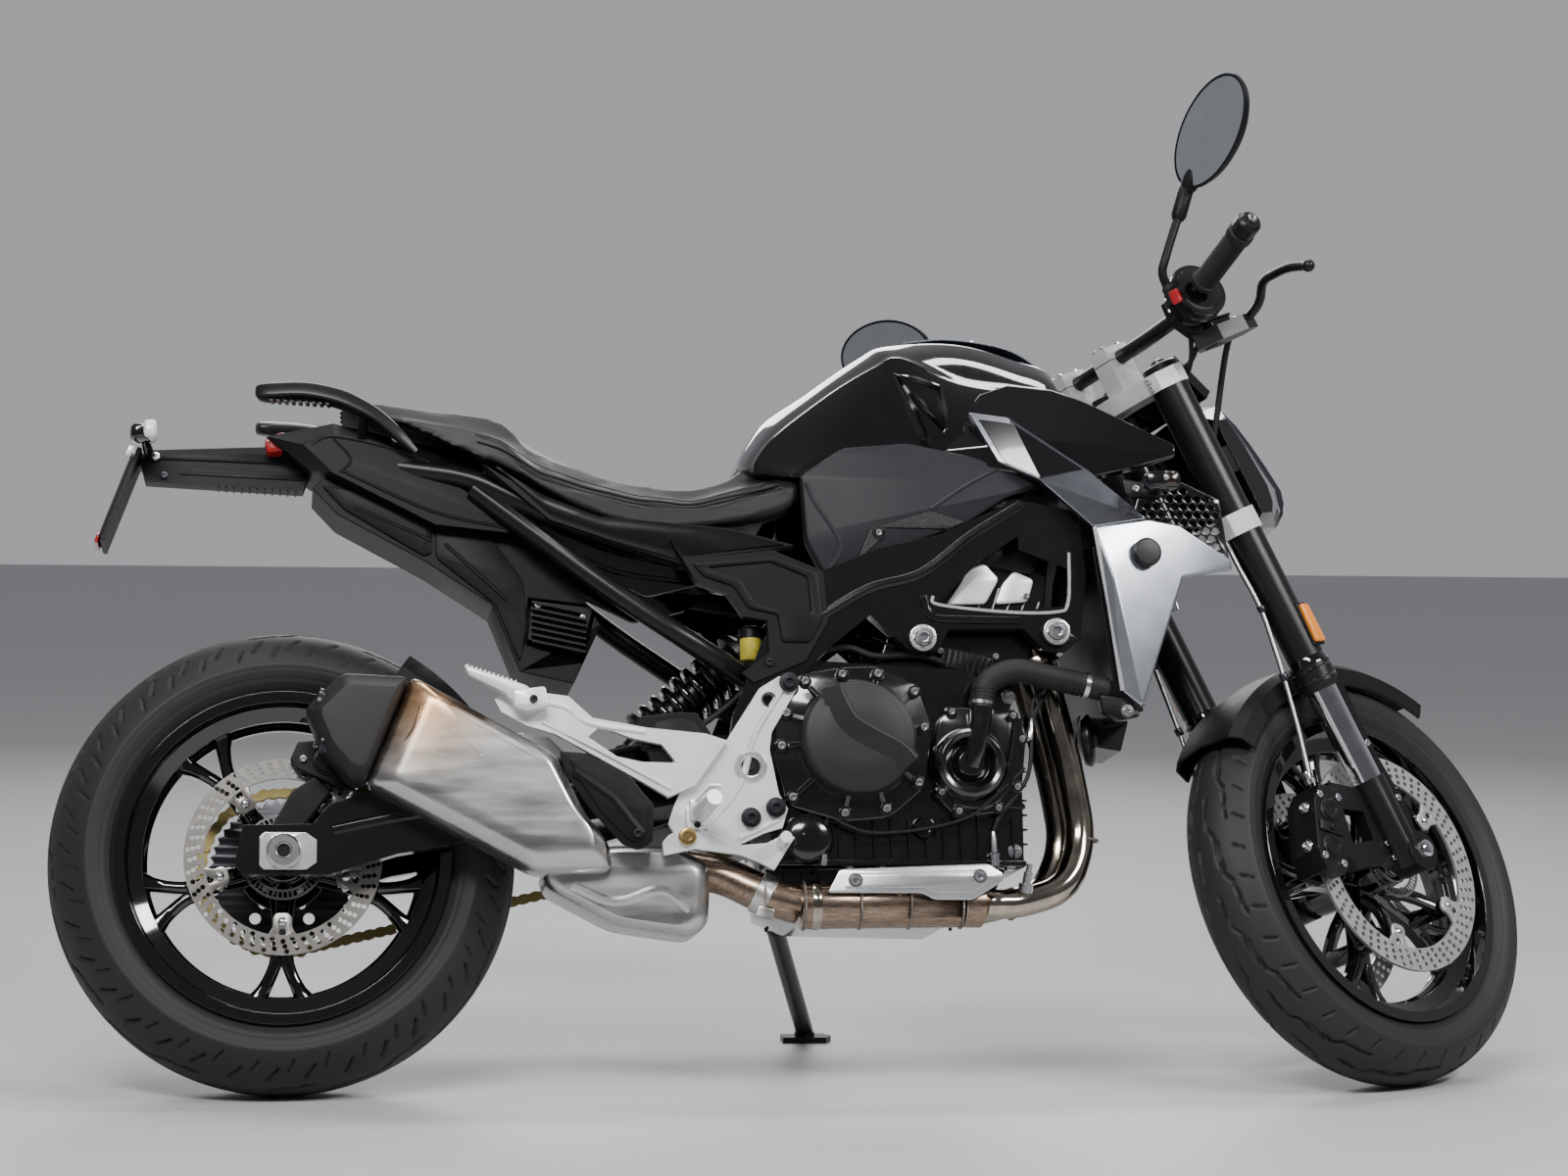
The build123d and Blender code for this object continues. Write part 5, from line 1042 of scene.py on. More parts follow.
# %% Controls, display and lamp
dress("bar_controls", "satin_black", 1.6, angle=25)
CONTROL = Vector((-5, -228, 829))
hoops = [pin(CONTROL + GRIP * a, CONTROL + GRIP * b, [(0, r - 1.5), (0.3, r), (0.7, r), (1, r - 1.5)], 44)
         for a, b, r in ((-21, -16, 31.4), (-4, 1, 31.4), (5, 10, 42.2), (19, 24, 42.2))]
hoops.append(pin(CONTROL + GRIP * 26, CONTROL + GRIP * 29, [(0, 34), (0.6, 33), (1, 24)], 44))
steered("control_rings", both_sides(merged(*hoops)), "gloss_black", "gloss_black_paint", angle=30)
switch = slab_on(CONTROL + Vector((-40, 0, 4)) + GRIP * 14, (-1, 0, 0.1), LEFT, box_outline(15, 20, 4), 7,
                 1.5)
steered("stop_switches", switch, "red_switch", "gloss_plastic", angle=40)
rocker = slab_on(CONTROL + Vector((-29, 0, 10)) - GRIP * 10, (-1, 0, 0.35), LEFT, box_outline(14, 12, 3), 5,
                 1.2)
left_rocker = slab_on((-43, 240, 834), (-1, 0, 0.1), LEFT, box_outline(16, 14, 4), 6, 1.4)
steered("switch_rockers", merged(rocker, left_rocker), "gloss_plastic", "gloss_plastic", angle=40)
tank = merged(slab_on((40, -210, 784), UP, (1, 0, 0), box_outline(50, 30, 6), 9, 1.4),
              slab_on((40, -210, 793), UP, (1, 0, 0), box_outline(54, 34, 6), 4, 1.2))
steered("lever_reservoirs", both_sides(tank), "satin_black", "matt_plastic", angle=35)
for side in (-1, 1):
    for p in (22, 58):
        fork_screw((p, side * 210, 797), UP, 3.2)
    fork_screw((76, side * 220, 784), UP, 5.5, "WASHERED")
wires = []
for a, b in ((-4, 8), (10, 0)):
    wires.append(tube(smooth_path([(-6 + a, -214, 800 + b), (4 + a, -196, 780 + b), (34, -150, 762),
                                   (60 + b, -96, 752 + a), (84, -50, 742)], 6), 3.6, 10))
wires.append(tube(smooth_path([(86, -196, 774), (96, -160, 750), (80, -120, 690), (52, -86, 620),
                               (46, -84, 560), (44, -84, 545)], 6), 4.6, 12))
steered("steering_wires", both_sides(merged(*wires)), "rubber", "rubber", angle=40)
dress("headlamp", "gloss_plastic", 3.0, angle=18)
dress("display", "satin_black", 2.0)
screen = slab_on((95, 0, 749.5), (-0.873, 0, -0.488), LEFT, box_outline(150, 62, 6), 2.0, 0.6)
steered("display_glass", screen, "dark_glass", "gloss_plastic", angle=40)


LAMP_ROWS = [(710, 206, 12), (700, 210, 30), (672, 215.5, 41), (640, 224, 43), (600, 232.6, 44),
             (557, 240.6, 43), (538, 235, 40), (524, 226, 34), (512, 212, 22)]


def lamp_front(z, across, out=0.0):
    """A spot on the lamp's bowed front, from a height and a share of its half width."""
    heights = [row[0] for row in LAMP_ROWS][::-1]
    ahead = float(np.interp(z, heights, [row[1] for row in LAMP_ROWS][::-1]))
    half = float(np.interp(z, heights, [row[2] for row in LAMP_ROWS][::-1]))
    return Vector((ahead + out - 13 * (across * half / 44) ** 2, across * half, z))


spans = np.linspace(-1, 1, 13)
front_face = [[lamp_front(z, t) for t in spans] for z, _, _ in LAMP_ROWS]
lens = loft([row + [p + Vector((-26, 0, 0)) for p in row[::-1]] for row in front_face])
steered("lamp_lens", lens, "dark_glass", "gloss_plastic", angle=24, bevel=1.0)
light_bar = [(-2.2, -0.4), (2.2, -0.4), (1.6, 1.6), (-1.6, 1.6)]
bars = [along([lamp_front(596, t, 0.2) for t in np.linspace(-0.86, 0.86, 17)], light_bar, (1, 0, 0)),
        along([lamp_front(608, t, 0.2) for t in np.linspace(-0.86, 0.86, 17)], light_bar, (1, 0, 0))]
for side in (-1, 1):
    bars.append(along([lamp_front(z, side * 0.86, 0.2) for z in np.linspace(618, 690, 9)], light_bar,
                      (1, 0, 0)))
    bars.append(along([lamp_front(z, side * 0.86, 0.2) for z in np.linspace(586, 530, 9)], light_bar,
                      (1, 0, 0)))
steered("lamp_light_bars", merged(*bars), "clear_lens", "gloss_plastic", angle=40)
bowls = []
for z in (652, 564):
    for side in (-1, 1):
        spot = lamp_front(z, side * 0.42)
        bowls.append(pin(spot + Vector((-4, 0, 0)), spot + Vector((2.4, 0, 0)),
                         [(0, 14), (0.7, 14), (0.9, 13.2), (1, 12), (0.7, 9), (0.55, 4), (0.5, 0.1)], 28))
steered("lamp_bowls", merged(*bowls), "chrome", "chrome", angle=35)
dress("front_mudguard", "matt_plastic", 1.0, angle=24)
stay = panel([(30, 236), (48, 240), (56, 200), (54, 150), (60, 96), (61, 60), (55, 26), (46, 24), (42, 60),
              (36, 100), (32, 150), (28, 196)], 6, -116, -111, bevel=1.2)
steered("mudguard_stays", both_sides(stay), "matt_plastic", "matt_plastic", angle=30)
for side in (-1, 1):
    for p, s in ((43, 168), (50, 80)):
        fork_screw((p, side * 116, s), (0, side, 0), 5.0)
axle_dome = pin((28.4, -139, 0), (28.4, -145, 0), [(0, 12.5), (0.35, 12.2), (0.75, 9.5), (0.95, 5), (1, 0.1)],
                32)
steered("axle_domes", both_sides(axle_dome), "chrome", "chrome", angle=35)
print("lens corners", len(lens[0]))

# %% [markdown]
# ## Engine
# Covers are castings that bolt on all round, so each screw has a round boss and the flange
# follows the screws. The large drum over the clutch is matt, with a curved ridge across its
# face; the rest is gloss. Ribs run from the bosses to the drum to stiffen the thin wall.

# %% Clutch cover
new_finish("engine_gloss", (0.0035, 0.0035, 0.004), rough=0.16, coat=0.7, grain=700, depth=0.03, vary=0.04)
new_finish("cover_matt", (0.011, 0.011, 0.012), rough=0.5, grain=1400, depth=0.12, specular=0.35)
CLUTCH_AT, PUMP_AT, ALTERNATOR_AT = (768, 466), (923, 434), (880, 420)
FLANGE = [(698, 558), (749, 567), (798, 569), (852, 546), (873, 486), (864, 404), (812, 360), (748, 354),
          (672, 376), (655, 440), (660, 522)]
COVER_SCREWS = [(698, 546), (749, 556), (798, 557), (848, 533), (861, 484), (852, 408), (807, 372),
                (750, 366), (679, 387), (665, 457), (672, 502)]


def boss_ring(spots, y0, y1, radius):
    return merged(*[pin((x, y0, z), (x, y1, z), [(0, radius * 1.2), (0.7, radius), (1, radius)], 16)
                    for x, z in spots])


def rib(start, end, wide, high0, high1):
    """A stiffening rib that changes height on the way."""
    return along([start, end],
                 lambda t: [(-wide / 2, 0), (wide / 2, 0), (wide / 3, high0 + (high1 - high0) * t),
                            (-wide / 3, high0 + (high1 - high0) * t)], RIGHT)


flange = [panel(FLANGE, 12, -162, -140, bevel=3), boss_ring(COVER_SCREWS, -158, -167, 9)]
for x, z in COVER_SCREWS:
    way = Vector((CLUTCH_AT[0] - x, 0, CLUTCH_AT[1] - z)).normalized()
    spot = Vector((x, -161, z))
    flange.append(rib(spot + way * 8, Vector((CLUTCH_AT[0], -161, CLUTCH_AT[1])) - way * 74, 9, 5, 15))
    frame_screw((x, -167, z), RIGHT, 5.8)
fixed("clutch_flange", merged(*flange), "engine_gloss", "black_casting", angle=30, bevel=0.8)
DRUM = [(0.1, -200), (30, -200), (58, -199), (64, -196.5), (70, -196.5), (75, -194), (78, -188), (79, -180),
        (79, -168), (84, -161)]
drum = shifted(lathe(DRUM, 72), (CLUTCH_AT[0], 0, CLUTCH_AT[1]))
ridge_path = smooth_path([(736, -198, 536), (744, -198, 512), (758, -198, 488), (786, -198, 470),
                          (820, -198, 452), (840, -198, 432)], 5)
ridge = along(ridge_path,
              lambda t: [(-9 - 3 * t, -3), (-7, 9 + 3 * math.sin(3 * t)), (-3, 11 + 3 * math.sin(3 * t)),
                         (22 + 10 * math.sin(3 * t), -3)], RIGHT)
fixed("clutch_drum", merged(drum, ridge), "cover_matt", "black_casting", angle=28, bevel=1.6)

# %% Water pump, left covers and lower cover
PUMP_PLATE = [(884, 500), (905, 514), (990, 510), (1004, 474), (996, 398), (966, 368), (903, 362), (878, 390),
              (874, 450)]
PUMP_SCREWS = [(900, 506), (985, 502), (997, 470), (989, 404), (962, 375), (907, 370), (884, 396), (881, 452)]
pump = [panel(PUMP_PLATE, 12, -158, -140, bevel=3), boss_ring(PUMP_SCREWS, -154, -163, 8)]
VOLUTE = [(0.1, -178), (17, -178), (22, -170), (27, -167), (31, -174), (36, -182), (42, -184), (47, -180),
          (50, -170), (51, -156)]
pump.append(shifted(lathe(VOLUTE, 56), (PUMP_AT[0], 0, PUMP_AT[1])))
pump.append(tube([(925, -168, 430), (930, -174, 452), (938, -174, 492), (940, -174, 512)],
                 [(0, 13), (0.2, 14.5), (0.8, 14.5), (0.82, 16.5), (1, 16.5)], 20))
channel = smooth_path([(992, -158, 498), (986, -158, 452), (972, -158, 404), (942, -158, 380),
                       (900, -158, 384)], 6)
pump.append(along(channel, [(-8, -2), (8, -2), (8, 5), (5, 8), (-5, 8), (-8, 5)], RIGHT))
fixed("water_pump", merged(*pump), "engine_gloss", "black_casting", ("engine_covers",), angle=30, bevel=0.9)
ALT_PLATE = [(800, 474), (830, 533), (900, 543), (968, 502), (983, 420), (952, 342), (870, 317), (798, 348),
             (778, 410)]
ALT_SCREWS = [(808, 470), (836, 523), (898, 532), (958, 496), (972, 422), (944, 352), (870, 328), (806, 356),
              (788, 412)]
left = [panel(ALT_PLATE, 14, 140, 162, bevel=3), boss_ring(ALT_SCREWS, 158, 166, 9),
        shifted(lathe([(0.1, 193), (40, 193), (46, 190), (60, 190), (68, 186), (71, 178), (72, 160)], 64),
                (ALTERNATOR_AT[0], 0, ALTERNATOR_AT[1])),
        panel([(653, 470), (700, 495), (764, 480), (772, 380), (740, 345), (662, 350), (656, 400)], 12, 144,
              157, bevel=3)]
fixed("left_covers", merged(*left), "engine_gloss", "black_casting", angle=30, bevel=0.9)
for x, z in PUMP_SCREWS:
    frame_screw((x, -163, z), RIGHT, 4.8)
for x, z in ALT_SCREWS:
    frame_screw((x, 166, z), LEFT, 5.4)
for x, z in ((700, 482), (755, 470), (762, 388), (735, 355), (672, 360)):
    frame_screw((x, 157, z), LEFT, 5.0)
lower = shifted(lathe([(0.1, -163), (9, -163), (10, -160), (24, -159.5), (31, -155), (35, -147), (36, -139)],
                      48), (702, 0, 333))
plug = shifted(lathe([(0.1, -147), (7, -147), (8, -150), (13, -150), (16, -146), (17, -139)], 32),
               (862, 0, 348))
fixed("lower_covers", merged(lower, plug), "engine_gloss", "black_casting", angle=35)
print("cover screws", len(COVER_SCREWS) + len(PUMP_SCREWS) + len(ALT_SCREWS))

# %% [markdown]
# The crankcase is two castings that meet at a flange, and its walls carry a net of ribs. Fins
# and ribs are one shape repeated in a row, so the tree puts them along a line.

# %% Crankcase and head
dress("engine_case", "engine_gloss", 3.0, angle=25)
dress("cylinder_head", "engine_gloss", 3.0, angle=25)


def fin(wide, high, thick):
    return loft([[(-thick / 2, -wide / 2, z), (thick / 2, -wide / 2, z), (thick / 2, wide / 2, z),
                  (-thick / 2, wide / 2, z)] if z < high else [(-thick / 4, -wide / 2, z),
                                                               (thick / 4, -wide / 2, z),
                                                               (thick / 4, wide / 2, z),
                                                               (-thick / 4, wide / 2, z)] for z in (0, high)])


rows = [repeated(fin(58, 7, 5), [(745, -139, 331), (985, -139, 336)], 11, up=RIGHT),
        repeated(fin(40, 6, 4), [(880, -117, 700), (1030, -117, 650)], 9, up=RIGHT),
        repeated(fin(34, 6, 4), [(815, -117, 610), (860, -117, 720)], 8, up=RIGHT),
        repeated(fin(60, 6, 5), [(676, -94, 262), (940, -94, 264)], 12, up=RIGHT),
        repeated(fin(250, 9, 4), [(1001, 0, 330), (1001, 0, 430)], 6, up=(1, 0, 0)),
        panel([(650, 306), (1003, 306), (1003, 297), (650, 297)], 3, -144, 144, bevel=1.5),
        panel([(884, 392), (1004, 384), (1004, 376), (884, 384)], 3, -142, -120, bevel=1.5)]
fixed("case_ribs", both_sides(merged(*rows[:4])), "engine_gloss", "black_casting", angle=30, bevel=0.5)
fixed("case_flanges", merged(*rows[4:]), "engine_gloss", "black_casting", angle=30, bevel=0.5)
for x in range(760, 1000, 44):
    for side in (-1, 1):
        frame_screw((x, side * 136, 297), (0, 0, -1), 6, "HEX")
for x, z in ((988, 318), (1002 - 14, 432), (1004 - 20, 532)):
    frame_screw((x, -140, z), RIGHT, 6.5, "WASHERED")
cam = panel([(866, 786), (990, 774), (1038, 736), (1028, 706), (900, 728), (852, 742)], 10, -128, 128,
            bevel=4)
fixed("cam_cover", cam, "black_casting", "black_casting", angle=30)
head_case = [panel([(902, 662), (958, 664), (978, 700), (958, 722), (934, 712), (922, 690)], 6, -127, -118,
                   bevel=2), panel([(972, 664), (1018, 668), (1028, 700), (1000, 712), (984, 694)], 6, -125,
                                   -118, bevel=2),
             panel([(934, 730), (962, 748), (982, 736), (962, 722)], 4, -125, -118, bevel=1.5)]
fixed("head_castings", merged(*head_case), "silver_casting", "silver_casting", angle=30)
coil = repeated(fin(26, 9, 4), [(900, -126, 588), (962, -126, 573)], 9, up=RIGHT)
fixed("coil_block",
      merged(panel([(894, 604), (968, 588), (964, 558), (890, 574)], 4, -128, -112, bevel=2), coil),
      "satin_black", "black_casting", angle=30)
for x, z in ((892, 597), (970, 590), (1016, 676)):
    frame_screw((x, -128 if x < 1000 else -125, z), RIGHT, 4.5)
sensors = [pin((722, -152, 296), (724, -152, 346), [(0, 5), (0.3, 5), (0.32, 3.4), (1, 3.4)], 12),
           pin((958, -150, 296), (956, -150, 344), [(0, 7), (0.35, 7), (0.4, 4.6), (0.8, 4.6), (1, 3)], 12),
           pin((1010, -150, 470), (1014, -150, 500), [(0, 5), (0.5, 5), (0.6, 3.5), (1, 3.5)], 12)]
fixed("sensors", merged(*sensors), "screw_steel", "stainless", angle=30)
cables = [tube(smooth_path([(724, -152, 344), (730, -158, 362), (752, -162, 350), (790, -160, 340),
                            (860, -158, 346), (920, -162, 362), (956, -166, 390), (1000, -160, 430)], 6), 2.2,
               8), tube(smooth_path([(956, -150, 342), (966, -154, 366), (1006, -152, 420), (1016, -148, 500),
                                     (1040, -140, 540)], 6), 3, 8),
          tube(smooth_path([(1014, -150, 498), (1020, -146, 530), (1060, -140, 560), (1096, -130, 566)], 6),
               3, 8), tube(smooth_path([(700, -120, 585), (760, -128, 600), (800, -132, 588),
                                        (860, -130, 590), (900, -128, 580)], 6), 5, 10),
          tube(smooth_path([(930, -136, 792), (980, -138, 800), (1040, -136, 786), (1090, -130, 770)], 6), 5,
               10)]
fixed("engine_wires", merged(*cables), "rubber", "rubber", angle=40)

# %% Coolant hose and horn
dress("coolant_hose", "rubber", 0.0, angle=60)
hose_turn = smooth_path([(940, -172, 512), (942, -172, 522), (943, -172, 536)], 2)
cuff = loft([[(-1.2, u * 0.93, v * 0.93) for u, v in disc(17.2, 16)],
             [(-0.8, u, v) for u, v in disc(17.6, 16)], [(0.8, u, v) for u, v in disc(17.6, 16)],
             [(1.2, u * 0.93, v * 0.93) for u, v in disc(17.2, 16)]], caps=False)
ribs = merged(repeated(cuff, hose_turn, 6, up=RIGHT),
              repeated(cuff, [(1050, -166, 552), (1078, -164.4, 546.6)], 6, up=RIGHT))
fixed("hose_ribs", ribs, "rubber", "rubber", angle=40)
bands = merged(pin((940, -172, 514), (940.6, -172, 520), [(0, 17.2), (0.1, 18.2), (0.9, 18.2), (1, 17.2)],
                   24), pin((1084, -164, 545.5), (1092, -163.6, 544),
                            [(0, 17.2), (0.1, 18.4), (0.9, 18.4), (1, 17.2)], 24))
neck = tube(smooth_path([(1086, -164, 545), (1104, -162, 541), (1122, -155, 537), (1134, -140, 533),
                         (1140, -118, 530)], 5), 16.2, 28)
fixed("hose_neck", neck, "rubber", "rubber", angle=60)
fixed("hose_bands", bands, "screw_steel", "stainless", angle=30)
horn = merged(pin((1098, -66, 482), (1124, -74, 484),
                  [(0, 20), (0.25, 34), (0.45, 37), (0.6, 37), (0.7, 34), (0.75, 30), (0.8, 12), (1, 11),
                   (1, 0.1)], 40))
fixed("horn", horn, "satin_black", "satin_black_paint", angle=30)
dress("radiator", "satin_black", 2.0)
slats = repeated(fin(280, 5, 1.4), [(1149, 0, 730), (1173, 0, 522)], count=34, up=(1, 0, 0.1))
fixed("radiator_fins", slats, "dark_screw", "black_casting", angle=30)

# %% [markdown]
# ## Frame
# The bridge frame is a pair of pressed beams that carry the engine. A rib follows the upper
# edge of the window, a thin bright strip lines its lower lip, and the engine hangs on two large
# bolts with knurled washers.

# %% Frame, swingarm and shock absorber
new_finish("frame_black", (0.0045, 0.0045, 0.005), rough=0.2, coat=0.35, grain=900, depth=0.02,
           coat_rough=0.1, specular=0.3)
dress("main_frame", "frame_black", 6.0, angle=22)
dress("subframe", "satin_black", 0.0)
dress("swingarm", "frame_black", 5.0, angle=22)
beam_rib = along(smooth_path([(724, -156, 640), (790, -156, 678), (862, -156, 700), (930, -156, 752),
                              (1006, -156, 800)], 6),
                 lambda t: [(-9, 0), (9, 0), (7, 4.5), (2, 6.5), (-5, 5.5)], RIGHT)
notch = along(smooth_path([(864, -157, 668), (876, -157, 640), (920, -157, 636), (1000, -157, 636)], 5),
              [(-7, 0), (7, 0), (4, 4), (-4, 4)], RIGHT)
fixed("beam_ribs", both_sides(merged(beam_rib, notch)), "frame_black", "satin_black_paint", angle=25,
      bevel=1.2)
lip = along(smooth_path([(878, -157.4, 668), (886, -157.4, 656), (980, -157.4, 647), (1050, -157.4, 648),
                         (1068, -157.4, 662), (1071, -157.4, 732)], 5),
            [(-2.4, 0), (2.4, 0), (2.0, 2.2), (-2.0, 2.2)], RIGHT)
fixed("window_lips", both_sides(lip), "bright_aluminium", "bright_aluminium", angle=30)


def knurled(spot, side, radius, high):
    """A washer with a knurled rim."""
    x, z = spot
    line = [(x + (radius - 1.2 * (i % 2)) * math.cos(math.tau * i / 56),
             z + (radius - 1.2 * (i % 2)) * math.sin(math.tau * i / 56)) for i in range(56)]
    return plate(line, side * 163.5, side * (163.5 + high), [circle(x, z, 12.4, 28)], 0.5)


washers = merged(*[knurled(spot, side, 19, 4.5) for spot in ((1049, 619), (862, 608)) for side in (-1, 1)])
fixed("engine_bolt_washers", washers, "bright_aluminium", "bright_aluminium", angle=30)
for x, z in ((1049, 619), (862, 608)):
    screw_pair(x, 167.5, z, 12)
arm_rib = along(smooth_path([(64, -131, 344), (150, -131, 362), (330, -131, 392), (560, -131, 436)], 6),
                [(-8, 0), (8, 0), (4, 4), (-4, 4)], RIGHT)
left_rib = moved(arm_rib, Matrix.Scale(-1, 4, LEFT))
left_rib = shifted(left_rib, (0, 12, 0))
fixed("swingarm_ribs", merged(arm_rib, left_rib), "frame_black", "satin_black_paint", angle=25, bevel=1.2)
dress("rear_axle", "bright_aluminium", 1.6)
axle_ring = lathe([(10.5, -144.5), (11.5, -146), (20, -146), (22.5, -143), (22.5, -137), (10.5, -137)], 40,
                  closed=True)
axle_well = lathe([(0.1, -139.5), (10.4, -139.5), (10.4, -145.5), (10.8, -145.5), (10.8, -138.5),
                   (0.1, -138.5)], 32, closed=True)
make("rear_axle_ring", axle_ring, REAR_HUB, "screw_steel", "frame", "bright_aluminium", angle=30)
make("rear_axle_well", axle_well, REAR_HUB, "satin_black", "frame", "satin_black_paint", angle=30)
dress("rear_caliper", "black_casting", 2.2, angle=25)
dress("hugger", "matt_plastic", 1.0, angle=24)
frame_screw((272, -97, 386), RIGHT, 5, "WASHERED")
REAR_CALIPER = REAR_HUB @ turn(-66)
for x, z in ((128, -30), (128, 30), (152, -22), (152, 22)):
    screw("frame", REAR_CALIPER, (x, -98, z), RIGHT, 5)
cover = pin((138, -97, 0), (138, -103, 0), [(0, 19), (0.5, 18.4), (0.6, 15), (1, 14), (1, 0.1)], 32)
make("rear_piston_cap", cover, REAR_CALIPER, "satin_black", "frame", "black_casting", angle=30)
rear_line = tube(smooth_path([(70, -112, 440), (110, -128, 436), (220, -136, 420), (360, -138, 438),
                              (520, -140, 470), (600, -138, 520), (632, -130, 560)], 6), 4, 10)
fixed("rear_brake_hose", rear_line, "rubber", "rubber", angle=40)

LOW, HIGH = Vector((462, -30, 462)), Vector((664, -30, 636))
SPRING = (HIGH - LOW).normalized()
SIDE = SPRING.cross(Vector(LEFT)).normalized()
turns, coil_path = 7.5, []
for i in range(int(turns * 20) + 1):
    a = math.tau * i / 20
    coil_path.append(LOW + SPRING * (44 + 148 * i / (turns * 20))
                     + (SIDE * math.cos(a) + Vector(LEFT) * math.sin(a)) * 33)
spring = tube(coil_path, 6.2, 12)
damper = merged(pin(LOW + SPRING * 4, HIGH - SPRING * 6,
                    [(0, 12), (0.1, 16), (0.14, 38), (0.17, 38), (0.19, 22), (0.6, 22), (0.62, 24),
                     (0.78, 26), (0.8, 38), (0.84, 38), (0.87, 27), (0.96, 20), (1, 12)], 36),
                pin(LOW + Vector((0, -17, 0)), LOW + Vector((0, 17, 0)),
                    [(0, 13), (0.1, 15), (0.9, 15), (1, 13)], 28))
fixed("shock_spring", spring, "gloss_black", "gloss_black_paint", ("shock",), angle=60)
fixed("shock_body", damper, "satin_black", "satin_black_paint", angle=30)
print("spring turns", turns)

# %% [markdown]
# ## Exhaust
# Two pipes run from the head into one can. Stainless pipe goes golden brown where it gets hot,
# and every joint carries a bead of weld: many small overlapping ripples round the pipe. The
# bead is one ripple repeated along a circle.

# %% Headers, beads and catalyst
ripple = loft([[(-2.6, u * 0.4, v * 0.4) for u, v in disc(2.2, 6)], [(-1.2, u, v) for u, v in disc(2.2, 6)],
               [(1.2, u, v) for u, v in disc(2.2, 6)], [(2.6, u * 0.4, v * 0.4) for u, v in disc(2.2, 6)]])


def weld_bead(centre, way, radius):
    """Ripples of weld round a pipe."""
    centre, way = Vector(centre), Vector(way).normalized()
    a = way.orthogonal().normalized()
    b = way.cross(a)
    ring = [centre + (a * u + b * v) for u, v in disc(radius, 48)]
    return repeated(ripple, ring, int(radius * 1.7), up=tuple(way), closed=True)


CAT_Y = -142.0
dress("exhaust_headers", "tinted_header", 0.0, angle=50)
dress("catalyst_pipe", "bronze_cat", 0.0, angle=50)
beads = [weld_bead((x, CAT_Y, z), (1, 0, 0.01), r)
         for x, z, r in ((909, 246, 32.6), (838, 245, 32.4), (770, 244.5, 32.4), (694, 243, 32.2),
                         (640, 256, 26.6))]
beads += [weld_bead((984, -124, 248), (1, 0.35, 0), 20.6), weld_bead((1092, -98, 340), (0.1, 0, 1), 20.5)]
fixed("weld_beads", merged(*beads), "weld", "stainless", angle=60)
collars = merged(pin((1034, -98, 596), (1040, -98, 580), [(0, 27), (0.2, 29), (0.8, 29), (1, 22)], 32),
                 pin((1020, -38, 600), (1026, -38, 584), [(0, 27), (0.2, 29), (0.8, 29), (1, 22)], 32),
                 pin((912, CAT_Y, 246), (930, CAT_Y + 1, 246), [(0, 32.5), (0.3, 30), (1, 22)], 36),
                 pin((704, CAT_Y, 243.4), (716, CAT_Y, 243.6),
                     [(0, 32.2), (0.2, 33.6), (0.8, 33.6), (1, 32.2)], 40))
fixed("pipe_collars", collars, "tinted_header", "stainless", angle=35)
clamp = pin((652, CAT_Y, 252), (632, CAT_Y + 3, 263), [(0, 27), (0.05, 29), (0.95, 29), (1, 27)], 36)
clamp_ear = slab_on((640, CAT_Y - 14, 230), RIGHT, (1, 0, -0.3), box_outline(24, 18, 4), 8, 1.2)
fixed("pipe_clamp", merged(clamp, clamp_ear), "brushed_steel", "stainless", angle=30, bevel=0.5)
frame_screw((640, CAT_Y - 14, 230), RIGHT, 6.5, "HEX")
shield = panel([(722, 256), (740, 288), (942, 296), (963, 282), (961, 272), (920, 247), (868, 247),
                (850, 256)], 5, -181.4, -176, bevel=1.4)
stays = merged(*[pin((x, -164, 262), (x, -178, 274), [(0, 7), (1, 7)], 16) for x in (760, 920)])
fixed("pipe_shield", merged(shield, stays), "bright_aluminium", "bright_aluminium", ("heat_shields",),
      angle=30)
emboss = panel([(744, 262), (756, 282), (934, 288), (950, 280), (948, 274), (918, 256), (870, 256),
                (852, 263)], 5, -183.2, -181, bevel=1.0)
fixed("shield_emboss", emboss, "bright_aluminium", "bright_aluminium", angle=30)
for x, z in ((760, 273), (930, 279)):
    frame_screw((x, -183.2, z), RIGHT, 6.5, "WASHERED")
probe = pin((1000, -140, 262), (1006, -150, 300),
            [(0, 10), (0.3, 10), (0.32, 6), (0.7, 6), (0.72, 4), (1, 4)], 14)
fixed("gas_probe", probe, "steel", "stainless", angle=30)
print("weld ripples", sum(int(r * 1.7) for r in (32.6, 32.4, 32.4, 32.2, 26.6, 20.6, 20.5)))

# %% [markdown]
# The silencer is folded from brushed steel. Near its top raised folds draw a V, and the heat of
# the gas has tinted the metal beside it gold. The tint is a soft patch in the finish, measured
# as the distance from one spot; the folds and the seams are real edges.

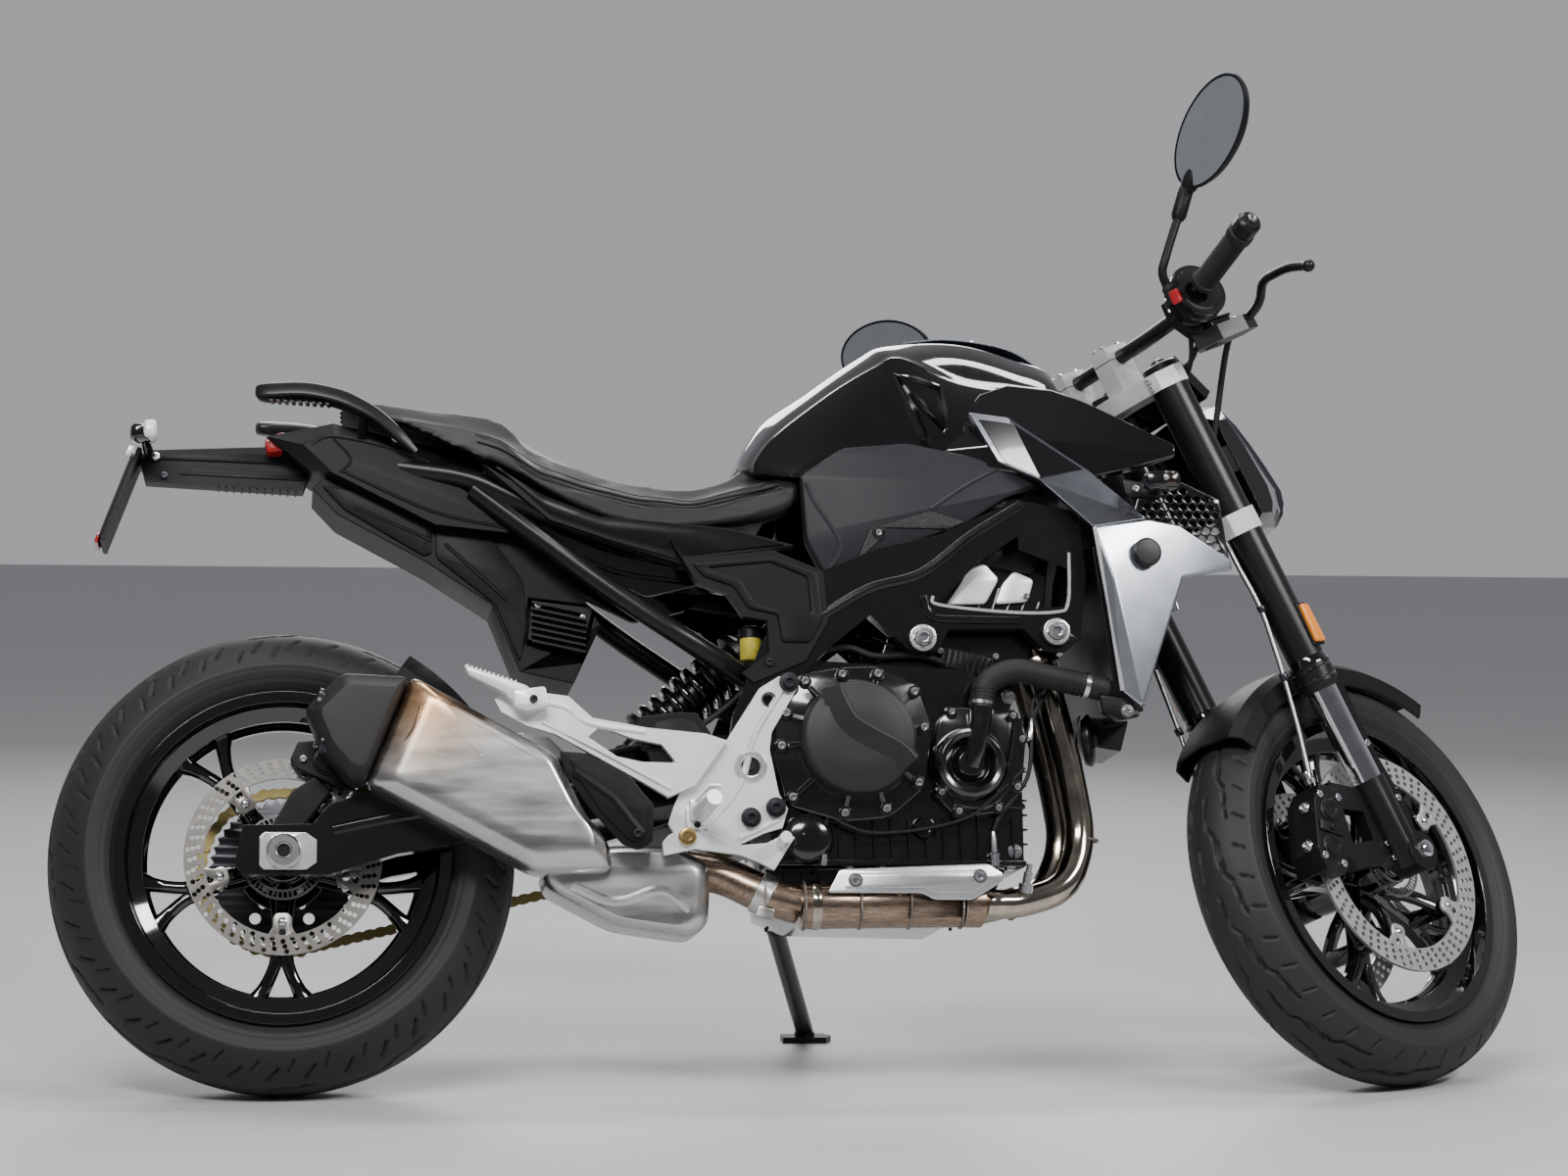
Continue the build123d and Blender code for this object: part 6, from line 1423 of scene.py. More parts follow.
# %% Silencer
def heat_tint(name, base, spot, reach, colour):
    """Mixes a colour into a finish near one spot."""
    made = finishes[base].copy()
    tree = made.node_tree
    shader, ramp = tree.nodes["Principled BSDF"], [n for n in tree.nodes if n.type == "VALTORGB"][0]
    place = [n for n in tree.nodes if n.type == "TEX_COORD"][0]
    away = node(tree, "ShaderNodeVectorMath", (-500, 500), operation="DISTANCE")
    away.inputs[1].default_value = spot
    near = node(tree, "ShaderNodeMapRange", (-300, 500))
    for key, value in zip(("From Min", "From Max", "To Min", "To Max"), (reach * 0.15, reach, 0.85, 0.0)):
        near.inputs[key].default_value = value
    mix = node(tree, "ShaderNodeMix", (-150, 300), data_type="RGBA")
    mix.inputs["B"].default_value = (*colour, 1)
    for a, b in ((place.outputs["Object"], away.inputs[0]), (away.outputs["Value"], near.inputs["Value"]),
                 (near.outputs["Result"], mix.inputs["Factor"]), (ramp.outputs["Color"], mix.inputs["A"]),
                 (mix.outputs["Result"], shader.inputs["Base Color"])):
        tree.links.new(a, b)
    finishes[name] = made


heat_tint("silencer_steel", "brushed_steel", BIKE @ Vector((178, -205, 512)), 0.115, (0.50, 0.27, 0.11))
CAN = [(166, 546), (106, 400), (332, 281), (433, 284), (430, 322), (400, 358), (357, 442)]
MIDDLE = Vector((300, 0, 400))


def can_ring(y, k, radius=14):
    ring = [Vector((x, 0, z)).lerp(MIDDLE, k) for x, z in CAN]
    return [(p[0], y, p[1]) for p in rounded([(v.x, v.z) for v in ring], radius, 5)]


LEVELS = [(-203.5, 0.42), (-203.2, 0.24), (-201.5, 0.19), (-199, 0.165), (-190, 0.06), (-186, 0.035),
          (-181, 0.02), (-174, 0.0), (-126, 0.0), (-119, 0.02), (-114, 0.06), (-107, 0.13), (-106.4, 0.3)]
can = loft([can_ring(*level) for level in LEVELS])
CHAMBER = [(342, 291), (350, 264), (441, 216), (545, 201), (566, 218), (571, 299), (520, 324), (430, 324)]


def chamber_ring(y, k):
    ring = [Vector((x, 0, z)).lerp(Vector((452, 0, 265)), k) for x, z in CHAMBER]
    return [(p[0], y, p[1]) for p in rounded([(v.x, v.z) for v in ring], 16, 5)]


chamber = loft([chamber_ring(*level)
                for level in ((-158, 0.4), (-157.5, 0.2), (-155, 0.14), (-149, 0.06), (-141, 0.015),
                              (-132, 0.0), (-48, 0.0), (-38, 0.02), (-30, 0.07), (-25, 0.16), (-24.4, 0.3))])
fixed("silencer", can, "silencer_steel", "stainless", ("muffler",), angle=24, bevel=0.8)
fixed("front_chamber", chamber, "brushed_steel", "stainless", angle=24, bevel=0.8)


def crease(points, wide, high):
    """A raised fold along a path on the right side."""
    return along(smooth_path(points, 5),
                 [(-wide / 2, 0), (wide / 2, 0), (wide * 0.16, high), (-wide * 0.16, high)], RIGHT)


folds = [crease([(190, -198, 508), (240, -201, 482), (300, -201.5, 448), (336, -201, 428)], 5, 2.6),
         crease([(176, -199, 486), (206, -201, 474), (246, -201.5, 446), (258, -201.5, 430),
                 (240, -201.5, 426), (196, -201, 440), (168, -199, 456)], 5, 2.6),
         crease([(150, -192, 446), (168, -199, 470), (178, -199, 500)], 5, 2.6)]
seam = crease([(338, -176, 286), (330, -196, 330), (352, -200, 372), (382, -196, 366), (400, -178, 352)], 4,
              2.2)
fixed("silencer_folds", merged(*folds, seam), "silencer_steel", "stainless", angle=30)
joint = smooth_path([(424, -150, 318), (450, -152, 306), (500, -150, 300), (556, -146, 292)], 6)
fixed("chamber_seam", repeated(ripple, joint, 44, up=RIGHT), "weld", "stainless", angle=60)
fold = crease([(382, -157.5, 268), (440, -157.8, 246), (500, -157.8, 262), (540, -157.5, 236)], 14, 4)
fixed("chamber_fold", fold, "brushed_steel", "stainless", angle=40)

# %% End cap and guards
END = [(164, 545), (74, 549), (25, 500), (50, 442), (86, 402), (106, 400)]
END_MIDDLE = Vector((100, 0, 475))


def end_ring(y, k, radius=9):
    ring = [Vector((x, 0, z)).lerp(END_MIDDLE, k) for x, z in END]
    return [(p[0], y, p[1]) for p in rounded([(v.x, v.z) for v in ring], radius, 4)]


cap = loft([end_ring(*level)
            for level in ((-200, 0.4), (-199.6, 0.27), (-197, 0.22), (-182, 0.05), (-177, 0.015), (-170, 0.0),
                          (-124, 0.0), (-117, 0.02), (-111, 0.06), (-107, 0.12), (-106.4, 0.3))])
fixed("end_cap", cap, "cover_matt", "matt_plastic", ("muffler_end_cap",), angle=24, bevel=0.8)


def outlet(start, end, r):
    """A pipe's open end with a rolled lip."""
    return pin(start, end, [(0, r), (0.02, r + 2.5), (0.12, r + 2.5), (0.14, r + 0.4), (0.9, r + 0.4),
                            (0.9, r - 2), (0.16, r - 2.4), (0.1, r - 2.4)], 32)


outlets = [outlet((40, -170, 508), (86, -170, 496), 19), outlet((46, -170, 455), (84, -170, 446), 15)]
fixed("outlets", merged(*outlets), "dark_screw", "stainless", angle=30)
guard_rib = merged(panel([(372, 432), (392, 430), (446, 404), (478, 366), (474, 326), (464, 318), (448, 326),
                          (414, 362), (384, 408)], 6, -209.5, -206.4, bevel=1.4),
                   panel([(360, 441), (392, 439), (451, 412), (487, 369), (484, 319), (466, 309), (445, 316),
                          (404, 360), (370, 410)], 5, -206.6, -202, bevel=1.6))
fixed("silencer_guard", guard_rib, "matt_plastic", "matt_plastic", angle=30)
fold = along([(380, -209, 414), (432, -209, 378), (470, -209, 330)], [(-7, 0), (7, 0), (0, 3.2)], RIGHT)
fixed("guard_fold", fold, "matt_plastic", "matt_plastic", angle=30, bevel=0.6)
frame_screw((464, -209.5, 331), RIGHT, 6.2, finish="dark_screw")

# %% [markdown]
# ## Footrests
# The plates that carry the footrests are cast in silver, with a large ring round the swingarm
# pivot. The passenger's peg is folded up; its edge has teeth so that a boot doesn't slip, and
# the teeth are one small prism repeated along the edge.

# %% Plates and pegs
dress("footrest_plates", "silver_casting", 2.4, angle=25)
PLATE_Y = -167.3
ring = shifted(lathe([(13, -166), (13, -169.5), (15, -171), (20, -171), (22, -169), (23, -167)], 48),
               (622, 0, 428))
fixed("pivot_rings", both_sides(ring), "bright_aluminium", "bright_aluminium", angle=30)
nut = shifted(lathe([(0.1, -166.8), (5, -166.8), (6, -164), (10.6, -164), (11.4, -162), (11.4, -158)], 36),
              (622, 0, 428))
fixed("pivot_nuts", both_sides(nut), "dark_screw", "satin_black_paint", angle=30)
for side in (-1, 1):
    for x, z in ((675, 543), (621, 358), (655, 372)):
        frame_screw((x, side * 173.2, z), (0, side, 0), 9.0, "WASHERED", "dark_screw")
hole = shifted(lathe([(8.2, -168.5), (9.8, -168.8), (10.6, -167.2)], 30), (648, 0, 520))
fixed("hole_rims", both_sides(hole), "dark_screw", "satin_black_paint", angle=30)
plate_fold = [crease([(668, PLATE_Y, 536), (628, PLATE_Y, 470), (606, PLATE_Y, 400), (560, PLATE_Y, 344)], 9,
                     3.0), crease([(606, PLATE_Y, 330), (640, PLATE_Y, 346), (660, PLATE_Y, 356)], 8, 3.0)]
arm_fold = [crease([(330, -182.3, 512), (372, -182.3, 503), (404, -182.3, 482), (478, -182.3, 471)], 8, 3.0),
            crease([(340, -182.3, 484), (400, -182.3, 454), (468, -182.3, 418), (512, -182.3, 394)], 7, 3.0)]
fixed("plate_folds", both_sides(merged(*plate_fold, *arm_fold)), "silver_casting", "silver_casting", angle=40)

tooth = loft([[(-2.6, y, 0), (2.6, y, 0), (0, y, 4.2)] for y in (-9, 9)])
rear_peg = [panel([(233, 557), (262, 547), (316, 530), (330, 519), (330, 507), (300, 505), (290, 518),
                   (240, 543)], 4, -183, -206, bevel=2),
            shifted(repeated(tooth, [(238, 0, 554), (302, 0, 533)], 12, up=(0.3, 0, 1)), (0, -195, 0)),
            panel([(300, 522), (342, 528), (346, 500), (316, 494), (300, 500)], 5, -181, -210, bevel=2)]
fixed("passenger_pegs", both_sides(merged(*rear_peg)), "silver_casting", "silver_casting", ("footrests",),
      angle=28)
screw_pair(326, 210, 510, 5.5, finish="dark_screw")
clevis = [panel([(530, 370), (560, 374), (562, 342), (532, 338)], 5, -184, -192, bevel=1.5),
          panel([(534, 378), (556, 382), (560, 352), (536, 350)], 4, -190, -204, bevel=1.5)]
bar = tube([(546, -196, 358), (549, -214, 360), (560, -270, 372)], [(0, 9), (0.2, 12.5), (0.95, 13), (1, 11)],
           18)
teeth = repeated(tooth, [(549, -210, 373), (561, -268, 386)], 11, up=UP)
fixed("rider_pegs", both_sides(merged(*clevis, bar, teeth)), "silver_casting", "silver_casting", angle=28,
      bevel=0.4)
screw_pair(546, 192, 345, 4.5, finish="dark_screw")
dress("foot_controls", "silver_casting", 2.0, angle=25)
dress("stand_bracket", "satin_black", 1.2)
torx = pin((533, -188.5, 330), (533, -194, 330),
           [(0, 12.5), (0.5, 12.5), (0.9, 11), (1, 8), (1, 6), (0.6, 5.5), (0.6, 0.1)], 28)
fixed("pedal_pins", both_sides(torx), "gold_bolt", "chain_gold", angle=30)
pad = loft([[(-1.2, y, 0), (1.2, y, 0), (0.7, y, 2.2), (-0.7, y, 2.2)] for y in (-4, 4)])
pads = repeated(pad, [(659, -182, 329), (660, -218, 333)], count=10, up=UP)
fixed("pedal_pad", pads, "rubber", "rubber", angle=30)
dress("cylinder_guard", "matt_plastic", 2.4, angle=25)
guard_face = merged(panel([(484, 464), (494, 488), (526, 494), (544, 490), (556, 474), (560, 456),
                           (520, 452)], 4, -169.5, -166, bevel=1.4),
                    along([(474, -166.2, 452), (520, -166.2, 450), (574, -166.2, 446)],
                          [(-4, 0), (4, 0), (0, 2.6)], RIGHT))
fixed("cylinder_guard_face", guard_face, "matt_plastic", "matt_plastic", angle=30)
frame_screw((566, -166.6, 446), RIGHT, 5.0)
print("peg teeth", 12 + 11)

# %% [markdown]
# ## Tank cover
# The tank cover is one glossy moulding: a soft hump on top, a crisp rim down each side and a
# flat flank below it. The outlines of four slices are known. Curves through the slices give
# the soft top, and straight steps below the rim keep the flank crisp.

# %% Tank cover
SLICES = {0: [(640, 852), (652, 931), (727, 987), (795, 1034), (838, 1053), (932, 1063), (1015, 1049),
              (1072, 1014), (1074, 900), (860, 852)],
          62: [(642, 850), (650, 912), (727, 977), (800, 1029), (838, 1047), (935, 1050), (1020, 1030),
               (1080, 1000), (1080, 890), (860, 850)],
          105: [(660, 842), (653, 884), (738, 957), (812, 1005), (850, 1019), (930, 987), (1015, 974),
                (1080, 957), (1080, 870), (860, 850)],
          138: [(700, 836), (704, 850), (757, 880), (800, 893), (852, 900), (930, 900), (1002, 890),
                (1062, 862), (1054, 830), (870, 850)]}


def slice_at(y):
    """The tank's outline at a distance from the middle."""
    far = abs(y)
    if far > 105:
        t = (far - 105) / 33
        return [Vector(a).lerp(Vector(b), t)
                + Vector((0, 9 * math.sin(math.pi * t) if k in (2, 3, 4, 5, 6) else 0))
                for k, (a, b) in enumerate(zip(SLICES[105], SLICES[138]))]
    out = []
    for k in range(10):
        line = [Vector((*SLICES[abs(w)][k], w)) for w in (-105, -62, 0, 62, 105)]
        path = smooth_path(line, 12)
        i = min(range(len(path)), key=lambda n: abs(path[n].z - y))
        out.append(Vector((path[i].x, path[i].y)))
    return out


def smooth_loop(points, steps=7):
    """A closed curve through the points."""
    n = len(points)
    return [between(*(points[(i + k) % n] for k in (-1, 0, 1, 2)), s / steps)
            for i in range(n) for s in range(steps)]


levels = [138, 137, 134, 130, 125, 119, 113, 108, 105, 100, 94, 86, 76, 62, 48, 34, 20, 8]
rings = [[(p.x, y, p.y) for p in smooth_loop(slice_at(y))] for y in [-v for v in levels] + [0] + levels[::-1]]
fixed("tank_shell", loft(rings), "gloss_black", "gloss_black_paint", ("tank_cover",), angle=34, bevel=1.6)
WING = [[(905, -134, 858), (905, -140, 862), (905, -141, 880), (905, -132, 900), (905, -126, 896)],
        [(960, -138, 846), (960, -152, 852), (960, -153, 884), (960, -116, 968), (960, -108, 962)],
        [(1000, -140, 838), (1000, -157, 845), (1000, -159, 890), (1000, -116, 982), (1000, -108, 974)],
        [(1060, -142, 835), (1060, -158, 841), (1060, -161, 889), (1060, -125, 974), (1060, -117, 966)],
        [(1100, -142, 834), (1100, -157, 839), (1100, -161, 886), (1100, -134, 958), (1100, -127, 951)],
        [(1165, -146, 850), (1165, -157, 855), (1165, -160, 880), (1165, -150, 922), (1165, -143, 918)],
        [(1228, -150, 871), (1228, -156, 874), (1228, -158, 881), (1228, -155, 891), (1228, -149, 889)]]
wing = loft(WING)
fixed("tank_wings", both_sides(wing), "gloss_black", "gloss_black_paint", angle=20, bevel=3.0)


def flank_y(z):
    """How far out the flank is at a height."""
    return -float(np.interp(z, [840, 900, 1000, 1060], [139, 138.5, 108, 96]))


def flank(x, z, out=0.0):
    return Vector((x, flank_y(z) - out, z))


A, B, C, D = (838, 994), (902, 976), (905, 908), (884, 872)
folds = []
for line, wide in (((A, C), 9), ((A, D), 9), ((B, C), 7), ((A, B), 6)):
    path = [flank(line[0][0] + (line[1][0] - line[0][0]) * t, line[0][1] + (line[1][1] - line[0][1]) * t,
                  1.0 + 5 * math.sin(math.pi * t) * 0.4) for t in np.linspace(0, 1, 9)]
    folds.append(along(path,
                       lambda t, w=wide: [(-w * (1.05 - abs(t - 0.5)), -2), (0, 5.4),
                                          (w * (1.05 - abs(t - 0.5)), -2)], RIGHT))
fixed("tank_folds", both_sides(merged(*folds)), "gloss_black", "gloss_black_paint", angle=60)
insert = along(smooth_path([(868, 0, 1060), (932, 0, 1065), (1012, 0, 1052), (1062, 0, 1022)], 6),
               lambda t: [(-(34 + 16 * t), 0), (-30 - 16 * t, 3), (30 + 16 * t, 3), (34 + 16 * t, 0),
                          (30, -4), (-30, -4)], UP)
fixed("tank_insert", insert, "slate_insert", "matt_plastic", angle=30, bevel=1.0)
filler = pin((958, 0, 1058), (960, 0, 1070),
             [(0, 30), (0.6, 30), (0.7, 27), (0.74, 25), (0.8, 25), (0.9, 9), (1, 8), (1, 0.1)], 44)
fixed("filler_cap", filler, "satin_black", "satin_black_paint", angle=30)
for i in range(5):
    a = math.tau * i / 5
    frame_screw((959 + 27.5 * math.cos(a), 27.5 * math.sin(a), 1066), UP, 2.6)
print("tank rings", len(rings))

# %% [markdown]
# ## Side panels, strips and shrouds
# Below the gloss lies a matt panel with a patch of leather-like grain where the knee rests.
# A dark metallic blade runs forward from it and turns into a silver shroud. The round seat
# near the shroud's top carries a plain cap here.

# %% Knee panels
PANEL = [(699, 838), (758, 877), (850, 886), (980, 860), (1047, 831), (985, 809), (931, 773), (850, 741),
         (773, 713), (730, 696), (705, 745)]
side_panel = [panel(PANEL, 9, -152, -118, bevel=6),
              crease([(880, -151.6, 792), (930, -151.6, 826), (985, -151.6, 856)], 7, 1.8),
              crease([(735, -151.4, 702), (752, -151.4, 740), (716, -151.4, 800), (706, -151.4, 826)], 8,
                     1.6)]
fixed("side_panels", both_sides(merged(*side_panel)), "panel_grey", "matt_plastic", ("tank_side_panels",),
      angle=28)
KNEE = [(774, 717), (793, 762), (878, 789), (928, 774), (905, 763), (850, 744)]
knee = panel(KNEE, 4, -154.6, -150, [circle(806, 757, 9, 24)], bevel=1.6)
fixed("knee_patches", both_sides(knee), "knee_grain", "matt_plastic", angle=30)
cup = shifted(lathe([(9.2, -154.2), (8.6, -155), (7.6, -154.4), (7, -150.4), (0.1, -150.4)], 28),
              (806, 0, 757))
fixed("knee_cups", both_sides(cup), "matt_plastic", "matt_plastic", angle=30)
screw_pair(806, 150.4, 757, 4.8)

# %% Blades and shrouds
def faceted(points, triangles, thick):
    """A folded sheet: triangles over corners, with a wall towards the middle plane."""
    top = [Vector(p) for p in points]
    back = [v + Vector((0, thick, 0)) for v in top]
    n, faces, rim = len(points), [], {}
    for a, b, c in triangles:
        faces += [(a, b, c), (c + n, b + n, a + n)]
        for pair in ((a, b), (b, c), (c, a)):
            rim.setdefault(tuple(sorted(pair)), []).append(pair)
    faces += [(uses[0][0], uses[0][1], uses[0][1] + n, uses[0][0] + n)
              for uses in rim.values() if len(uses) == 1]
    return top + back, faces


SHROUD = [(1099, -196, 761), (1182, -180, 777), (1227, -168, 772), (1303, -154, 727), (1306, -152, 713),
          (1229, -172, 697), (1161, -190, 511), (1134, -188, 533), (1122, -205, 690)]
SHROUD_FACES = [(0, 1, 8), (1, 2, 8), (2, 5, 8), (2, 3, 5), (3, 4, 5), (5, 6, 8), (6, 7, 8), (7, 0, 8)]
fixed("shroud_shells", both_sides(faceted(SHROUD, SHROUD_FACES, 8)), "silver_paint", "silver_paint",
      ("shrouds",), angle=16, bevel=3.2)
edge = along([(1100, -196.5, 760), (1118, -191.5, 650), (1134, -187, 534)],
             [(-3, -1), (3, -1), (3, 2), (-3, 2)], (-0.3, -1, 0))
fixed("shroud_edges", both_sides(edge), "bright_aluminium", "bright_aluminium", angle=30, bevel=0.8)
cap_at, cap_way = Vector((1172, -199, 726)), Vector((0.28, -0.95, 0.05)).normalized()
cap = pin(cap_at + Vector((0, 6, 0)), cap_at + cap_way * 4,
          [(0, 20), (0.75, 20), (0.85, 19), (0.9, 17.4), (0.95, 17), (0.97, 13), (1, 4), (1, 0.1)], 40)
fixed("plain_caps", both_sides(cap), "satin_black", "satin_black_paint", angle=30)
STRIP = [(935, -153, 931), (990, -159, 923), (1099, -173, 847), (1180, -179, 777.4), (1099, -193, 761.4),
         (1029, -175, 831), (974, -161, 858)]
STRIP_FACES = [(0, 1, 6), (1, 5, 6), (1, 2, 5), (2, 3, 5), (3, 4, 5)]
fixed("blades", both_sides(faceted(STRIP, STRIP_FACES, 14)), "graphite_paint", "graphite_paint",
      ("shroud_strips",), angle=9, bevel=2.2)
inner_spots = [Vector(p).lerp(Vector((1040, -172, 850)), 0.13) + Vector((0, -1.6, 0))
               for p in STRIP[:3] + STRIP[5:]]
inlay = faceted([tuple(p) for p in inner_spots], [(0, 1, 4), (1, 3, 4), (1, 2, 3)], 2.4)
fixed("blade_inlays", both_sides(inlay), "gloss_plastic", "gloss_plastic", angle=9, bevel=0.8)
screw_pair(1142, 178, 507, 6, "WASHERED")
bracket = panel([(1104, 530), (1150, 524), (1160, 500), (1132, 494), (1108, 506)], 5, -178, -160, bevel=1.6)
fixed("shroud_brackets", both_sides(bracket), "satin_black", "satin_black_paint", angle=30)

# %% [markdown]
# The air grille is a sheet of hexagonal holes. A rule places the hexagons and keeps those that
# lie inside the outline, and one filled curve makes the mesh with its rounded wires.

# %% Grilles
GRILLE = [(1166, 772), (1167, 795), (1186, 850), (1226, 842), (1289, 812), (1301, 724), (1228, 760)]


def inside(x, z, outline, margin):
    """Whether a spot lies in a convex or nearly convex outline, clear of its edge."""
    spot, within = Vector((x, z)), False
    for (ax, az), (bx, bz) in zip(outline, outline[1:] + outline[:1]):
        if (az > z) != (bz > z) and x < (bx - ax) * (z - az) / (bz - az) + ax:
            within = not within
        line, start = Vector((bx - ax, bz - az)), Vector((ax, az))
        t = max(0, min(1, (spot - start).dot(line) / line.length_squared))
        if (spot - start - line * t).length < margin:
            return False
    return within


hexes = []
for i in range(12):
    for k in range(12):
        x, z = 1166 + 13 * i + 6.5 * (k % 2), 722 + 11.3 * k
        if inside(x, z, GRILLE, 7.4):
            hexes.append([(x + 6.0 * math.sin(a), z + 6.0 * math.cos(a))
                          for a in np.arange(6) * math.tau / 6])
mesh = panel(GRILLE, 5, -154, -148, hexes, bevel=0.7)
fixed("air_meshes", both_sides(mesh), "gloss_plastic", "matt_plastic", ("air_grilles",), angle=40)
print("hexagons in the grille", len(hexes))

# %% [markdown]
# ## Tail
# Two chunky handles frame the seat, with teeth under their ends for the fingers. Below them the
# tail is made of folded matt mouldings that overlap like scales, and a ribbed arm carries the
# number plate holder.

# %% Handles, tail and side covers
GRAB = smooth_path([(172, -112, 868), (146, -115, 892), (120, -117, 914), (92, -117, 930), (62, -116, 942),
                    (20, -113, 950), (-30, -103, 950), (-46, -99, 949)], 5)


def grab_section(t):
    fat = float(np.interp(t, [0, 0.12, 0.5, 0.85, 0.97, 1], [0.6, 1.1, 1.5, 1.5, 1.2, 0.6]))
    return [(u * fat, v * fat) for u, v in rounded([(-10, -7), (11, -8), (12, 4), (-7, 8)], 4.5, 3)]


handle = [along(GRAB, grab_section, UP), tube([(146, -116, 888), (146, -82, 886)], 8, 16),
          tube([(100, -114, 918), (100, -84, 900)], 7, 16)]
fixed("grab_handle_pair", both_sides(merged(*handle)), "satin_black", "satin_black_paint", ("grab_handles",),
      angle=30)
finger = loft([[(-3.2, y, 0), (3.2, y, 0), (2.0, y, 3.4), (-2.0, y, 3.4)] for y in (-9, 9)])
teeth = repeated(finger, [(-24, -104, 938.5), (52, -115, 932)], 9, up=(0, 0, -1))
fixed("handle_teeth", both_sides(teeth), "satin_black", "satin_black_paint", angle=30, bevel=0.4)
dress("tail_cowl", "matt_plastic", 2.4, angle=12)
tail_lines = [crease([(30, -89, 880), (64, -90.5, 893), (171, -90.5, 868), (244, -90.5, 826)], 5, 1.8),
              crease([(70, -90.5, 846), (196, -90.5, 790), (300, -90.5, 768)], 5, 1.8),
              crease([(60, -90, 890), (84, -90.5, 862), (70, -90, 842)], 4, 1.6)]
fixed("tail_lines", both_sides(merged(*tail_lines)), "matt_plastic", "matt_plastic", angle=60)
dress("undertail", "matt_plastic", 4.0, angle=16)
under = [panel([(44, 830), (76, 796), (186, 732), (196, 736), (196, 786), (100, 822)], 7, -66, -58,
               bevel=2.2), panel([(202, 730), (284, 666), (318, 584), (328, 640), (322, 700), (262, 782),
                                  (202, 792)], 9, -66, -58, bevel=2.2),
         crease([(90, -66, 800), (196, -66, 754)], 5, 1.6),
         crease([(214, -66, 750), (300, -66, 672)], 6, 1.8)]
fixed("undertail_panels", both_sides(merged(*under)), "matt_plastic", "matt_plastic", angle=25)
rear_light = merged(panel([(-30, 878), (-34, 898), (-10, 908), (14, 902), (10, 884)], 5, -50, 50, bevel=3))
fixed("rear_light", rear_light, "red_lens", "gloss_plastic", angle=40)
dress("regulator", "satin_black", 1.2, angle=25)
frame_screw((342, -70, 664), RIGHT, 4.5)
frame_screw((404, -70, 648), RIGHT, 4.5)
dress("side_covers", "matt_plastic", 2.6, angle=25)
centre = Vector((650, 672))
frame_rim = panel([(545, 708), (656, 720), (718, 697), (724, 634), (706, 600), (668, 600), (662, 638),
                   (622, 646), (602, 676), (560, 690)], 6, -165.5, -160,
                  [rounded([(566, 702), (654, 711), (704, 691), (709, 640), (676, 640), (630, 656),
                            (610, 688)], 5)[::-1]], bevel=1.8)
fixed("cover_rims", both_sides(frame_rim), "matt_plastic", "matt_plastic", angle=30)
screw_pair(650, 162, 572, 5.5, finish="dark_screw")
gloss_lid = panel([(276, 846), (342, 805), (420, 776), (600, 760), (680, 740), (540, 722), (442, 746),
                   (354, 776)], 8, -143, -138, bevel=2.0)
fixed("tail_lids", both_sides(gloss_lid), "gloss_plastic", "gloss_plastic", angle=30)

# %% Plate holder, indicators and reservoir
dress("plate_carrier", "matt_plastic", 1.6, angle=20)
arm_ribs = repeated(fin(30, 4, 3), [(-96, 0, 839), (10, 0, 834)], 11, up=(0, 0, -1))
arm_sides = both_sides(merged(panel([(30, 884), (-4, 892), (-146, 885), (-188, 880), (-188, 872), (-140, 872),
                                     (10, 868)], 3, -19.5, -16, bevel=1.2),
                              panel([(24, 856), (-130, 862), (-150, 852), (20, 846)], 3, -19, -16,
                                    bevel=1.0)))
fixed("plate_arm_ribs", merged(arm_ribs, arm_sides), "matt_plastic", "matt_plastic", angle=30, bevel=0.4)
down = Vector((-0.342, 0, -0.94))
top = Vector((-206, 0, 884))
rails = [along([top + down * a + Vector((-2, y, 0)) for a in (14, 70, 134)],
               [(-3, -1), (3, -1), (2, 3), (-2, 3)], (-1, 0, 0.3)) for y in (-38, 0, 38)]
fixed("plate_rails", merged(*rails), "matt_plastic", "matt_plastic", angle=30, bevel=0.5)
plate_lamp = slab_on(top + Vector((-8, 0, -2)), (-0.94, 0, 0.342), LEFT, box_outline(44, 16, 4), 8, 1.5)
fixed("plate_lamp", plate_lamp, "clear_lens", "gloss_plastic", angle=30)
reflector = slab_on(top + down * 132 + Vector((-4, 0, 0)), (-0.94, 0, 0.342), LEFT, box_outline(60, 18, 4), 5,
                    1.2)
fixed("plate_reflector", reflector, "red_lens", "gloss_plastic", angle=30)
for side in (-1, 1):
    frame_screw((-182, side * 19.5, 876), (0, side, 0), 6)
    frame_screw((-170, side * 17.5, 850), (0, side, 0), 5, finish="dark_screw")


def pod(spot, long, high, reach):
    """An indicator's housing and lens, from its inner end outwards to the right."""
    spot = Vector(spot)
    shell = [(0.0, 0.35), (0.06, 0.62), (0.25, 0.92), (0.5, 1.0), (0.8, 0.97), (0.93, 0.84), (1.0, 0.5)]
    lens = [(0.3, 1.04), (0.8, 1.02), (0.95, 0.86), (1.03, 0.45)]

    def rings(steps):
        return loft([[(spot.x + long / 2 * k * u, spot.y - reach * t, spot.z + high / 2 * k * v)
                      for u, v in [(math.copysign(abs(a) ** 0.6, a), math.copysign(abs(b) ** 0.6, b))
                                   for a, b in disc(1.0, 28)]] for t, k in steps])
    return rings(shell), rings(lens)


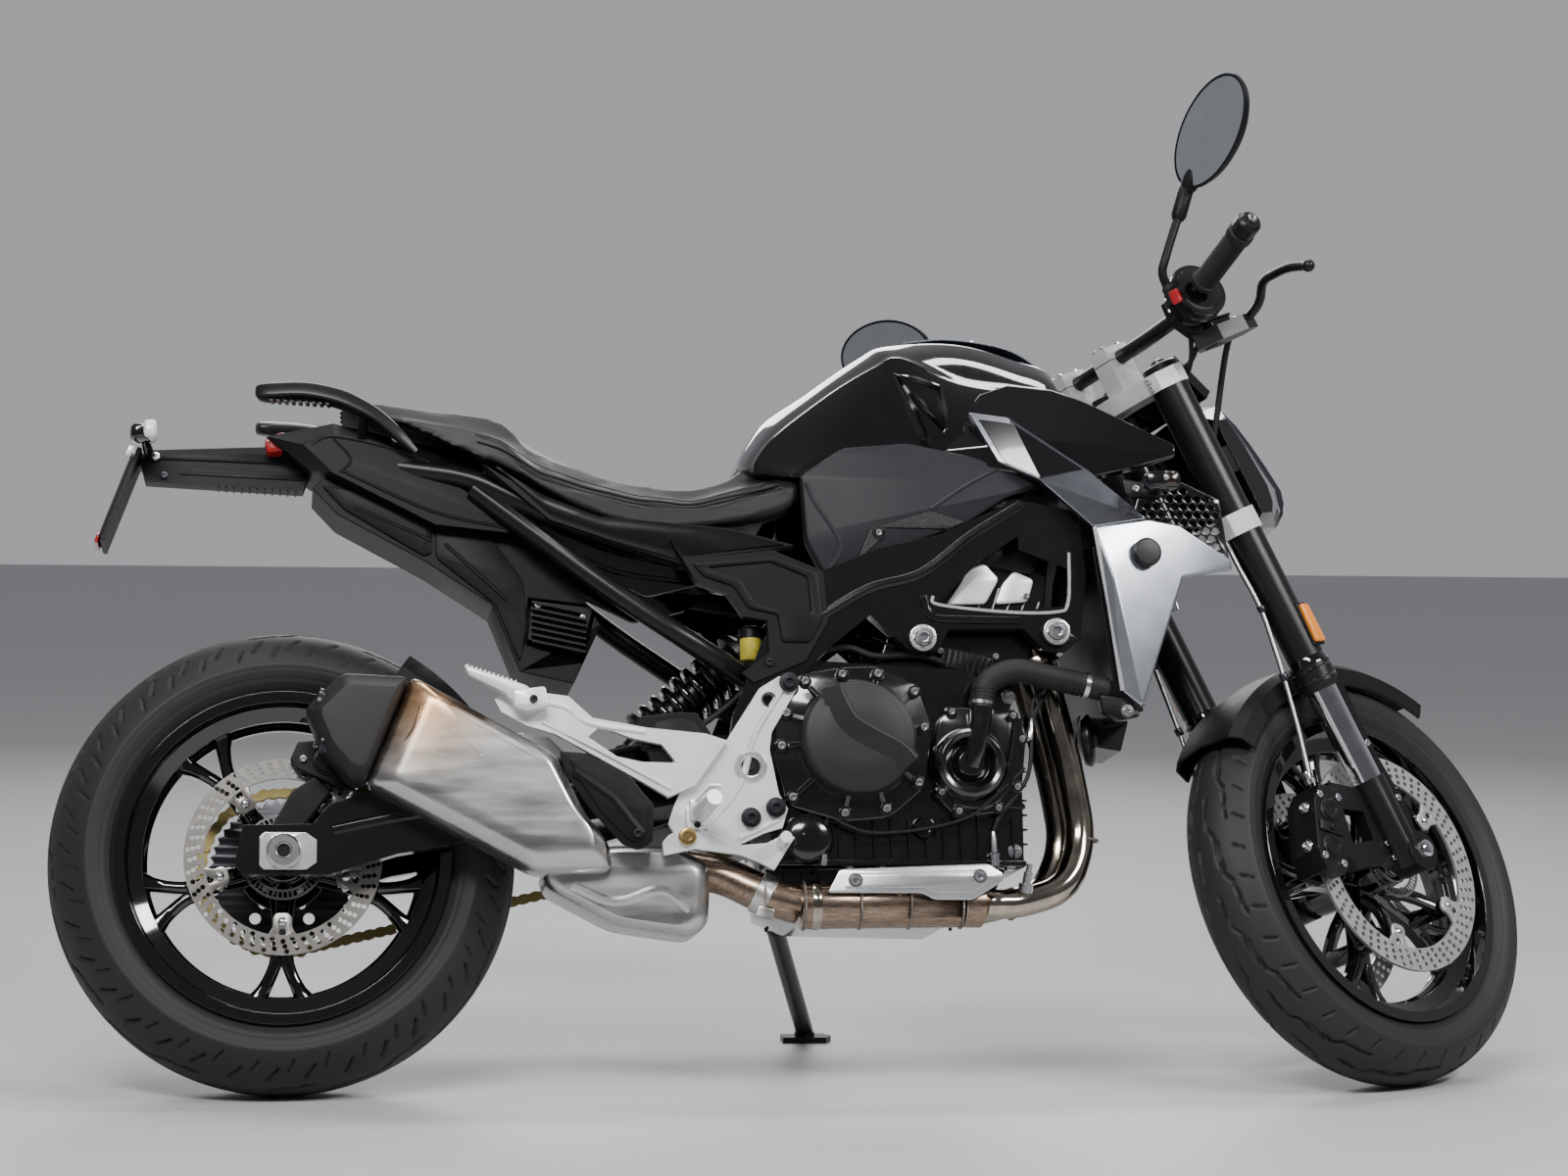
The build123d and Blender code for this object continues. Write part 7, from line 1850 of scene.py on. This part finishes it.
rear_pod, rear_lens = pod((-198, -70, 891), 34, 24, 42)[0], pod((-188, -70, 894), 19, 27, 44)[1]
front_pod, front_lens = pod((1190, -198, 822), 52, 26, 40)[0], pod((1200, -198, 822), 28, 25, 41)[1]
stems = merged(tube(smooth_path([(-190, -18, 877), (-194, -50, 886), (-196, -74, 892)], 4),
                    [(0, 7.5), (0.6, 6.4), (1, 8)], 16),
               tube([(1196, -154, 822), (1194, -182, 822), (1191, -202, 822)],
                    [(0, 9), (0.3, 7), (0.8, 7), (1, 10)], 16))
fixed("indicator_pods", both_sides(merged(rear_pod, front_pod, stems)), "gloss_plastic", "gloss_plastic",
      ("indicators",), angle=35)
fixed("rear_lenses", both_sides(rear_lens), "clear_lens", "gloss_plastic", angle=40)
fixed("front_lenses", both_sides(front_lens), "smoked_lens", "gloss_plastic", angle=40)
screw_pair(1168, 160, 824, 5)
plate_foot = panel([(1150, 838), (1210, 830), (1206, 812), (1154, 814)], 5, -160, -152, bevel=1.5)
fixed("indicator_feet", both_sides(plate_foot), "satin_black", "satin_black_paint", angle=30)
pot = pin((630, -120, 578), (630, -120, 612), [(0, 9), (0.1, 14), (0.2, 14.8), (1, 14.8)], 28)
fixed("fluid_pot", pot, "brake_fluid", "gloss_plastic", ("brake_reservoir",), angle=35)
lid = merged(pin((630, -120, 611), (630, -120, 629), [(0, 14), (0.05, 16), (0.75, 16), (0.9, 14), (1, 10)],
                 36), pin((630, -120, 556), (630, -120, 580), [(0, 5), (0.6, 5), (0.7, 8), (1, 9)], 20))
fixed("fluid_lid", lid, "satin_black", "matt_plastic", angle=30)
print("tail done")

# %% [markdown]
# ## Seat
# A seat is foam under a tight cover. It is drawn slightly small from its slices, rebuilt with
# even faces, and blown up as cloth: pressure pushes the cover out between its held lower edge
# and the top, which gives the fullness that straight faces lack. How far a spot may move is
# capped, so the seat stays clear of the tank. Piping and stitches come after the cloth.

# %% Cloth under pressure
SEAT = {0: [(637, 873), (606, 847), (550, 830), (473, 838), (404, 859), (335, 895), (287, 929),
            (194, 945), (88, 955), (88, 934), (300, 863), (420, 794), (523, 779), (636, 793)],
        70: [(646, 867), (609, 842), (550, 826), (473, 834), (404, 853), (335, 888), (287, 924),
             (194, 938), (91, 947), (91, 932), (300, 861), (420, 790), (523, 772), (646, 789)],
        112: [(695, 843), (649, 829), (550, 803), (473, 811), (404, 829), (334, 855), (288, 888),
              (210, 906), (154, 915), (154, 908), (300, 849), (415, 784), (523, 762), (680, 786)],
        134: [(699, 823), (659, 809), (550, 787), (473, 790), (404, 803), (337, 820), (302, 843),
              (268, 857), (234, 869), (234, 866), (306, 833), (411, 780), (523, 761), (675, 789)]}


def inset(loop, gap):
    """A loop drawn inwards by a gap, for the rounded shoulder of a pad."""
    middle = sum(loop, Vector((0, 0))) / len(loop)
    out = []
    for i, p in enumerate(loop):
        along_it = (loop[(i + 1) % len(loop)] - loop[i - 1]).normalized()
        away = Vector((along_it.y, -along_it.x))
        out.append(p - away * gap * (1 if away.dot(p - middle) > 0 else -1))
    return out


def seat_slice(y):
    far, where = abs(y), sorted(SEAT)
    i = max(k for k, w in enumerate(where) if w <= far)
    if i == len(where) - 1:
        return [Vector(p) for p in SEAT[where[i]]]
    t = (far - where[i]) / (where[i + 1] - where[i])
    t = math.sin(t * math.pi / 2) if i == 1 else t
    return [Vector(a).lerp(Vector(b), t) for a, b in zip(SEAT[where[i]], SEAT[where[i + 1]])]


def blown_up(name, shape, place, voxel, pressure, cap):
    """Remeshes a closed shape, blows it up as cloth and caps how far it went."""
    mesh = bpy.data.meshes.new(name)
    mesh.from_pydata([tuple(place @ v) for v in shape[0]], [], shape[1])
    pad = bpy.data.objects.new(name, mesh)
    bpy.context.scene.collection.objects.link(pad)
    even = pad.modifiers.new("even", "REMESH")
    even.mode, even.voxel_size = "VOXEL", voxel / 1000
    depsgraph = bpy.context.evaluated_depsgraph_get()
    skin = bpy.data.meshes.new_from_object(pad.evaluated_get(depsgraph), depsgraph=depsgraph)
    bpy.data.objects.remove(pad)
    start = np.empty(len(skin.vertices) * 3)
    skin.vertices.foreach_get("co", start)
    pad = bpy.data.objects.new(name, skin)
    bpy.context.scene.collection.objects.link(pad)
    up = (place.to_3x3() @ Vector(UP)).normalized()
    held = pad.vertex_groups.new(name="held")
    held.add([v.index for v in skin.vertices if v.normal.dot(up) < -0.35], 1.0, "REPLACE")
    cloth = pad.modifiers.new("cloth", "CLOTH")
    cloth.settings.vertex_group_mass = "held"
    cloth.settings.use_pressure, cloth.settings.uniform_pressure_force = True, pressure
    cloth.settings.effector_weights.gravity = 0
    cloth.settings.mass, cloth.settings.quality = 0.3, 5
    cloth.settings.bending_stiffness = 6.0
    cloth.point_cache.frame_start, cloth.point_cache.frame_end = 1, 20
    for step in range(1, 21):
        bpy.context.scene.frame_set(step)
    depsgraph = bpy.context.evaluated_depsgraph_get()
    full = bpy.data.meshes.new_from_object(pad.evaluated_get(depsgraph), depsgraph=depsgraph)
    end = np.empty(len(full.vertices) * 3)
    full.vertices.foreach_get("co", end)
    move = (end - start).reshape(-1, 3)
    size = np.linalg.norm(move, axis=1, keepdims=True)
    print(name, "swelled by", round(float(size.max()) * 1000, 1), "mm, mean",
          round(float(size.mean()) * 1000, 1))
    move *= np.minimum(1, cap / 1000 / np.maximum(size, 1e-9))
    full.vertices.foreach_set("co", (start.reshape(-1, 3) + move).reshape(-1))
    bpy.context.scene.frame_set(1)
    bpy.data.objects.remove(pad)
    return full


# %% The seat, its piping and its stitches
levels = [(134, 8), (132, 4), (128, 1)] + [(v, 0) for v in (122, 116, 110, 103, 95, 86, 70, 55, 40, 26, 12)]
half = [(y, inset(smooth_loop(seat_slice(y), 5), gap) if gap else smooth_loop(seat_slice(y), 5))
        for y, gap in levels]
rings = [[(p.x, -y, p.y) for p in loop] for y, loop in half] + [[(p.x, y, p.y) for p in loop]
                                                                for y, loop in half[::-1]]
seat = keep("seat_cushion", blown_up("seat_cushion", loft(rings), BIKE, 6.0, 4.0, 6.0), "seat_cover", "frame",
            ("seat",), angle=80, subdivide=1)


def seat_top(x, y, out=0.0):
    """A spot on the seat's upper face."""
    line = sorted((p.x, p.y) for p in seat_slice(y)[:9])
    return Vector((x, y, float(np.interp(x, [a for a, _ in line], [b for _, b in line])) + out))


PIPE_X = (672, 645, 600, 550, 510, 473, 440, 404, 370, 340, 310, 285, 255)


def seam(y, out):
    return smooth_path([seat_top(x, -y, out) for x in PIPE_X], 4)


fixed("seat_piping", both_sides(tube(seam(122, 3.4), 2.0, 10)), "rubber", "seat_cover", angle=60)
stitch = loft([[(-2.4, u * 0.4, v * 0.4) for u, v in disc(0.8, 6)], [(-1.5, u, v) for u, v in disc(0.8, 6)],
               [(1.5, u, v) for u, v in disc(0.8, 6)], [(2.4, u * 0.4, v * 0.4) for u, v in disc(0.8, 6)]])
rows = [both_sides(repeated(stitch, seam(y, out), 88, up=UP)) for y, out in ((116, 4.6), (127, 1.6))]
fixed("seat_stitches", merged(*rows), "matt_plastic", "seat_cover", angle=60)
base = panel([(250, 862), (306, 836), (414, 782), (523, 764), (660, 788), (656, 796), (523, 774), (416, 794),
              (308, 848), (254, 870)], 4, -122, 122, bevel=2.0)
fixed("seat_base", base, "matt_plastic", "matt_plastic", angle=30)
TRIM = [(262, 850), (343, 796), (420, 770), (523, 752), (604, 758), (600, 716), (562, 690), (490, 672),
        (420, 706), (350, 742), (300, 786)]
trim = [panel(TRIM, 8, -100, -95, bevel=2.0),
        crease([(300, -100.5, 812), (400, -100.5, 752), (500, -100.5, 726), (590, -100.5, 736)], 10, 4.0),
        crease([(380, -100.5, 734), (450, -100.5, 706), (540, -100.5, 694)], 8, 3.2)]
fixed("rail_trims", both_sides(merged(*trim)), "gloss_black", "gloss_plastic", angle=30)
print("stitches", 88 * 4)

# %% [markdown]
# What is left keeps the shape of its solid. A copy of each is given rounded edges and its finish.

# %% The remaining solids, dressed
PLAIN = {"gloss_black_paint": "gloss_black", "satin_black_paint": "satin_black",
         "graphite_paint": "graphite_paint", "silver_paint": "silver_paint", "black_casting": "black_casting",
         "silver_casting": "silver_casting", "bright_aluminium": "bright_aluminium", "stainless": "steel",
         "disc_steel": "steel", "steel": "steel", "chain_gold": "chain_gold", "chrome": "chrome",
         "tyre": "rubber", "rubber": "rubber", "matt_plastic": "matt_plastic",
         "gloss_plastic": "gloss_plastic", "seat_cover": "seat_cover", "mirror_glass": "mirror_glass"}
for name, solid in sorted(frame["nodes"].items()):
    if not solid.hide_render:
        dress(name, PLAIN[slot_of[name]], 1.2)
        print("dressed", name)

# %% [markdown]
# All the screws that were noted down are made now.

# %% The screws
set_screws()

# %% [markdown]
# The camera stands about five metres to the right of the machine, level with the rear axle and
# at the height of the seat. The floor is plain and pale, and large soft lights give long even
# highlights. The world is brighter on the far side than behind the camera.

# %% Camera, floor and light
LENS_MM, SENSOR_MM = 82.37, 36.0
CAMERA_FROM_AXLE = Vector((-0.02043, -4.91644, 0.57850))
CAMERA_TURN = (87.7228, -0.7789, -8.1271)
FLOOR_HALF = 20
SKY_FADE = (-0.5, 0.5, 0.13, 0.42)
LIGHTS_AIM = Vector((0, -0.1, 0.5))
camera = bpy.data.cameras.new("camera")
camera.lens, camera.sensor_width = LENS_MM, SENSOR_MM
camera_ob = bpy.data.objects.new("camera", camera)
bpy.context.scene.collection.objects.link(camera_ob)
camera_ob.location = rear_axle + CAMERA_FROM_AXLE
camera_ob.rotation_euler = [math.radians(a) for a in CAMERA_TURN]
bpy.context.scene.camera = camera_ob
new_finish("floor", (0.46, 0.46, 0.465), rough=0.5, tone=0.02, grain=40, depth=0.1)
floor_mesh = bpy.data.meshes.new("floor")
floor_mesh.from_pydata([(FLOOR_HALF * u, FLOOR_HALF * v, 0) for u, v in ((-1, -1), (1, -1), (1, 1), (-1, 1))],
                       [], [(0, 1, 2, 3)])
floor_mesh.materials.append(finishes["floor"])
floor = bpy.data.objects.new("floor", floor_mesh)
bpy.context.scene.collection.objects.link(floor)
world = bpy.context.scene.world or bpy.data.worlds.new("world")
bpy.context.scene.world = world
world.use_nodes = True
sky = world.node_tree
sky.nodes["Background"].inputs[0].default_value = (0.94, 0.95, 1.0, 1)
way = node(sky, "ShaderNodeTexCoord", (-800, 0))
parts = node(sky, "ShaderNodeSeparateXYZ", (-600, 0))
sky.links.new(way.outputs["Generated"], parts.inputs[0])
bright = node(sky, "ShaderNodeMapRange", (-400, 0))
for key, value in zip(("From Min", "From Max", "To Min", "To Max"), SKY_FADE):
    bright.inputs[key].default_value = value
sky.links.new(parts.outputs["Y"], bright.inputs["Value"])
sky.links.new(bright.outputs["Result"], sky.nodes["Background"].inputs["Strength"])
# Each light: its place, its power in watts, its width and its depth in metres.
LIGHTS = [((-1.4, -3.2, 3.3), 190, 2.6, 0.7), ((2.6, -2.4, 2.9), 130, 1.8, 0.6),
          ((0.0, 0.3, 3.6), 80, 3.0, 0.5), ((0.4, 4.0, 2.6), 90, 3.0, 1.6)]
for spot, power, wide, deep in LIGHTS:
    light = bpy.data.lights.new("softbox", "AREA")
    light.shape = "RECTANGLE"
    light.energy, light.size, light.size_y = power, wide, deep
    holder = bpy.data.objects.new("softbox", light)
    holder.location = spot
    holder.rotation_euler = (LIGHTS_AIM - Vector(spot)).to_track_quat("-Z", "Y").to_euler()
    bpy.context.scene.collection.objects.link(holder)
print(len(LIGHTS), "lights")
